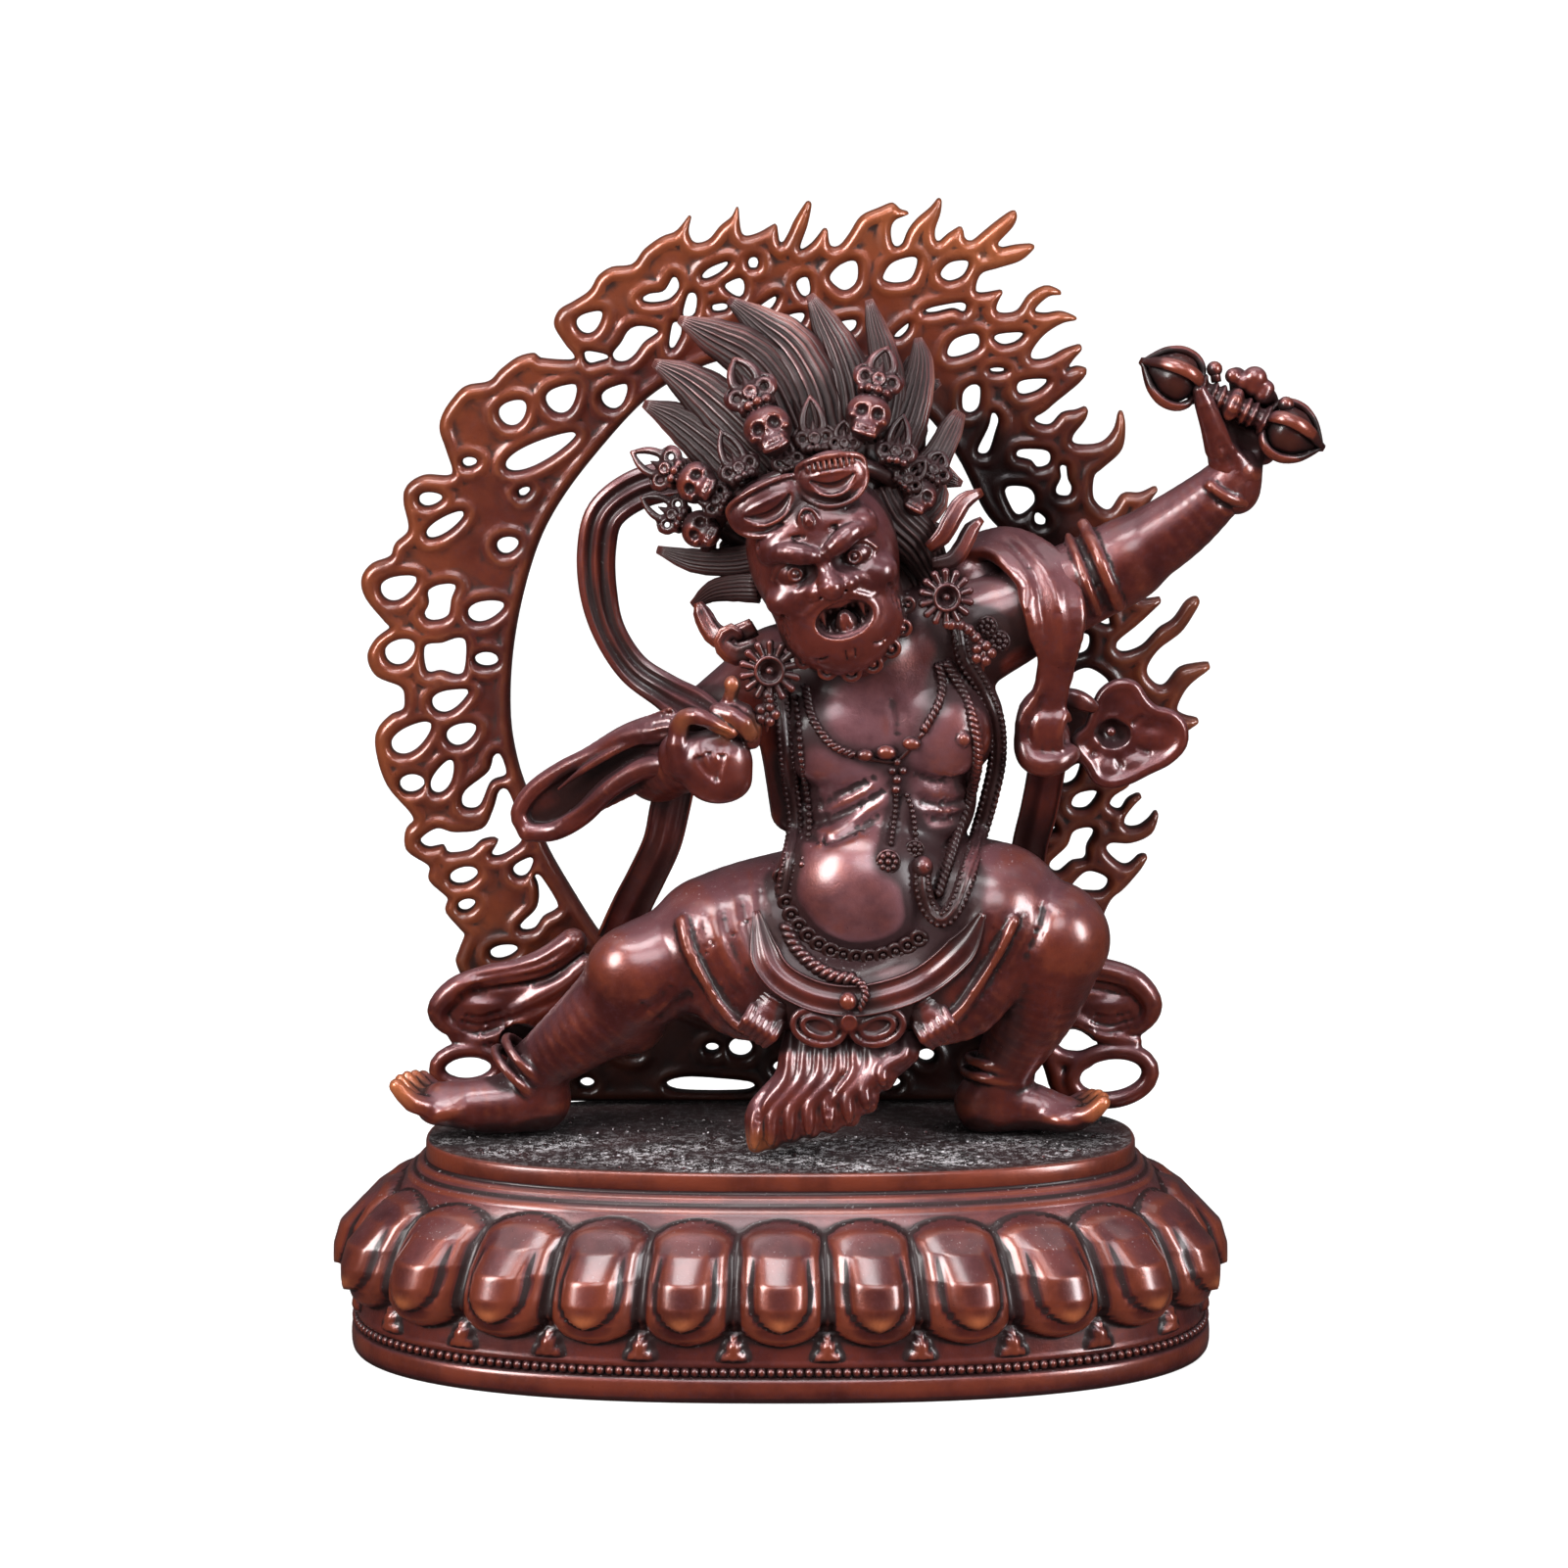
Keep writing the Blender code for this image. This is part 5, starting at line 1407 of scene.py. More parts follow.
def chest_hand(material):
    """The loose fist before the chest, with its first finger raised."""
    f = Field((-17.5, -19.5, 44.0), (0.5, -5.0, 70.0), 0.22)
    f.ball(spot(731, 780, -11.8), (5.0, 3.0, 4.9), turn=-8, blend=0.8)
    f.ball(spot(735, 798, -11.6), (4.2, 2.7, 2.9), blend=1.2)
    f.limb(spots(((700, 772, -9.5), (716, 776, -11.0)), -10), [3.8, 3.4], blend=1.2)
    # Curled fingers along the upper edge
    f.limb(
        spots(
            (
                (694, 742, -12.4), (699, 733, -13.4), (711, 731, -14.4), (724, 737, -14.6),
                (734, 744, -14.4), (745, 749, -14.2),
            ),
            -14,
        ),
        [1.25, 1.2, 1.15, 1.15, 1.2, 1.1], blend=0.35, spacing=0.8,
    )
    f.limb(
        spots(((733, 727, -12.8), (748, 731, -13.8), (760, 739, -14.2), (766, 749, -13.8)), -14),
        [1.3, 1.3, 1.3, 1.1], blend=0.35,
    )
    f.limb(
        spots(((748, 722, -12.2), (760, 728, -12.8), (769, 741, -12.6), (768, 756, -12.4)), -13),
        [1.2, 1.3, 1.3, 1.2], blend=0.35,
    )
    f.limb(
        spots(((693, 744, -12.2), (692, 760, -12.4), (697, 782, -12.2)), -12), [1.3, 1.6, 1.8], blend=0.6
    )
    f.limb(
        spots(((738, 730, -11.6), (744, 716, -12.2), (748, 704, -12.4), (747, 697, -12.4)), -12),
        [1.3, 1.0, 0.95, 0.95], blend=0.5,
    )
    f.ball(spot(748, 699, -12.8), (1.15, 1.0, 1.2), blend=0.3)
    # Hollow of the palm and the creases below it
    f.limb(
        spots(((706, 752, -15.4), (720, 756, -15.8), (735, 760, -15.6), (750, 762, -15.0)), -15),
        [1.3, 1.9, 1.9, 1.2], blend=0.6, cut=True,
    )
    for crease in (
        ((722, 762), (727, 780), (731, 796)), ((738, 762), (736, 778), (731, 792)),
        ((712, 764), (716, 780), (724, 790)),
    ):
        f.trace(f.meet(crease), 0.55, 0.45)
    points, faces = surface(f, "chest_hand")
    obj = add_piece("chest_hand", points, faces, material, "figure_copper", fine=3, broad=14)
    set_values(
        obj, "tip",
        near_points(
            points, spots(((748, 699, -13), (765, 744, -14), (740, 746, -14.5), (700, 735, -13.5)), -13),
            1.9,
        ) * 0.55,
    )
    return obj


def raised_hand(material):
    """Thumb laid along the grip in front, palm open below it, fingers closing over it from behind."""
    f = Field((53.0, -12.5, 86.0), (70.5, 6.0, 110.5), 0.22)
    f.limb(
        spots(((1262, 502, -2), (1260, 480, -2.2), (1254, 458, -2.4), (1246, 436, -2.8)), -2),
        [3.1, 3.3, 3.0, 2.3], blend=1.2,
    )
    f.limb(spots(((1266, 490, -1.4), (1270, 470, -1.6), (1276, 452, -1.6)), -2), [2.6, 2.5, 2.1], blend=1.6)
    f.limb(
        spots(((1246, 456, -4.2), (1238, 434, -5.6), (1230, 412, -6.6), (1225, 399, -6.8)), -5),
        [2.2, 1.7, 1.4, 1.0], blend=0.8,
    )
    f.limb(
        spots(((1257, 428, -4.6), (1268, 444, -4.6), (1280, 458, -4.2)), -4), [1.0, 1.5, 1.3], blend=0.8,
        cut=True,
    )
    for px, py in ((1258, 420), (1268, 426), (1278, 432), (1288, 440)):
        f.limb(
            spots(
                (
                    (px + 2, py + 22, -0.6), (px + 6, py, -0.2), (px + 8, py - 20, -0.8),
                    (px + 6, py - 34, -2.8), (px + 1, py - 36, -5.0),
                ),
                -2,
            ),
            [1.7, 1.5, 1.4, 1.35, 1.1], blend=0.35, spacing=0.8,
        )
    f.ball(spot(1281, 386, -4.8), (1.7, 1.5, 1.6), blend=0.4)
    f.ball(spot(1291, 397, -4.6), (1.4, 1.3, 1.3), blend=0.4)
    f.trace(f.meet(((1262, 490), (1256, 470), (1246, 450))), 0.6, 0.35)
    return add_piece("raised_hand", *surface(f, "raised_hand"), material, "figure_copper", fine=3, broad=14)


def thunderbolt(material):
    """A grip of rings and petals with a cage of four prongs round a core at each end."""
    left = np.array(spot(1166, 369, -5.0))
    right = np.array(spot(1350, 457, -5.0))
    axis = unit(right - left)
    length = np.linalg.norm(right - left)
    side = unit(np.cross(axis, (0, -1, 0)))
    front = np.array((0.0, -1.0, 0.0))
    parts = []

    def on_axis(t, a=0.0, r=0.0):
        return left + axis * t + (side * math.cos(a) + front * math.sin(a)) * r

    profile = [
        (6.2, 1.2), (7.0, 1.9), (7.5, 1.3), (8.2, 2.3), (8.8, 1.5), (9.4, 1.4), (9.9, 2.0), (10.4, 1.5),
        (11.0, 2.1), (11.6, 1.5), (12.2, 2.3), (12.8, 2.6), (13.4, 2.3), (14.0, 1.5), (14.6, 2.1),
        (15.2, 1.5), (15.7, 2.0), (16.2, 1.4), (16.8, 1.5), (17.4, 2.3), (18.1, 1.3), (18.6, 1.9),
        (19.4, 1.2),
    ]
    scale = length / 25.6
    line = smooth_line([(t * scale, r) for t, r in profile], 0.25)
    path = np.array([on_axis(t) for t, _ in line])
    parts.append(tube(path, line[:, 1], sides=28, facing=(0, -1, 0), ribs=9, rib_depth=0.12))
    for start, way in ((0.0, 1), (length, -1)):
        core = [(0.0, 0.12), (0.5, 0.5), (2.4, 0.9), (5.5, 1.2), (7.6, 1.0)]
        line = smooth_line(core, 0.4)
        path = np.array([on_axis(start + way * t) for t, _ in line])
        parts.append(tube(path, line[:, 1], sides=12))
        for k in range(4):
            a = math.pi / 2 * k + 0.45
            prong = []
            for t, r in (
                (8.4, 1.3), (7.9, 2.7), (6.6, 3.8), (4.6, 3.95), (2.6, 3.0), (1.2, 1.5), (0.3, 0.45),
                (-0.25, 0.25),
            ):
                prong.append(on_axis(start + way * t, a, r))
            line = smooth_line(prong, 0.5)
            share = np.linspace(0, 1, len(line))
            thick = np.interp(share, [0, 0.15, 0.5, 0.8, 1], [0.6, 0.95, 1.0, 0.75, 0.35])
            outward = side * math.cos(a) + front * math.sin(a)
            parts.append(tube(line, thick, sides=14, facing=outward, flat=0.62))
            # Inner leaf that fills each prong towards the core, as the closed cage of the casting
            leaf = []
            for t, r in ((7.6, 1.2), (6.4, 2.1), (4.6, 2.3), (2.8, 1.7), (1.3, 0.8)):
                leaf.append(on_axis(start + way * t, a + math.pi / 4, r))
            line = smooth_line(leaf, 0.5)
            share = np.linspace(0, 1, len(line))
            thick = np.interp(share, [0, 0.25, 0.6, 1], [0.9, 2.1, 1.9, 0.5])
            outward = side * math.cos(a + math.pi / 4) + front * math.sin(a + math.pi / 4)
            parts.append(tube(line, thick, sides=14, facing=outward, flat=0.45))
    for px, py, deep in ((1240, 377, -4.6), (1219, 393, -6.0), (1313, 413, -5.4)):
        parts.append(bead(spot(px, py, deep), 1.1, sides=14, rows=8))
    parts.append(tube(spots(((1240, 378, -4.6), (1242, 390, -5.0)), -5), 0.7, sides=10))
    obj, points = add_trim("thunderbolt", parts, material)
    # Painted shade inside the prong cages at both ends
    along = (points - left) @ axis
    away = np.linalg.norm(points - left - along[:, None] * axis, axis=1)
    inside = (np.minimum(along, length - along) < 8.0) & (away < 3.35)
    set_values(obj, "painted_shade", inside * 0.8)
    return obj


# Head, crown and hair

HEAD = np.array(spot(850, 595, -8.5))
LEAN = 17.0
HEAD_RIGHT = np.array((math.cos(math.radians(LEAN)), 0.0, math.sin(math.radians(LEAN))))
HEAD_UP = np.array((-math.sin(math.radians(LEAN)), 0.0, math.cos(math.radians(LEAN))))


def on_head(right, up, forward):
    """A point in the leaning head's own directions, in millimetres from the nose's root."""
    return HEAD + HEAD_RIGHT * right + HEAD_UP * up + np.array((0.0, -forward, 0.0))


def oval(centre, right, up, wide, high, start=0.0, end=2 * math.pi, steps=20):
    a = np.linspace(start, end, steps + 1)[:, None]
    return np.asarray(centre) + np.asarray(right) * wide * np.cos(a) + np.asarray(up) * high * np.sin(a)


def shape_face(f):
    """A fierce mask: knotted brows, bulging eyes, broad nose and an open, fanged mouth."""
    h, turn = on_head, -LEAN
    f.ball(h(0, 5, -1), (10.2, 10.6, 10.6), turn=turn, blend=2)
    f.ball(h(0, 2, 2.0), (9.2, 8.0, 11.0), turn=turn, blend=2)
    f.ball(h(0, -5.0, 2.6), (8.7, 7.4, 7.0), turn=turn, blend=2)
    f.ball(h(0, 9.6, 4.2), (7.0, 4.6, 3.6), turn=turn, blend=1.6)
    f.ball(h(0.2, -3.8, 5.8), (5.6, 3.2, 4.6), turn=turn, blend=1.6)
    f.ball(h(-0.2, -8.6, 5.2), (4.2, 3.4, 3.0), turn=turn, blend=1.4)
    for side in (-1, 1):
        f.ball(h(4.3 * side, 8.3, 6.5), (4.2, 2.9, 2.5), turn=turn + 14 * side, blend=1.0)
        f.ball(h(4.5 * side, 3.9, 9.8), (3.4, 2.1, 2.2), turn=turn, blend=0.8, cut=True)
        f.ball(h(4.45 * side, 3.9, 7.1), (2.2, 1.9, 1.75), turn=turn, blend=0.2)
        f.ball(h(6.2 * side, 0.4, 6.2), (3.0, 2.6, 2.4), turn=turn - 10 * side, blend=1.1)
        brow = [
            h(0.8 * side, 5.2, 9.5), h(2.6 * side, 6.0, 9.5), h(4.9 * side, 6.9, 8.7),
            h(7.2 * side, 6.5, 6.9),
        ]
        brow = [p + np.array((0.0, -0.35, 0.25)) for p in brow]
        f.limb(brow, [1.0, 1.45, 1.4, 0.9], blend=0.35, spacing=0.8)
        # Lids over and under the eye
        upper = [
            h((4.45 + 2.5 * c) * side, 3.9 + 1.9 * s, 8.1 - 0.6 * abs(c))
            for c, s in ((-1, 0.15), (-0.6, 0.75), (0, 1), (0.65, 0.7), (1.1, 0.0))
        ]
        lower = [
            h((4.45 + 2.5 * c) * side, 3.9 + 1.9 * s, 8.1 - 0.7 * abs(c))
            for c, s in ((-1, 0.1), (-0.55, -0.65), (0, -0.9), (0.6, -0.65), (1.1, 0.0))
        ]
        f.limb(upper, [0.4, 0.6, 0.66, 0.55, 0.3], blend=0.15, spacing=0.6)
        f.limb(lower, [0.35, 0.5, 0.55, 0.46, 0.3], blend=0.15, spacing=0.6)
        f.ring(h(4.1 * side, 3.8, 8.95), (0, 1, 0), 0.86, 0.2, blend=0.1)
        f.ball(h(4.1 * side, 3.8, 8.9), (0.4, 0.35, 0.4), blend=0.1)
        # Folds from the nose round the mouth
        fold = [
            h(1.9 * side, 2.3, 8.6), h(3.9 * side, 0.9, 8.3), h(5.5 * side, -0.9, 7.5),
            h(6.3 * side, -3.3, 6.6),
        ]
        f.limb(fold, [0.6, 1.0, 0.95, 0.5], blend=0.35, spacing=0.8)
        f.ball(h(2.0 * side, 0.7, 9.0), (1.6, 1.5, 1.3), turn=turn, blend=0.35)
        f.ball(h(1.35 * side, -0.1, 9.9), (0.6, 0.7, 0.45), turn=turn, blend=0.3, cut=True)
        for k in range(4):
            line = [
                h((6.4 + 0.45 * k) * side, 0.2 - 0.9 * k, 7.9 - 0.9 * k),
                h((7.3 + 0.4 * k) * side, -1.2 - 1.0 * k, 7.3 - 0.9 * k),
            ]
            line.append(h((7.2 + 0.3 * k) * side, -3.0 - 1.0 * k, 7.2 - 0.8 * k))
            f.trace(line, 0.36, 0.62, spacing=0.5)
        for k in range(6):
            a = 0.16 + 0.14 * k
            foot = h((1.5 + 6.0 * a) * side, 6.4 + 1.0 * a, 9.9 - 2.6 * a)
            head = h((1.9 + 6.9 * a) * side, 7.9 + 0.9 * a, 9.3 - 2.4 * a)
            f.trace([foot, head], 0.32, 0.55, spacing=0.5)
    # Knot of flesh between the brows, nose and third eye
    f.limb(
        [h(-0.7, 7.6, 8.4), h(-0.55, 5.6, 9.4), h(-0.4, 4.2, 9.4)], [0.55, 0.7, 0.5], blend=0.4, spacing=0.6
    )
    f.limb(
        [h(0.7, 7.6, 8.4), h(0.55, 5.6, 9.4), h(0.4, 4.2, 9.4)], [0.55, 0.7, 0.5], blend=0.4, spacing=0.6
    )
    f.limb([h(0, 4.8, 8.8), h(0, 2.8, 9.7), h(0, 0.9, 10.4)], [0.9, 1.1, 1.75], blend=0.45, spacing=0.8)
    for k in range(3):
        arc = [
            h(a, 8.2 + 0.75 * k + 0.05 * a * a, 9.2 - 0.4 * k - 0.03 * a * a) for a in (-5.4, -3.4, -1.6)
        ]
        f.trace(arc, 0.3, 0.5, spacing=0.5)
        arc = [h(a, 8.2 + 0.85 * k + 0.04 * a * a, 9.2 - 0.4 * k - 0.03 * a * a) for a in (1.4, 3.4, 5.6)]
        f.trace(arc, 0.3, 0.5, spacing=0.5)
    third = h(-0.3, 10.0, 8.9)
    f.limb(
        oval(third, HEAD_RIGHT, HEAD_UP, 1.25, 1.85, steps=16), np.full(17, 0.32), blend=0.3, spacing=0.5
    )
    f.ball(third, (0.85, 0.75, 1.25), turn=turn, blend=0.2)
    f.ring(third + np.array((0, -0.7, 0)), (0, 1, 0), 0.42, 0.1, blend=0.1)


def shape_mouth(f):
    h, turn = on_head, -LEAN
    lip = []
    for k in range(25):
        a = 2 * math.pi * k / 24
        dip = 0.55 * math.exp(-(((math.degrees(a) - 90) / 16) ** 2))
        lip.append(
            h(0.4 + 4.35 * math.cos(a), -3.7 + 2.75 * math.sin(a) - dip, 8.55 - 0.5 * math.cos(a) ** 2)
        )
    f.ball(h(0.4, -3.8, 9.3), (3.9, 3.4, 2.45), turn=turn, blend=0.4, cut=True)
    f.limb(lip, np.full(len(lip), 0.85), blend=0.2, spacing=0.6)
    f.limb(
        [h(0.5, -5.2, 6.4), h(0.5, -4.6, 7.6), h(0.5, -3.7, 8.0)], [1.6, 1.45, 1.0], blend=0.4, spacing=0.6
    )
    f.trace([h(0.5, -5.6, 8.5), h(0.5, -4.4, 9.0), h(0.5, -3.4, 9.0)], 0.25, 0.3, spacing=0.4)
    for k in range(8):
        a = math.radians(28 + 124 * k / 7)
        top = h(0.4 + 3.6 * math.cos(a), -3.8 + 2.2 * math.sin(a), 7.9)
        f.limb([top, top - HEAD_UP * 0.7], [0.42, 0.34], blend=0.12, spacing=0.4)
        a = -a
        low = h(0.4 + 3.5 * math.cos(a), -3.8 + 2.2 * math.sin(a), 7.7)
        f.limb([low, low + HEAD_UP * 0.45], [0.36, 0.3], blend=0.12, spacing=0.4)
    for side in (-1, 1):
        fang = h(0.4 + 2.7 * side, -2.4, 8.4)
        f.limb([fang, fang - HEAD_UP * 1.9], [0.5, 0.12], blend=0.12, spacing=0.5)
        fang = h(0.4 + 2.2 * side, -5.7, 8.3)
        f.limb([fang, fang + HEAD_UP * 1.4], [0.45, 0.12], blend=0.12, spacing=0.5)
    # Moustache strands along the upper lip, ending in curls
    for side in (-1, 1):
        strand = [
            h(0.5 * side, -0.5, 9.6), h(2.4 * side, -0.7, 9.4), h(4.5 * side, -1.9, 8.5),
            h(5.9 * side, -1.3, 7.6), h(6.9 * side, 0.0, 6.9),
        ]
        f.limb(strand, [0.32, 0.5, 0.46, 0.38, 0.2], blend=0.25, spacing=0.6)


BEARD_CURLS = (
    (-6.6, -8.2, 4.4, 0.9), (-3.9, -10.3, 4.9, 1.05), (-0.9, -11.4, 5.2, 1.1), (2.2, -11.2, 5.2, 1.05),
    (5.1, -10.0, 4.8, 1.05), (7.4, -7.9, 4.0, 0.95), (8.9, -5.2, 3.2, 0.85),
)


def shape_beard(f):
    h = on_head
    for right, up, forward, r in BEARD_CURLS:
        centre = h(right, up, forward)
        way = unit(centre - on_head(0.2, -3.5, 5.0))
        f.limb([centre - way * 3.0, centre - way * 1.4, centre], [0.5, 0.75, 0.7], blend=0.3, spacing=0.6)
        f.ring(centre + np.array((0, -0.7, 0)), (0, 1, 0.1), 1.0 * r, 0.42, blend=0.1)
        f.ball(centre + np.array((0, -1.2, 0)), 0.48 * r, blend=0.1)
    f.limb(
        [h(0.2, -6.9, 8.2), h(-0.1, -8.3, 8.2), h(-0.4, -9.9, 7.4)], [0.6, 1.15, 0.35], blend=0.3,
        spacing=0.6,
    )
    f.trace([h(-0.5, -7.2, 9.1), h(-0.8, -8.6, 9.0), h(-0.7, -9.8, 8.0)], 0.22, 0.3, spacing=0.4)
    f.trace([h(0.7, -7.2, 9.1), h(0.5, -8.6, 9.0), h(0.0, -9.8, 8.0)], 0.22, 0.3, spacing=0.4)
    for side in (-1, 1):
        f.trace(
            [h(2.2 * side, -7.4, 8.6), h(3.8 * side, -8.3, 7.8), h(5.6 * side, -7.6, 6.6)], 0.4, 0.4,
            spacing=0.5,
        )


def shape_plate(f, centre, wide, high, tilt, teeth):
    """One of the two curved plates at the front of the crown, with a raised rim and a crescent slot."""
    turn = math.radians(tilt)
    right = np.array((math.cos(turn), 0.0, math.sin(turn)))
    up = np.array((-math.sin(turn), 0.0, math.cos(turn)))

    def at(a, b, proud=0.0):
        return centre + right * a * wide + up * b * high + np.array((0.0, 1.5 * a * a - proud, 0.0))

    f.ball(centre + np.array((0, 0.7, 0)), (wide * 1.02, 1.7, high * 0.98), turn=-tilt, blend=0.5)
    rim = []
    for k in range(25):
        a = 2 * math.pi * k / 24
        b = math.sin(a) if math.sin(a) < 0 else 0.82 * abs(math.sin(a)) ** 0.45
        rim.append(at(math.cos(a), b, 0.75))
    f.limb(rim, np.full(25, 0.42), blend=0.2, spacing=0.5)
    slot = [at(a, 0.02 - 0.34 * (1 - (a / 0.62) ** 2), 1.05) for a in (-0.62, -0.4, -0.15, 0.15, 0.4, 0.62)]
    f.limb(slot, [0.2, 0.5, 0.66, 0.66, 0.5, 0.2], blend=0.15, spacing=0.5, cut=True)
    lip = [at(a, -0.2 - 0.42 * (1 - (a / 0.7) ** 2), 1.0) for a in (-0.7, -0.4, -0.15, 0.15, 0.4, 0.7)]
    f.limb(lip, [0.15, 0.26, 0.3, 0.3, 0.26, 0.15], blend=0.2, spacing=0.5)
    lid = [at(a, 0.14 + 0.10 * (1 - (a / 0.7) ** 2), 1.0) for a in (-0.7, -0.3, 0.3, 0.7)]
    f.limb(lid, [0.15, 0.24, 0.24, 0.15], blend=0.2, spacing=0.5)
    for k in range(9 if teeth else 0):
        a = -0.66 + 1.32 * k / 8
        f.limb([at(a, 0.42, 1.0), at(a, 0.66, 0.9)], [0.26, 0.26], blend=0.08, spacing=0.3)


def head_piece(material):
    f = Field((-8.5, -23.5, 61.0), (22.0, 5.0, 99.0), 0.215)
    f.limb([(12.4, -2.2, 64), (10.2, -4.6, 72)], [6.6, 6.4], blend=2)
    shape_face(f)
    shape_mouth(f)
    shape_beard(f)
    shape_plate(f, on_head(-5.0, 13.4, 7.4), 5.3, 3.6, LEAN + 10.0, False)
    shape_plate(f, on_head(4.3, 14.6, 7.8), 4.6, 3.7, LEAN - 7.0, True)
    return add_piece("head", *surface(f, "head"), material, "figure_copper", fine=3, broad=16)


def ornament(parts, base, tip, size, skull):
    """A skull, or a knot of leaves, under a jewel with two scrolls and a hollow flame leaf."""
    up = unit(tip - base)
    front = unit(np.array((0.0, -1.0, 0.1)) - up * up[1] * -1.0)
    front = unit(front - up * float(front @ up))
    right = np.cross(up, front)
    reach = np.linalg.norm(tip - base) + size
    middle = (tip + base) / 2
    half = np.abs(up) * reach / 2 + size * 0.75
    f = Field(middle - half, middle + half, max(size * 0.045, 0.13))

    def at(a, b, c):
        return base + size * (right * a + up * b + front * c)

    axes = (right, front, up)
    foot = 0.55 if skull else -0.2
    if skull:
        f.ball(at(0, 0.06, 0), (0.5 * size, 0.48 * size, 0.46 * size), axes=axes, blend=0.3)
        f.ball(at(0, -0.3, 0.1), (0.33 * size, 0.38 * size, 0.26 * size), axes=axes, blend=0.5)
        for side in (-1, 1):
            f.ball(
                at(0.3 * side, -0.12, 0.26), (0.14 * size, 0.14 * size, 0.1 * size), axes=axes, blend=0.3
            )
            f.ball(
                at(0.19 * side, 0.0, 0.5), (0.15 * size, 0.24 * size, 0.15 * size), axes=axes, blend=0.12,
                cut=True,
            )
        f.limb(
            [at(0, -0.1, 0.5), at(0, -0.2, 0.54)], [0.05 * size, 0.07 * size], blend=0.1, spacing=0.2,
            cut=True,
        )
        for k in range(5):
            a = -0.2 + 0.1 * k
            f.ball(
                at(a, -0.36, 0.46 - 0.6 * a * a), (0.055 * size, 0.06 * size, 0.1 * size), axes=axes,
                blend=0.05,
            )
        f.limb(
            [at(-0.22, -0.48, 0.42), at(0, -0.52, 0.5), at(0.22, -0.48, 0.42)], np.full(3, 0.07 * size),
            blend=0.1, spacing=0.3,
        )
    for k in range(9):
        a = 2 * math.pi * k / 9
        f.ball(at(0.3 * math.cos(a), foot + 0.02, 0.3 * math.sin(a)), 0.11 * size, blend=0.1)
    f.ball(at(0, foot + 0.28, 0.05), (0.2 * size, 0.2 * size, 0.22 * size), axes=axes, blend=0.15)
    f.ring(at(0, foot + 0.28, 0.24), front, 0.12 * size, 0.045 * size, blend=0.05)
    for side in (-1, 1):
        f.ring(at(0.3 * side, foot + 0.3, 0.1), front, 0.14 * size, 0.07 * size, blend=0.1)
        scroll = [
            at(0.1 * side, foot + 0.1, 0.1), at(0.42 * side, foot + 0.16, 0.06),
            at(0.5 * side, foot + 0.42, 0.0), at(0.34 * side, foot + 0.62, 0.0),
        ]
        f.limb(scroll, np.array([0.08, 0.08, 0.07, 0.03]) * size, blend=0.12, spacing=0.3)
    end = np.linalg.norm(tip - base) / size
    for side in (-1, 1):
        leaf = [
            at(0.06 * side, foot + 0.4, 0), at(0.25 * side, foot + 0.58, 0),
            at(0.2 * side, (foot + 0.6 + end) / 2, 0), at(0, end, 0),
        ]
        f.limb(leaf, np.array([0.09, 0.1, 0.09, 0.05]) * size, blend=0.12, spacing=0.3)
    f.limb(
        [at(0, foot + 0.4, 0.04), at(0, foot + 0.75, 0.02)], [0.12 * size, 0.03 * size], blend=0.1,
        spacing=0.3,
    )
    parts.append(f.skin())


ORNAMENTS = (
    ((785, 440, -9.8), (750, 366, -5.5), 6.7, True),
    ((886, 426, -9.0), (906, 355, -5.0), 6.2, True),
    ((713, 494, -7.5), (645, 462, -3.5), 5.8, True),
    ((716, 541, -6.5), (655, 508, -3.5), 5.2, True),
    ((938, 508, -6.5), (962, 462, -3.5), 5.0, True),
    ((832, 452, -9.8), (827, 405, -8.0), 5.4, False),
    ((757, 482, -9.8), (736, 440, -7.5), 5.4, False),
    ((914, 466, -8.8), (922, 424, -6.5), 5.2, False),
    ((806, 474, -10.5), (796, 446, -9.5), 4.2, False),
    ((862, 456, -10.5), (862, 430, -9.5), 4.2, False),
    ((735, 512, -9.5), (708, 500, -8.5), 4.6, False),
    ((925, 492, -8.0), (945, 470, -7.0), 4.2, False),
)

CROWN_BAND = (
    (722, 560, -6), (725, 535, -9), (740, 510, -12), (765, 490, -14.4), (800, 474, -15.6),
    (840, 464, -15.8), (880, 464, -14.4), (910, 478, -12), (928, 505, -8.5), (934, 530, -5.5),
)


def crown(material):
    parts = []
    for base, tip, size, skull in ORNAMENTS:
        ornament(parts, np.array(spot(*base)), np.array(spot(*tip)), size, skull)
    band = smooth_line(spots(CROWN_BAND, 0), 0.8)
    parts.append(tube(band + np.array((0.0, 5.2, -2.2)), 1.1, sides=14))
    add_trim("crown", parts, material, MOST_TRIANGLES["crown"])


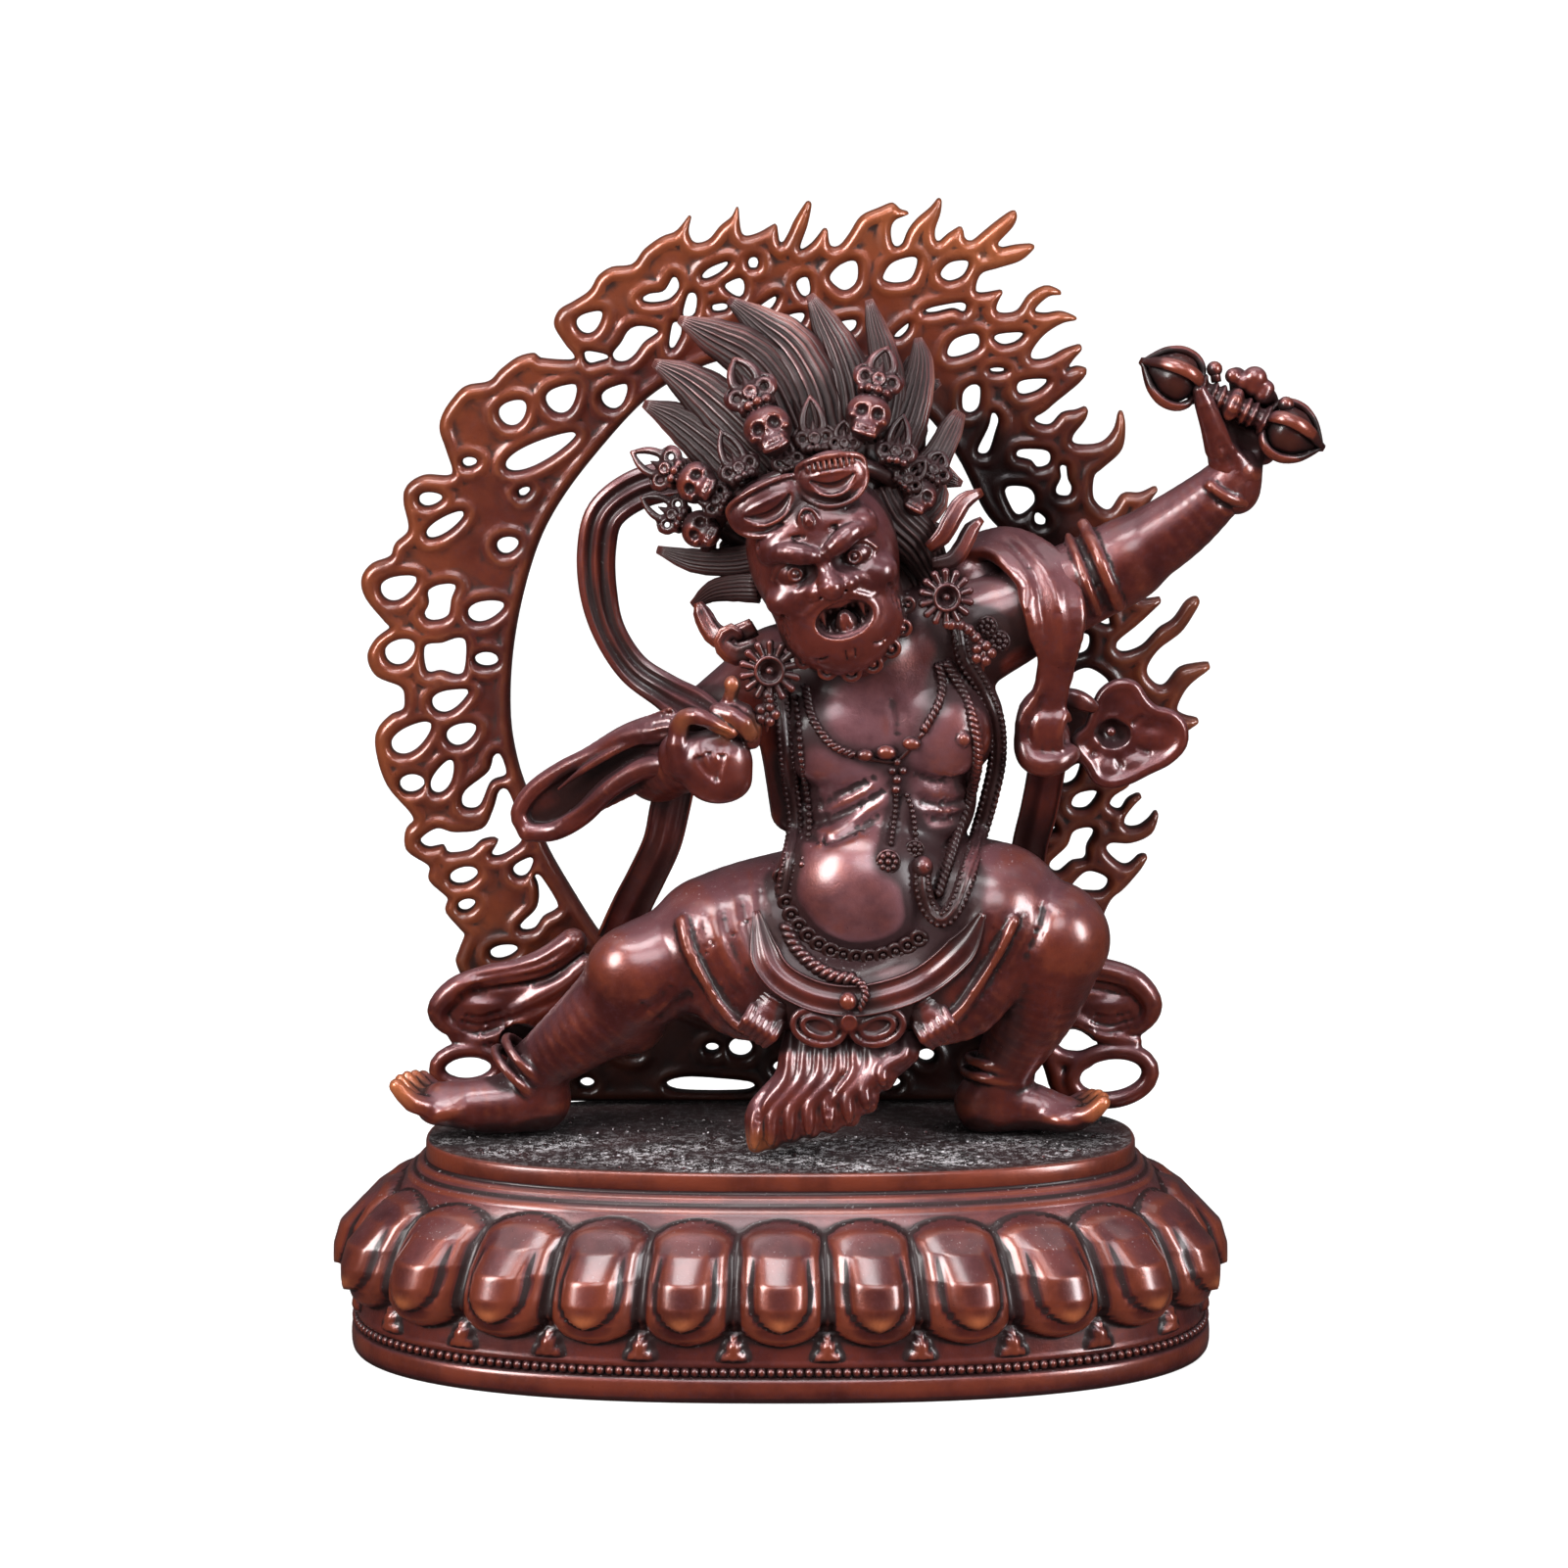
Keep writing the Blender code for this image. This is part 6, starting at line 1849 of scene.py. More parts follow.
# Each lock: pixels with depth from root to tip, and the half width in millimetres at each
FRONT_LOCKS = (
    (
        ((785, 505, -4), (757, 484, -2.5), (722, 452, -0.5), (690, 428, 1.5), (657, 412, 2.5)),
        (3.6, 3.9, 3.1, 2.2, 0.5),
    ),
    (
        ((795, 480, -4), (765, 446, -2.0), (731, 413, 0.5), (700, 388, 2), (667, 370, 3)),
        (3.8, 4.0, 3.5, 2.4, 0.5),
    ),
    (
        ((820, 460, -4), (793, 398, -1.5), (766, 364, 0.5), (728, 343, 2), (693, 326, 3)),
        (3.6, 3.7, 3.3, 2.3, 0.5),
    ),
    (
        ((842, 450, -4), (830, 398, -2.2), (807, 356, 0), (776, 330, 2), (744, 306, 3.4)),
        (3.9, 3.7, 3.4, 2.2, 0.5),
    ),
    (
        ((870, 455, -4), (868, 402, -2.5), (857, 362, -0.5), (842, 330, 1.5), (827, 301, 3)),
        (3.4, 3.2, 2.7, 1.8, 0.5),
    ),
    (
        ((893, 450, -4), (906, 400, -2), (902, 362, 0), (894, 332, 2), (887, 306, 3)),
        (2.8, 2.4, 1.9, 1.3, 0.5),
    ),
    (
        ((905, 470, -3.5), (925, 430, -2.5), (936, 394, -0.5), (940, 366, 1.5), (937, 345, 2.5)),
        (2.9, 2.7, 2.2, 1.5, 0.5),
    ),
    (
        ((915, 520, -5), (940, 492, -4), (959, 462, -2.5), (972, 436, -0.5), (980, 421, 0.5)),
        (2.9, 2.8, 1.8, 1.5, 0.8),
    ),
    (((897, 500, -6), (912, 530, -7), (938, 556, -6), (956, 592, -4)), (3.0, 3.2, 3.0, 1.8)),
    (((772, 570, -6), (742, 574, -4), (706, 572, -1.5), (671, 561, 0.5)), (1.9, 1.8, 1.5, 0.5)),
    (((775, 600, -6), (752, 600, -4.5), (728, 604, -2.5), (707, 618, -1)), (2.0, 1.8, 1.4, 0.5)),
)

# Pixels with depth, from root to tip
UNDER_LOCKS = (
    ((800, 500, -2), (760, 455, 0), (738, 425, 1.5)),
    ((815, 480, -2), (785, 415, 0.5), (765, 385, 2)),
    ((850, 470, -2), (845, 400, 0), (838, 360, 2)),
    ((890, 470, -2), (890, 400, 0), (884, 365, 2)),
    ((905, 480, -2), (918, 420, 0), (922, 392, 1.5)),
    ((780, 540, -2), (740, 515, 0), (715, 500, 1)),
    ((920, 520, -1), (945, 500, 0), (955, 480, 1)),
    ((905, 560, -2), (930, 580, -1), (940, 610, 0)),
    ((790, 560, -2), (755, 560, 0), (735, 560, 1)),
)


def lock(path, widths, ribs=18, depth=0.36, flat=0.46, facing=(0, -1, 0)):
    line = smooth_line(np.column_stack([path, np.asarray(widths) * 1.1]), 1.0)
    share = np.linspace(0, 1, len(line))
    thick = line[:, 3] * (1 + 0.02 * np.sin(40 * share))
    return tube(line[:, :3], thick, sides=ribs * 4, facing=facing, flat=flat, ribs=ribs, rib_depth=depth)


def groove_marks(points, sides):
    """How deep in a groove each point of a ribbed lock lies, from 0 to 1."""
    points = np.asarray(points)
    rows = len(points) // sides
    ring = points[: rows * sides].reshape(rows, sides, 3)
    away = np.linalg.norm(ring - ring.mean(1, keepdims=True), axis=2)
    around = np.max([np.roll(away, k, axis=1) for k in range(-2, 3)], axis=0)
    marks = np.clip((1 - away / np.maximum(around, 1e-6)) / 0.12, 0, 1)
    return np.concatenate([marks.ravel(), np.zeros(len(points) - rows * sides)])


def hair(material):
    parts, marks = [], []

    def grow(path, widths, ribs=18, **kind):
        parts.append(lock(path, widths, ribs=ribs, **kind))
        marks.append(groove_marks(parts[-1][0], ribs * 4))

    for pixels, widths in FRONT_LOCKS:
        grow(spots(pixels, 0), widths)
    # Under-locks that fill the gaps at the roots
    for pixels in UNDER_LOCKS:
        grow(spots(pixels, 0), (4.2, 3.6, 0.6))
    # Locks that stand up behind the crown
    root = np.array((6.2, 5.5, 90.0))
    for k in range(11):
        a = math.radians(-20 + 20 * k + 6 * math.sin(3.0 * k))
        way = np.array((math.cos(a), 0.0, math.sin(a)))
        reach = (15.5 + 3.5 * math.sin(2.1 * k + 0.5)) * (1.0 if 20 < math.degrees(a) < 160 else 0.85)
        side = np.cross(way, (0, 1, 0)) * (1.6 if k % 2 else -1.6)
        path = [
            root + way * 4, root + way * 9 + side * 0.4 + (0, 1, 0), root + way * (reach * 0.75 + 3) + side,
            root + way * (reach + 4),
        ]
        grow(path, (3.4, 3.8, 2.5, 0.4), ribs=16, flat=0.5)
    # Long locks down the back of the head
    for k in range(9):
        a = math.radians(-76 + 19 * k)
        path = []
        for t in (72, 50, 25, 0, -25, -50):
            c, s = math.cos(math.radians(t)), math.sin(math.radians(t))
            path.append(
                (6.4 + 12.2 * math.sin(a) * c + 0.02 * t, 1.6 + 9.4 * math.cos(a) * c, 89.5 + 12.6 * s)
            )
        path.append((8.6 + 8.6 * math.sin(a), 2.2 + 6.0 * math.cos(a), 72.5))
        facing = np.array((math.sin(a), math.cos(a), 0.0))
        grow(path, (1.4, 2.4, 2.9, 3.0, 2.9, 2.6, 1.0), ribs=14, flat=0.55, facing=facing)
    obj, _ = add_trim("hair", parts, material)
    # Painted shade in the grooves between the ribs
    set_values(obj, "painted_shade", np.concatenate(marks) * 0.45)
    f = Field((-8.0, -10.0, 66.0), (21.0, 12.5, 104.5), 0.6)
    f.ball((6.3, 1.2, 90), (12.2, 9.0, 12.6), blend=1)
    f.ball((8.6, 1.8, 78), (10.6, 7.0, 9.6), blend=3)
    add_trim("hair_mass", [f.skin()], material, MOST_TRIANGLES["hair_mass"])


def earring(material, name, centre, facing, radius, drop):
    """A round flower with many petals and a bead chain with a leaf below it."""
    facing = unit(facing)
    up = unit(np.array((0.0, 0.0, 1.0)) - facing * facing[2])
    right = np.cross(facing, up)
    reach = np.array((radius + 1.2, 2.6, radius + 1.2)) + np.abs(facing) * 1.0
    f = Field(centre - reach, centre + reach, 0.14)
    for k in range(14):
        a = 2 * math.pi * (k + 0.5) / 14
        way = right * math.cos(a) + up * math.sin(a)
        f.limb(
            [centre + way * radius * 0.5, centre + way * radius * 0.95 - facing * 0.1], [0.36, 0.56],
            blend=0.04, spacing=0.4,
        )
    f.ball(centre - facing * 0.5, (radius * 0.8, 0.6, radius * 0.8), blend=0.15, axes=(right, facing, up))
    f.ring(centre + facing * 0.35, facing, radius * 0.47, 0.3, blend=0.1)
    f.ball(centre + facing * 0.5, radius * 0.36, blend=0.1, cut=True)
    f.ball(centre + facing * 0.2, radius * 0.15, blend=0.05)
    parts = [f.skin()]
    line = smooth_line([centre - up * radius] + [np.array(p) for p in drop], 0.75)
    for k, p in enumerate(line):
        parts.append(bead(p, 0.62 + 0.16 * (k % 2), sides=10, rows=7))
    end = line[-1]
    for k in range(5):
        a = 2 * math.pi * k / 5
        parts.append(
            bead(
                end + np.array((1.05 * math.cos(a), -0.3, -0.9 + 1.05 * math.sin(a))), 0.78, sides=10,
                rows=7,
            )
        )
    parts.append(tube([end, end + (0, 0, -1.5), end + (0, 0, -3.4)], [0.5, 0.7, 0.1], sides=10))
    add_trim(name, parts, material, MOST_TRIANGLES[name])


def earrings(material):
    right = np.array(spot(966, 610, -11.5))
    earring(
        material, "earring_right", right, (0.25, -1, 0.1), 3.6,
        (spot(985, 640, -11.0), spot(1004, 660, -10.4)),
    )
    left = np.array(spot(786, 685, -13.0))
    earring(
        material, "earring_left", left, (-0.1, -1, 0.1), 3.9, (spot(784, 710, -13.2), spot(783, 722, -13.0))
    )
    parts = []
    for pixels, width in (
        (
            ((948, 560, -8.5), (962, 548, -8.5), (972, 530, -8), (984, 512, -7), (1003, 502, -6)),
            (0.8, 1.1, 1.2, 1.1, 0.5),
        ),
        (
            ((952, 576, -8), (972, 572, -7.5), (984, 556, -7), (992, 540, -6.4), (1003, 530, -6)),
            (0.8, 1.1, 1.1, 1.0, 0.4),
        ),
        (
            ((770, 640, -8), (745, 652, -7), (728, 646, -6), (716, 624, -5), (713, 615, -5)),
            (1.2, 1.5, 1.4, 1.1, 0.5),
        ),
        (
            ((775, 660, -9), (752, 668, -8.5), (738, 655, -8), (748, 645, -8), (757, 652, -8.4)),
            (1.2, 1.5, 1.3, 1.1, 0.5),
        ),
    ):
        parts.append(lock(spots(pixels, 0), width, ribs=6, depth=0.2, flat=0.4))
    add_trim("ear_ribbons", parts, material)


# Scarf


def folded(folds, wave, thick):
    """The section of a ribbon with lengthwise folds, for tube."""

    def section(a):
        u = np.cos(a)
        side = np.sign(np.sin(a)) * np.abs(np.sin(a)) ** 0.5
        edge = 0.16 * np.exp(-(((np.abs(u) - 0.93) / 0.10) ** 2))
        v = side * (thick + edge) + wave * np.cos(math.pi * folds * u)
        return u, v

    return section


def ribbon(path, widths, facing=(0, -1, 0), folds=3, wave=0.10, thick=0.24):
    facing = np.broadcast_to(np.asarray(facing, float), (len(path), 3))
    line = smooth_line(np.column_stack([path, np.asarray(widths) / 2, facing]), 0.7)
    return tube(line[:, :3], line[:, 3], sides=72, facing=line[:, 4:7], section=folded(folds, wave, thick))


def scarf_left(material):
    parts = []
    loop = spots(
        (
            (790, 480, 7), (740, 486, 7.5), (690, 490, 7), (650, 500, 6), (618, 525, 5.5), (609, 562, 5.5),
            (611, 605, 5.2), (622, 645, 4.6), (646, 682, 3.6), (678, 705, 1), (706, 722, -4),
            (730, 733, -8),
        ),
        5,
    )
    widths = (5.2, 5.6, 5.6, 5.6, 5.4, 5.4, 5.2, 4.6, 4.6, 5.0, 6.0, 4.0)
    parts.append(
        ribbon(
            loop, widths, facing=[(0, -1, 0.2)] * 9 + [(-0.3, -1, 0.5), (-0.3, -0.9, 0.8), (0, -0.8, 0.8)]
        )
    )
    strap = spots(
        ((690, 800, 0), (684, 825, 2), (676, 860, 4), (660, 895, 6), (645, 925, 7.5), (632, 960, 9)), 3
    )
    parts.append(ribbon(strap, (5.4, 5.6, 5.4, 5.4, 5.6, 6.4), folds=2, wave=0.05, thick=0.2))
    points, faces = merged(parts)
    add_piece(
        "scarf_left", points, faces, material, "figure_copper", fine=3, broad=12,
        most=MOST_TRIANGLES["scarf_left"],
    )
    f = Field((-39.5, -14.5, 41.0), (-8.0, 5.0, 66.5), 0.25)
    f.strip(
        spots(((700, 752, -8), (655, 770, -5), (610, 795, -2.5), (570, 822, -0.6), (548, 838, 0)), -4),
        [9.5, 9.6, 8.6, 6.6, 3.0], 1.2, (-0.15, -1.0, -0.25), blend=0.5, edge=0.4,
    )
    f.limb(
        spots(
            (
                (712, 738, -9), (680, 745, -8), (640, 752, -6), (610, 768, -4.2), (575, 785, -2.6),
                (545, 806, -1.4), (530, 830, -1), (538, 848, -1.2),
            ),
            -5,
        ),
        [1.8, 2.0, 1.5, 1.2, 1.2, 1.2, 1.2, 1.3], blend=0.5, spacing=0.8,
    )
    f.limb(
        spots(
            (
                (712, 776, -9), (680, 780, -8), (652, 786, -6.5), (622, 804, -5), (594, 832, -3.2),
                (566, 848, -2), (540, 850, -1.4),
            ),
            -5,
        ),
        [1.8, 1.8, 1.6, 1.6, 1.5, 1.4, 1.3], blend=0.5, spacing=0.8,
    )
    f.limb(
        spots(((655, 764, -7.6), (618, 788, -5.8), (585, 814, -4.2), (560, 832, -3)), -5),
        [0.5, 0.95, 0.8, 0.3], blend=0.6, spacing=0.8, cut=True,
    )
    f.limb(
        spots(((664, 752, -8.4), (630, 766, -6.6), (596, 786, -4.8), (570, 806, -3.4)), -5),
        [0.3, 0.55, 0.5, 0.2], blend=0.5, spacing=0.8,
    )
    f.trace(f.meet(((630, 800), (600, 822), (570, 840))), 0.5, -0.3)
    # Folds over the wrist
    for pixels in (
        ((650, 735), (680, 728), (705, 733)), ((655, 742), (685, 737), (708, 744)),
        ((662, 750), (688, 748), (706, 756)),
    ):
        f.trace(f.meet(pixels), 0.45, 0.45, spacing=0.7)
    return add_piece("scarf_fold", *surface(f, "scarf_fold"), material, "figure_copper", fine=3, broad=14)


RUFFLE = (
    (1098, 756), (1112, 744), (1118, 728), (1127, 708), (1142, 699), (1157, 701), (1167, 716), (1178, 726),
    (1194, 730), (1206, 742), (1206, 760), (1192, 775), (1172, 785), (1152, 795), (1134, 799), (1120, 794),
    (1112, 780), (1102, 768),
)


def scarf_right(material):
    f = Field((18.0, -12.5, 43.0), (46.5, 9.0, 87.5), 0.28)
    f.ball((26.5, 2.5, 76.5), (6.0, 4.4, 5.0), blend=1.5)
    f.strip(
        [
            (22.5, 6.5, 74), (23.5, 5.5, 80.0), (30.0, 1.5, 82.6), (35.4, -4.0, 79.6), (37.2, -6.6, 74.5),
            (37.6, -6.4, 69.5), (37.4, -4.4, 65.4),
        ],
        [7, 7.4, 8.2, 8.6, 8.4, 5.8, 4.4], 2.0,
        [
            (-1, 0.3, 0.2), (-0.6, 0, 1), (0.1, -0.5, 1), (0.3, -1, 0.6), (0.1, -1, 0.2), (0, -1, 0),
            (0, -1, -0.2),
        ],
        blend=0.6, edge=0.7,
    )
    f.strip(
        [(37.4, -4.6, 66), (36.6, -4.2, 62), (35.2, -3.8, 59), (35.0, -2.6, 55)], [4.6, 5.2, 6.2, 5.4], 2.6,
        (0.2, -1, 0), blend=0.8, edge=0.8,
    )
    for pixels, depth in (
        (((1012, 545), (1038, 562), (1056, 588), (1064, 620), (1068, 660), (1060, 700)), 0.75),
        (((1030, 590), (1042, 612), (1050, 632), (1054, 668)), -0.6),
        (((1020, 534), (1050, 562), (1072, 590), (1080, 621), (1086, 675)), -0.7),
        (((1022, 562), (1036, 582), (1048, 606)), 0.4),
        (((1070, 705), (1062, 722), (1056, 742)), 0.5),
        (((1052, 700), (1044, 718), (1040, 738)), -0.4),
    ):
        f.trace(f.meet(pixels), 0.6, depth, spacing=0.8)
    # Knot: a loop round the strap, with the ends drawn through it
    f.limb(
        spots(
            (
                (1052, 745, -2), (1048, 760, -3.4), (1052, 774, -4.2), (1064, 780, -4.6), (1080, 778, -4.4),
                (1092, 770, -3.4),
            ),
            -3,
        ),
        [1.7, 1.8, 1.8, 1.8, 1.7, 1.5], blend=0.4, spacing=0.7,
    )
    for px in (1062, 1072, 1083):
        f.limb(
            spots(((px - 2, 768, -4.4), (px - 3, 745, -5.0), (px + 3, 730, -4.6), (px + 8, 735, -3.6)), -4),
            [0.8, 1.0, 0.95, 0.6], blend=0.3, spacing=0.7,
        )
    f.limb(
        spots(((1072, 712, -1.0), (1090, 712, -1.4), (1104, 716, -1.6), (1117, 722, -1.4)), -1),
        [1.2, 1.4, 1.4, 0.9], blend=0.4, spacing=0.7,
    )
    f.limb(
        spots(((1086, 706, -2.2), (1102, 710, -2.4), (1116, 716, -2.0)), -1), [0.5, 0.6, 0.4], blend=0.3,
        spacing=0.7,
    )
    f.ball(spot(1068, 752, -1.2), (3.4, 3.0, 3.6), blend=0.8)
    add_piece(
        "scarf_right", *surface(f, "scarf_right", rounds=8), material, "figure_copper", fine=3, broad=14
    )
    strap = spots(((1070, 775, 0.5), (1066, 800, 3), (1060, 830, 5), (1052, 860, 6.5), (1046, 900, 8)), 3)
    points, faces = ribbon(strap, (5.2, 5.2, 5.2, 5.0, 5.0), folds=2, wave=0.05, thick=0.26)
    add_piece("scarf_strap", points, faces, material, "figure_copper", fine=3, broad=12)

    f = Field((38.0, -4.5, 47.5), (57.5, 5.5, 65.0), 0.2)
    rim = spots(RUFFLE, -0.9)
    centre = np.array(spot(1144, 752, 0.6))
    f.ball(np.array(spot(1160, 752, 0.9)), (6.4, 1.6, 4.2), turn=-8, blend=0.5)
    f.ball(np.array(spot(1143, 722, 0.9)), (3.1, 1.6, 3.4), blend=1.0)
    f.ball(np.array(spot(1136, 780, 0.9)), (3.6, 1.6, 3.0), blend=1.0)
    f.ball(np.array(spot(1116, 756, 0.9)), (3.0, 1.8, 2.4), blend=1.0)
    loop = smooth_line(rim, 0.8, closed=True)
    loop = np.vstack([loop, loop[:1]])
    for k in range(len(loop) - 1):
        inward = loop[k] * 0.72 + centre * 0.28
        f.limb([loop[k], inward + np.array((0, 0.7, 0))], [0.75, 1.0], blend=0.4, spacing=1.2)
    f.limb(loop, np.full(len(loop), 0.82), blend=0.3, spacing=0.8)
    f.ball(spot(1137, 750, -1.2), (2.5, 2.4, 2.1), blend=0.4, cut=True)
    f.ring(np.array(spot(1137, 750, -0.3)), (0, 1, 0.1), 2.6, 0.34, blend=0.3)
    f.ball(spot(1134, 747, -0.6), 0.75, blend=0.1)
    for px, py, wide, high, turn in (
        (1150, 722, 1.9, 2.4, 10), (1184, 752, 2.9, 1.9, 0), (1158, 778, 2.6, 1.5, -14),
        (1130, 784, 1.8, 1.6, 0), (1116, 757, 1.3, 1.1, 0),
    ):
        f.ball(spot(px, py, 0.6), (wide, 1.7, high), turn=turn, blend=0.7)
    for pixels in (
        ((1152, 742), (1166, 732)), ((1158, 760), (1172, 768)), ((1138, 768), (1144, 782)),
        ((1122, 762), (1116, 770)),
    ):
        f.trace(f.meet(pixels), 0.4, 0.4, spacing=0.6)
    add_piece(
        "scarf_ruffle", *surface(f, "scarf_ruffle", rounds=4), material, "figure_copper", fine=3, broad=14
    )


CURL_DEPTH = 9.5


def scarf_curls(material):
    """The two curled scarf ends beside the legs, in relief on the aureole."""
    f = Field((-54.5, 5.0, 0.0), (-24.0, 15.0, 27.0), 0.26)
    y = CURL_DEPTH
    f.ball(spot(488, 1028, y + 0.8), (6.0, 2.0, 4.9), turn=-10, blend=0.8)
    f.ball(spot(535, 1012, y + 0.9), (7.0, 1.9, 4.4), turn=-24, blend=1.2)
    f.limb(
        spots(
            (
                (585, 962, y), (560, 980, y), (530, 992, y), (498, 998, y), (465, 1010, y - 0.4),
                (447, 1032, y - 0.4), (462, 1050, y), (495, 1050, y),
            ),
            y,
        ),
        [2.0, 2.0, 1.9, 1.8, 1.7, 1.5, 1.2, 0.9], blend=0.6, spacing=0.9,
    )
    f.limb(
        spots(((598, 985, y), (575, 1004, y), (548, 1018, y), (526, 1030, y)), y), [1.6, 1.8, 1.8, 1.4],
        blend=0.6, spacing=0.9,
    )
    f.limb(
        spots(((574, 1022, y), (548, 1034, y), (520, 1052, y), (492, 1062, y), (464, 1059, y)), y),
        [1.5, 1.6, 1.5, 1.4, 0.8], blend=0.6, spacing=0.9,
    )
    f.limb(
        spots(((555, 1045, y), (556, 1064, y), (538, 1077, y), (512, 1074, y), (500, 1062, y)), y),
        [1.3, 1.2, 1.2, 1.1, 1.0], blend=0.5, spacing=0.9,
    )
    ring = oval(spot(478, 1090, y - 0.4), (1, 0, 0.1), (-0.15, 0, 1), 4.4, 2.6, steps=18)
    f.limb(ring, np.full(19, 1.15), blend=0.5, spacing=0.9)
    f.limb(
        spots(((545, 1075, y), (525, 1088, y), (508, 1100, y), (498, 1112, y)), y), [1.3, 1.3, 1.2, 1.0],
        blend=0.6, spacing=0.9,
    )
    f.limb(
        spots(((474, 1020, y - 2), (490, 1016, y - 2), (508, 1020, y - 2)), y), [1.0, 1.5, 1.0], blend=0.5,
        spacing=0.6, cut=True,
    )
    f.limb(
        spots(((520, 1060, y - 1), (530, 1057, y - 1), (540, 1058, y - 1)), y), [1.3, 1.7, 1.3], blend=0.4,
        spacing=0.6, cut=True,
    )
    f.limb(
        spots(((520, 1060, y + 1), (530, 1057, y + 1), (540, 1058, y + 1)), y), [1.3, 1.7, 1.3], blend=0.4,
        spacing=0.6, cut=True,
    )
    for k in range(3):
        f.trace(
            f.meet([(470 - 4 * k, 1034 + 7 * k), (490, 1040 + 7 * k), (510 + 2 * k, 1034 + 7 * k)]), 0.42,
            0.55, spacing=0.7,
        )
    for k in range(3):
        f.trace(
            f.meet(
                [
                    (470 + 6 * k, 1004 + 7 * k - 4), (510, 994 + 7 * k), (552, 984 + 9 * k),
                    (578, 968 + 12 * k),
                ]
            ),
            0.42, 0.5, spacing=0.7,
        )
    f.trace(f.meet([(545, 1040), (520, 1058), (495, 1066)]), 0.42, 0.45, spacing=0.7)
    add_piece("curl_left", *surface(f, "curl_left"), material, "figure_copper", fine=3, broad=14)

    f = Field((30.0, 5.0, 0.0), (56.0, 15.0, 27.0), 0.26)
    f.ball(spot(1135, 1028, y + 0.8), (6.4, 2.0, 5.0), turn=10, blend=0.8)
    f.ball(spot(1090, 1018, y + 0.9), (6.0, 1.9, 5.0), turn=18, blend=1.2)
    f.limb(
        spots(
            (
                (1048, 975, y), (1072, 985, y), (1100, 990, y), (1130, 992, y), (1160, 1003, y - 0.4),
                (1176, 1026, y - 0.4), (1164, 1046, y), (1130, 1050, y),
            ),
            y,
        ),
        [2.0, 2.0, 1.9, 1.8, 1.7, 1.5, 1.2, 0.9], blend=0.6, spacing=0.9,
    )
    f.limb(
        spots(((1052, 1000, y), (1070, 1024, y), (1096, 1040, y), (1130, 1056, y), (1158, 1064, y)), y),
        [1.6, 1.7, 1.6, 1.5, 1.1], blend=0.6, spacing=0.9,
    )
    f.limb(
        spots(((1070, 1030, y), (1064, 1056, y), (1080, 1078, y), (1108, 1082, y)), y),
        [1.4, 1.4, 1.3, 1.2], blend=0.6, spacing=0.9,
    )
    ring = oval(spot(1134, 1098, y - 0.4), (1, 0, 0.05), (0.1, 0, 1), 5.6, 3.6, steps=20)
    f.limb(ring, np.full(21, 1.25), blend=0.5, spacing=0.9)
    f.limb(
        spots(((1066, 1066, y), (1076, 1090, y), (1082, 1110, y), (1100, 1130, y)), y),
        [1.3, 1.4, 1.3, 1.2], blend=0.6, spacing=0.9,
    )
    f.limb(
        spots(((1118, 1021, y - 2), (1132, 1017, y - 2), (1148, 1021, y - 2)), y), [0.9, 1.3, 0.9],
        blend=0.5, spacing=0.6, cut=True,
    )
    for deep in (-1, 1):
        f.limb(
            spots(((1086, 1058, y + deep), (1096, 1060, y + deep), (1108, 1062, y + deep)), y),
            [1.1, 1.5, 1.1], blend=0.4, spacing=0.6, cut=True,
        )
    for k in range(3):
        f.trace(
            f.meet([(1112 - 2 * k, 1034 + 7 * k), (1132, 1040 + 7 * k), (1152 + 3 * k, 1034 + 7 * k)]),
            0.42, 0.55, spacing=0.7,
        )
    for k in range(3):
        f.trace(
            f.meet([(1060, 982 + 12 * k), (1090, 990 + 9 * k), (1120, 996 + 7 * k), (1150, 1004 + 6 * k)]),
            0.42, 0.5, spacing=0.7,
        )
    add_piece("curl_right", *surface(f, "curl_right"), material, "figure_copper", fine=3, broad=14)


# Jewellery, garland and sash, laid on the body along the camera's lines


def run_along(line):
    """How far along the line each of its points lies."""
    return np.concatenate([[0], np.cumsum(np.linalg.norm(np.diff(line, axis=0), axis=1))])


def even_places(path, gap):
    """Places spaced evenly along a path."""
    line = smooth_line(path, 0.1)
    length = run_along(line)
    return [
        np.array([np.interp(at, length, line[:, j]) for j in range(3)])
        for at in np.arange(0, length[-1], gap)
    ]


STRANDS = 2


def twisted(path, radius, pitch=1.5):
    """A rope of strands wound round the path."""
    line = smooth_line(path, 0.3)
    along = unit(np.gradient(line, axis=0))
    across = unit(np.cross(along, (0.0, -1.0, 0.0)))
    out = np.cross(across, along)
    length = run_along(line)
    parts = []
    for k in range(STRANDS):
        a = 2 * np.pi * (length / pitch + k / STRANDS)
        wound = line + radius * 0.55 * (across * np.cos(a)[:, None] + out * np.sin(a)[:, None])
        parts.append(tube(wound, radius * 0.62, sides=8))
    return parts


def string_of(path, radius, gap, sides=12):
    """Beads spaced evenly along a path."""
    return [bead(place, radius, sides=sides, rows=8) for place in even_places(path, gap)]


def ring_chain(path, radius, gap):
    """Small rings lying side by side, each with a bead in it."""
    parts = []
    for place in even_places(path, gap):
        loop = oval(place, (1, 0, 0), (0, -0.25, 1), radius, radius, steps=14)
        parts.append(tube(loop, radius * 0.42, sides=8))
        parts.append(bead(place, radius * 0.5, sides=8, rows=6))
    return parts


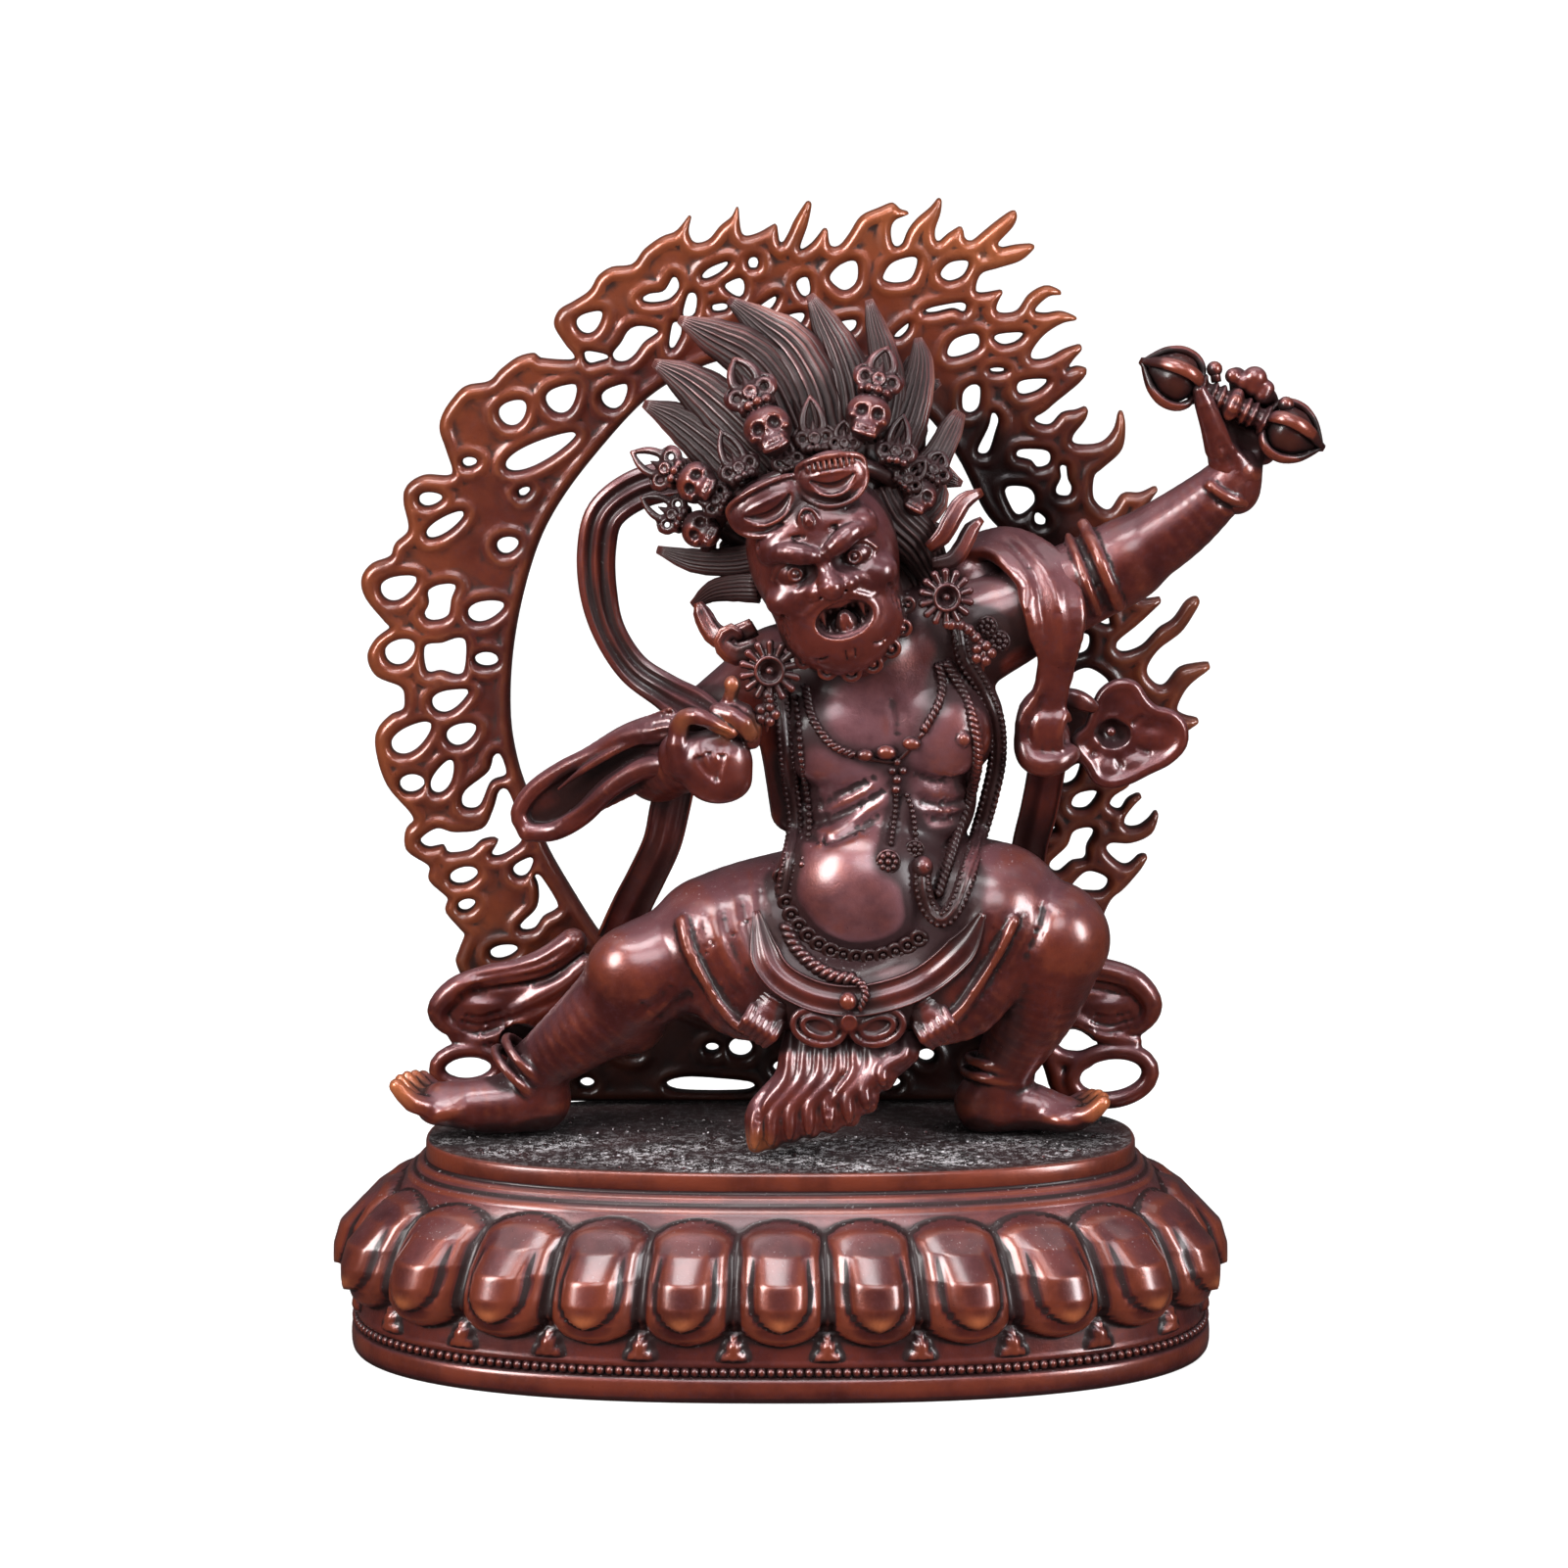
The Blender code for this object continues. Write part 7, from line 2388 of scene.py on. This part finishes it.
def garland(path, radius):
    """A snake's body: scaled skin between two stitched edges."""
    facing = (0, -1, 0)
    line = smooth_line(np.asarray(path, float), 0.28)
    length = run_along(line)
    thick = radius * (0.96 + 0.05 * np.cos(2 * np.pi * length / 0.85))
    parts = [tube(line, thick, sides=32, facing=facing, flat=0.85, ribs=8, rib_depth=0.16)]
    along = unit(np.gradient(line, axis=0))
    across = unit(np.cross(along, np.asarray(facing, float)))
    for side in (-1, 1):
        edge = line + across * side * radius * 0.62 + np.asarray(facing) * radius * 0.62
        parts += string_of(edge[::3], 0.34, 0.95, sides=8)
    return parts


MEDALLION_PETALS = 8


def medallion(centre, radius):
    facing = unit((0, -1, 0.1))
    right = unit(np.cross(facing, (0, 0, 1)))
    up = np.cross(right, facing)
    parts = [bead(centre, radius * 0.36, sides=12, rows=8)]
    for k in range(MEDALLION_PETALS):
        a = 2 * np.pi * k / MEDALLION_PETALS
        way = right * math.cos(a) + up * math.sin(a)
        parts.append(bead(centre + way * radius * 0.66, radius * 0.32, sides=10, rows=7))
    parts.append(
        tube(oval(centre - facing * 0.25, right, up, radius, radius, steps=24), radius * 0.16, sides=8)
    )
    return parts


def necklace(material, f):
    parts = []
    parts += twisted(f.meet(((822, 700), (829, 732), (848, 759), (872, 771)), 0.35), 0.62)
    parts += twisted(f.meet(((943, 746), (958, 719), (962, 698), (958, 678)), 0.35), 0.62)
    parts.append(
        tube(smooth_line(f.meet(((872, 771), (895, 776), (917, 776), (943, 748)), 0.2), 0.6), 0.35, sides=8)
    )
    for px, py, r in ((883, 771, 1.0), (905, 768, 1.25), (931, 759, 1.1)):
        parts.append(bead(f.meet(((px, py),), 0.6)[0], r, sides=16, rows=10, squash=(1.2, 0.9, 0.85)))
    for px, py, r in (
        (916, 778, 0.6), (911, 787, 0.62), (922, 787, 0.62), (916, 796, 0.72), (915, 806, 0.7)
    ):
        parts.append(bead(f.meet(((px, py),), 0.4)[0], r, sides=12, rows=8))
    for pixels in (((915, 812), (914, 832), (909, 866)), ((926, 812), (932, 830), (936, 860))):
        parts += string_of(f.meet(pixels, 0.25), 0.42, 0.78, sides=10)
    parts += medallion(f.meet(((907, 880),), 0.5)[0], 1.5)
    parts += medallion(f.meet(((934, 868),), 0.5)[0], 1.2)
    add_trim("necklace", parts, material)


def snake_garland(material, f):
    down = f.meet(
        (
            (985, 672), (1003, 702), (1016, 735), (1018, 775), (1010, 815), (1000, 850), (990, 885),
            (977, 922),
        ),
        0.4,
    )
    low = f.meet(((962, 938), (948, 926), (942, 906), (941, 888)), 0.8)
    top = [(22.0, -2.0, 76.0), (24.0, -6.0, 72.5)]
    path = np.vstack([top, down, low])
    parts = garland(path, 1.35)
    inner = f.meet(
        ((966, 676), (982, 704), (994, 738), (998, 776), (990, 815), (978, 850), (967, 884), (957, 915)),
        0.35,
    )
    parts += twisted(inner, 0.75, pitch=1.7)
    hairy = f.meet(
        ((796, 704), (800, 735), (803, 770), (808, 805), (812, 845), (806, 880), (800, 915)), 0.2
    )
    parts += garland(hairy, 1.3)
    parts += string_of(
        f.meet(((812, 712), (815, 740), (818, 775), (824, 812), (826, 850), (818, 886)), 0.3), 0.5, 1.0
    )
    head = f.meet(((942, 886),), 1.1)[0]
    parts.append(bead(head, 1.45, sides=16, rows=12, squash=(1.0, 1.0, 1.15)))
    for side in (-1, 1):
        parts.append(bead(head + np.array((0.6 * side, -1.05, 0.35)), 0.34, sides=8, rows=6))
    parts += medallion(f.meet(((1020, 655),), 0.9)[0], 1.4)
    parts += medallion(f.meet(((1008, 640),), 0.9)[0], 1.3)
    add_trim("snake_garland", parts, material, MOST_TRIANGLES["snake_garland"])


def belt(material, f):
    parts = ring_chain(
        f.meet(
            (
                (798, 895), (806, 930), (825, 955), (845, 969), (868, 976), (895, 977), (920, 969),
                (943, 955),
            ),
            0.35,
        ),
        0.95, 1.85,
    )
    parts += twisted(
        f.meet(((802, 944), (811, 965), (829, 984), (850, 996), (871, 1000)), 0.35), 0.95, pitch=2.1
    )
    sash = f.meet(
        (
            (772, 930), (786, 985), (820, 1012), (866, 1022), (914, 1014), (950, 997), (984, 966),
            (1004, 932),
        ),
        0.1,
    )
    line = smooth_line(sash, 0.7)
    share = np.linspace(0, 1, len(line))
    broad = np.interp(share, [0, 0.14, 0.86, 1], [0.5, 2.2, 2.2, 0.5])
    parts.append(tube(line, broad, sides=64, facing=(0, -1, 0.15), section=folded(2, 0.07, 0.30)))
    hook = f.meet(((871, 1000), (880, 1005), (884, 1016), (878, 1030)), 1.0)
    parts += twisted(hook, 0.6, pitch=1.5)
    parts.append(bead(f.meet(((866, 1022),), 1.4)[0], 1.3, sides=14, rows=10))
    add_trim("belt", parts, material)


CRUMBS = 900


def dust_bits(material):
    """Crumbs of dirt on the floor of the base, before and between the feet."""
    parts = []
    for x, y in rng.uniform((-46, -20.0), (46, 9.0), (CRUMBS, 2)):
        inside = (x / 48.5) ** 2 + (y / 20.8) ** 2 < 0.97
        crowd = 0.5 + 0.5 * math.sin(x * 0.33 + 1.7 * math.sin(y * 0.5))
        if inside and rng.random() < 0.15 + 0.6 * crowd:
            r = rng.uniform(0.10, 0.30)
            parts.append(
                bead(
                    (x, y, BASE_HEIGHT + r * 0.3), r, sides=5, rows=4,
                    squash=(1.0, rng.uniform(0.6, 1.2), 0.55),
                )
            )
    points, faces = merged(parts)
    obj = add_piece("dust_bits", points, faces, material, "lotus_copper", lift=0.0, fine=1, broad=2)
    set_values(obj, "dust", np.full(len(points), 1.0))


def shelter_values():
    """How closed in each point of each piece is: the share of metal round a place just off its surface."""
    cell = 1.0
    low = np.array((-66.0, -40.0, -4.0))
    size = np.array((146, 80, 170))
    solid = np.zeros(tuple(size), np.float32)
    for _, points, normals in SHAPES:
        for depth in (0.3, 1.2, 2.2):
            i = np.round((points - normals * depth - low) / cell).astype(int)
            ok = ((i >= 0) & (i < size)).all(1)
            i = i[ok]
            solid[i[:, 0], i[:, 1], i[:, 2]] = 1.0
    solid[:, :, : int(-low[2] / cell)] = 1.0

    def blurred(values, radius):
        for axis in range(3):
            total = np.cumsum(np.insert(values, 0, 0, axis=axis), axis=axis)
            n = values.shape[axis]
            hi = np.clip(np.arange(n) + radius + 1, 0, n)
            lo = np.clip(np.arange(n) - radius, 0, n)
            values = (np.take(total, hi, axis=axis) - np.take(total, lo, axis=axis)) / (2 * radius + 1)
        return values

    near = blurred(blurred(solid, 1), 1)
    wide = blurred(blurred(solid, 3), 2)
    for obj, points, normals in SHAPES:
        out = np.zeros(len(points))
        for field, off, share in ((near, 1.6, 0.55), (wide, 4.0, 0.45)):
            g = np.clip((points + normals * off - low) / cell, 0, size - 1.001)
            i = g.astype(int)
            f = g - i
            value = 0.0
            for dx in (0, 1):
                for dy in (0, 1):
                    for dz in (0, 1):
                        w = (f[:, 0] if dx else 1 - f[:, 0]) * (f[:, 1] if dy else 1 - f[:, 1])
                        w = w * (f[:, 2] if dz else 1 - f[:, 2])
                        value = value + w * field[i[:, 0] + dx, i[:, 1] + dy, i[:, 2] + dz]
            out += share * value
        set_values(obj, "shelter", np.clip(out * 1.9, 0, 1))
        set_values(obj, "up", np.clip(normals[:, 2], 0, 1))
        for label in ("tip", "dust", "painted_warm_light", "top", "painted_shade", "pale"):
            if label not in obj.data.attributes:
                set_values(obj, label, np.zeros(len(points)))


# Name, place, width, height, power in watts and colour
LIGHTS = (
    ("key_left", (-0.58, -0.56, 0.52), 0.34, 0.60, 13.0, (1.0, 0.99, 0.98)),
    ("key_right", (0.66, -0.50, 0.36), 0.26, 0.55, 9.0, (0.97, 0.98, 1.0)),
    ("overhead", (-0.1, -0.30, 0.80), 0.45, 0.20, 3.2, (1.0, 1.0, 1.0)),
    ("front_fill", (0.04, -0.60, 0.60), 0.40, 0.34, 2.6, (0.98, 0.96, 1.0)),
    ("paper_light", (0.0, 0.35, 1.6), 2.0, 1.0, 8.0, (1.0, 1.0, 1.0)),
)
PAPER_GREY = (0.30, 0.30, 0.30, 1.0)
PAPER_GLOW = 0.74
ROOM_COLOUR = (0.96, 0.97, 1.0, 1.0)
ROOM_STRENGTH = 0.05
SENSOR_WIDTH = 36.0


def studio():
    """A pale floor that sweeps up behind, soft lights and the photograph's camera."""
    backdrop = Nodes("studio_paper")
    backdrop.shader.inputs["Base Color"].default_value = PAPER_GREY
    backdrop.shader.inputs["Roughness"].default_value = 0.9
    backdrop.shader.inputs["Emission Color"].default_value = (1.0, 1.0, 1.0, 1.0)
    backdrop.shader.inputs["Emission Strength"].default_value = PAPER_GLOW
    profile = [(-3.0, 0.0), (0.55, 0.0)]
    profile += [
        (0.55 + 0.5 * math.sin(a), 0.5 - 0.5 * math.cos(a)) for a in np.linspace(0.1, math.pi / 2, 14)
    ]
    profile.append((1.05, 3.0))
    mesh = bpy.data.meshes.new("studio_sweep")
    verts = [(x, y, z) for y, z in profile for x in (-3.0, 3.0)]
    mesh.from_pydata(verts, [], [(2 * i, 2 * i + 1, 2 * i + 3, 2 * i + 2) for i in range(len(profile) - 1)])
    mesh.shade_smooth()
    mesh.materials.append(backdrop.material)
    sweep = bpy.data.objects.new("studio_sweep", mesh)
    bpy.context.scene.collection.objects.link(sweep)
    sweep.visible_glossy = False

    world = bpy.data.worlds.new("studio_world")
    bpy.context.scene.world = world
    world.use_nodes = True
    shade = world.node_tree.nodes["Background"]
    shade.inputs["Color"].default_value = ROOM_COLOUR
    shade.inputs["Strength"].default_value = ROOM_STRENGTH

    for name, place, width, height, power, colour in LIGHTS:
        light = bpy.data.lights.new(name, "AREA")
        light.shape = "RECTANGLE" if name == "paper_light" else "ELLIPSE"
        light.size = width
        light.size_y = height
        light.energy = power
        light.color = colour
        obj = bpy.data.objects.new(name, light)
        obj.location = place
        aim = Vector((0.0, 0.5, 0.0)) if name == "paper_light" else Vector((0.0, 0.0, 0.07))
        obj.rotation_euler = (aim - Vector(place)).to_track_quat("-Z", "Y").to_euler()
        bpy.context.scene.collection.objects.link(obj)

    camera = bpy.data.cameras.new("photo_camera")
    camera.sensor_width = SENSOR_WIDTH
    camera.lens = FOCAL * SENSOR_WIDTH / FRAME_SIDE
    camera.shift_x = (FRAME_SIDE / 2 - AXIS_X) / FRAME_SIDE
    camera.shift_y = (AXIS_Y - FRAME_SIDE / 2) / FRAME_SIDE
    camera.clip_start = 0.01
    holder = bpy.data.objects.new("photo_camera", camera)
    holder.location = eye() * MM
    holder.rotation_euler = (math.pi / 2 - VIEW_TILT, 0.0, 0.0)
    bpy.context.scene.collection.objects.link(holder)
    bpy.context.scene.camera = holder
    bpy.context.scene.view_settings.view_transform = "Standard"


def build():
    dark = patina("copper_lotus", COPPER_DARK, COPPER_MID, COPPER_WARM)
    locks = patina("copper_hair", *HAIR_COLOURS, dust=0.3, painted_sheen_share=0.35)
    flame = patina("copper_flame", *FLAME_COLOURS, wear=0.40, dust=0.3, sheen=0.75, painted_sheen_share=0.3)
    base = patina("copper_base", COPPER_DARK, COPPER_MID, COPPER_WARM, painted_sheen_share=0.22)
    lotus_base(base)
    bead_row(base)
    flame_aureole(flame)
    body = figure_body(dark)
    hanging_front(dark)
    chest_hand(dark)
    raised_hand(dark)
    thunderbolt(dark)
    head_piece(dark)
    crown(dark)
    hair(locks)
    earrings(dark)
    necklace(dark, body)
    snake_garland(dark, body)
    belt(dark, body)
    dust_bits(dark)
    scarf_left(dark)
    scarf_right(dark)
    scarf_curls(dark)

    shelter_values()
    studio()


build()
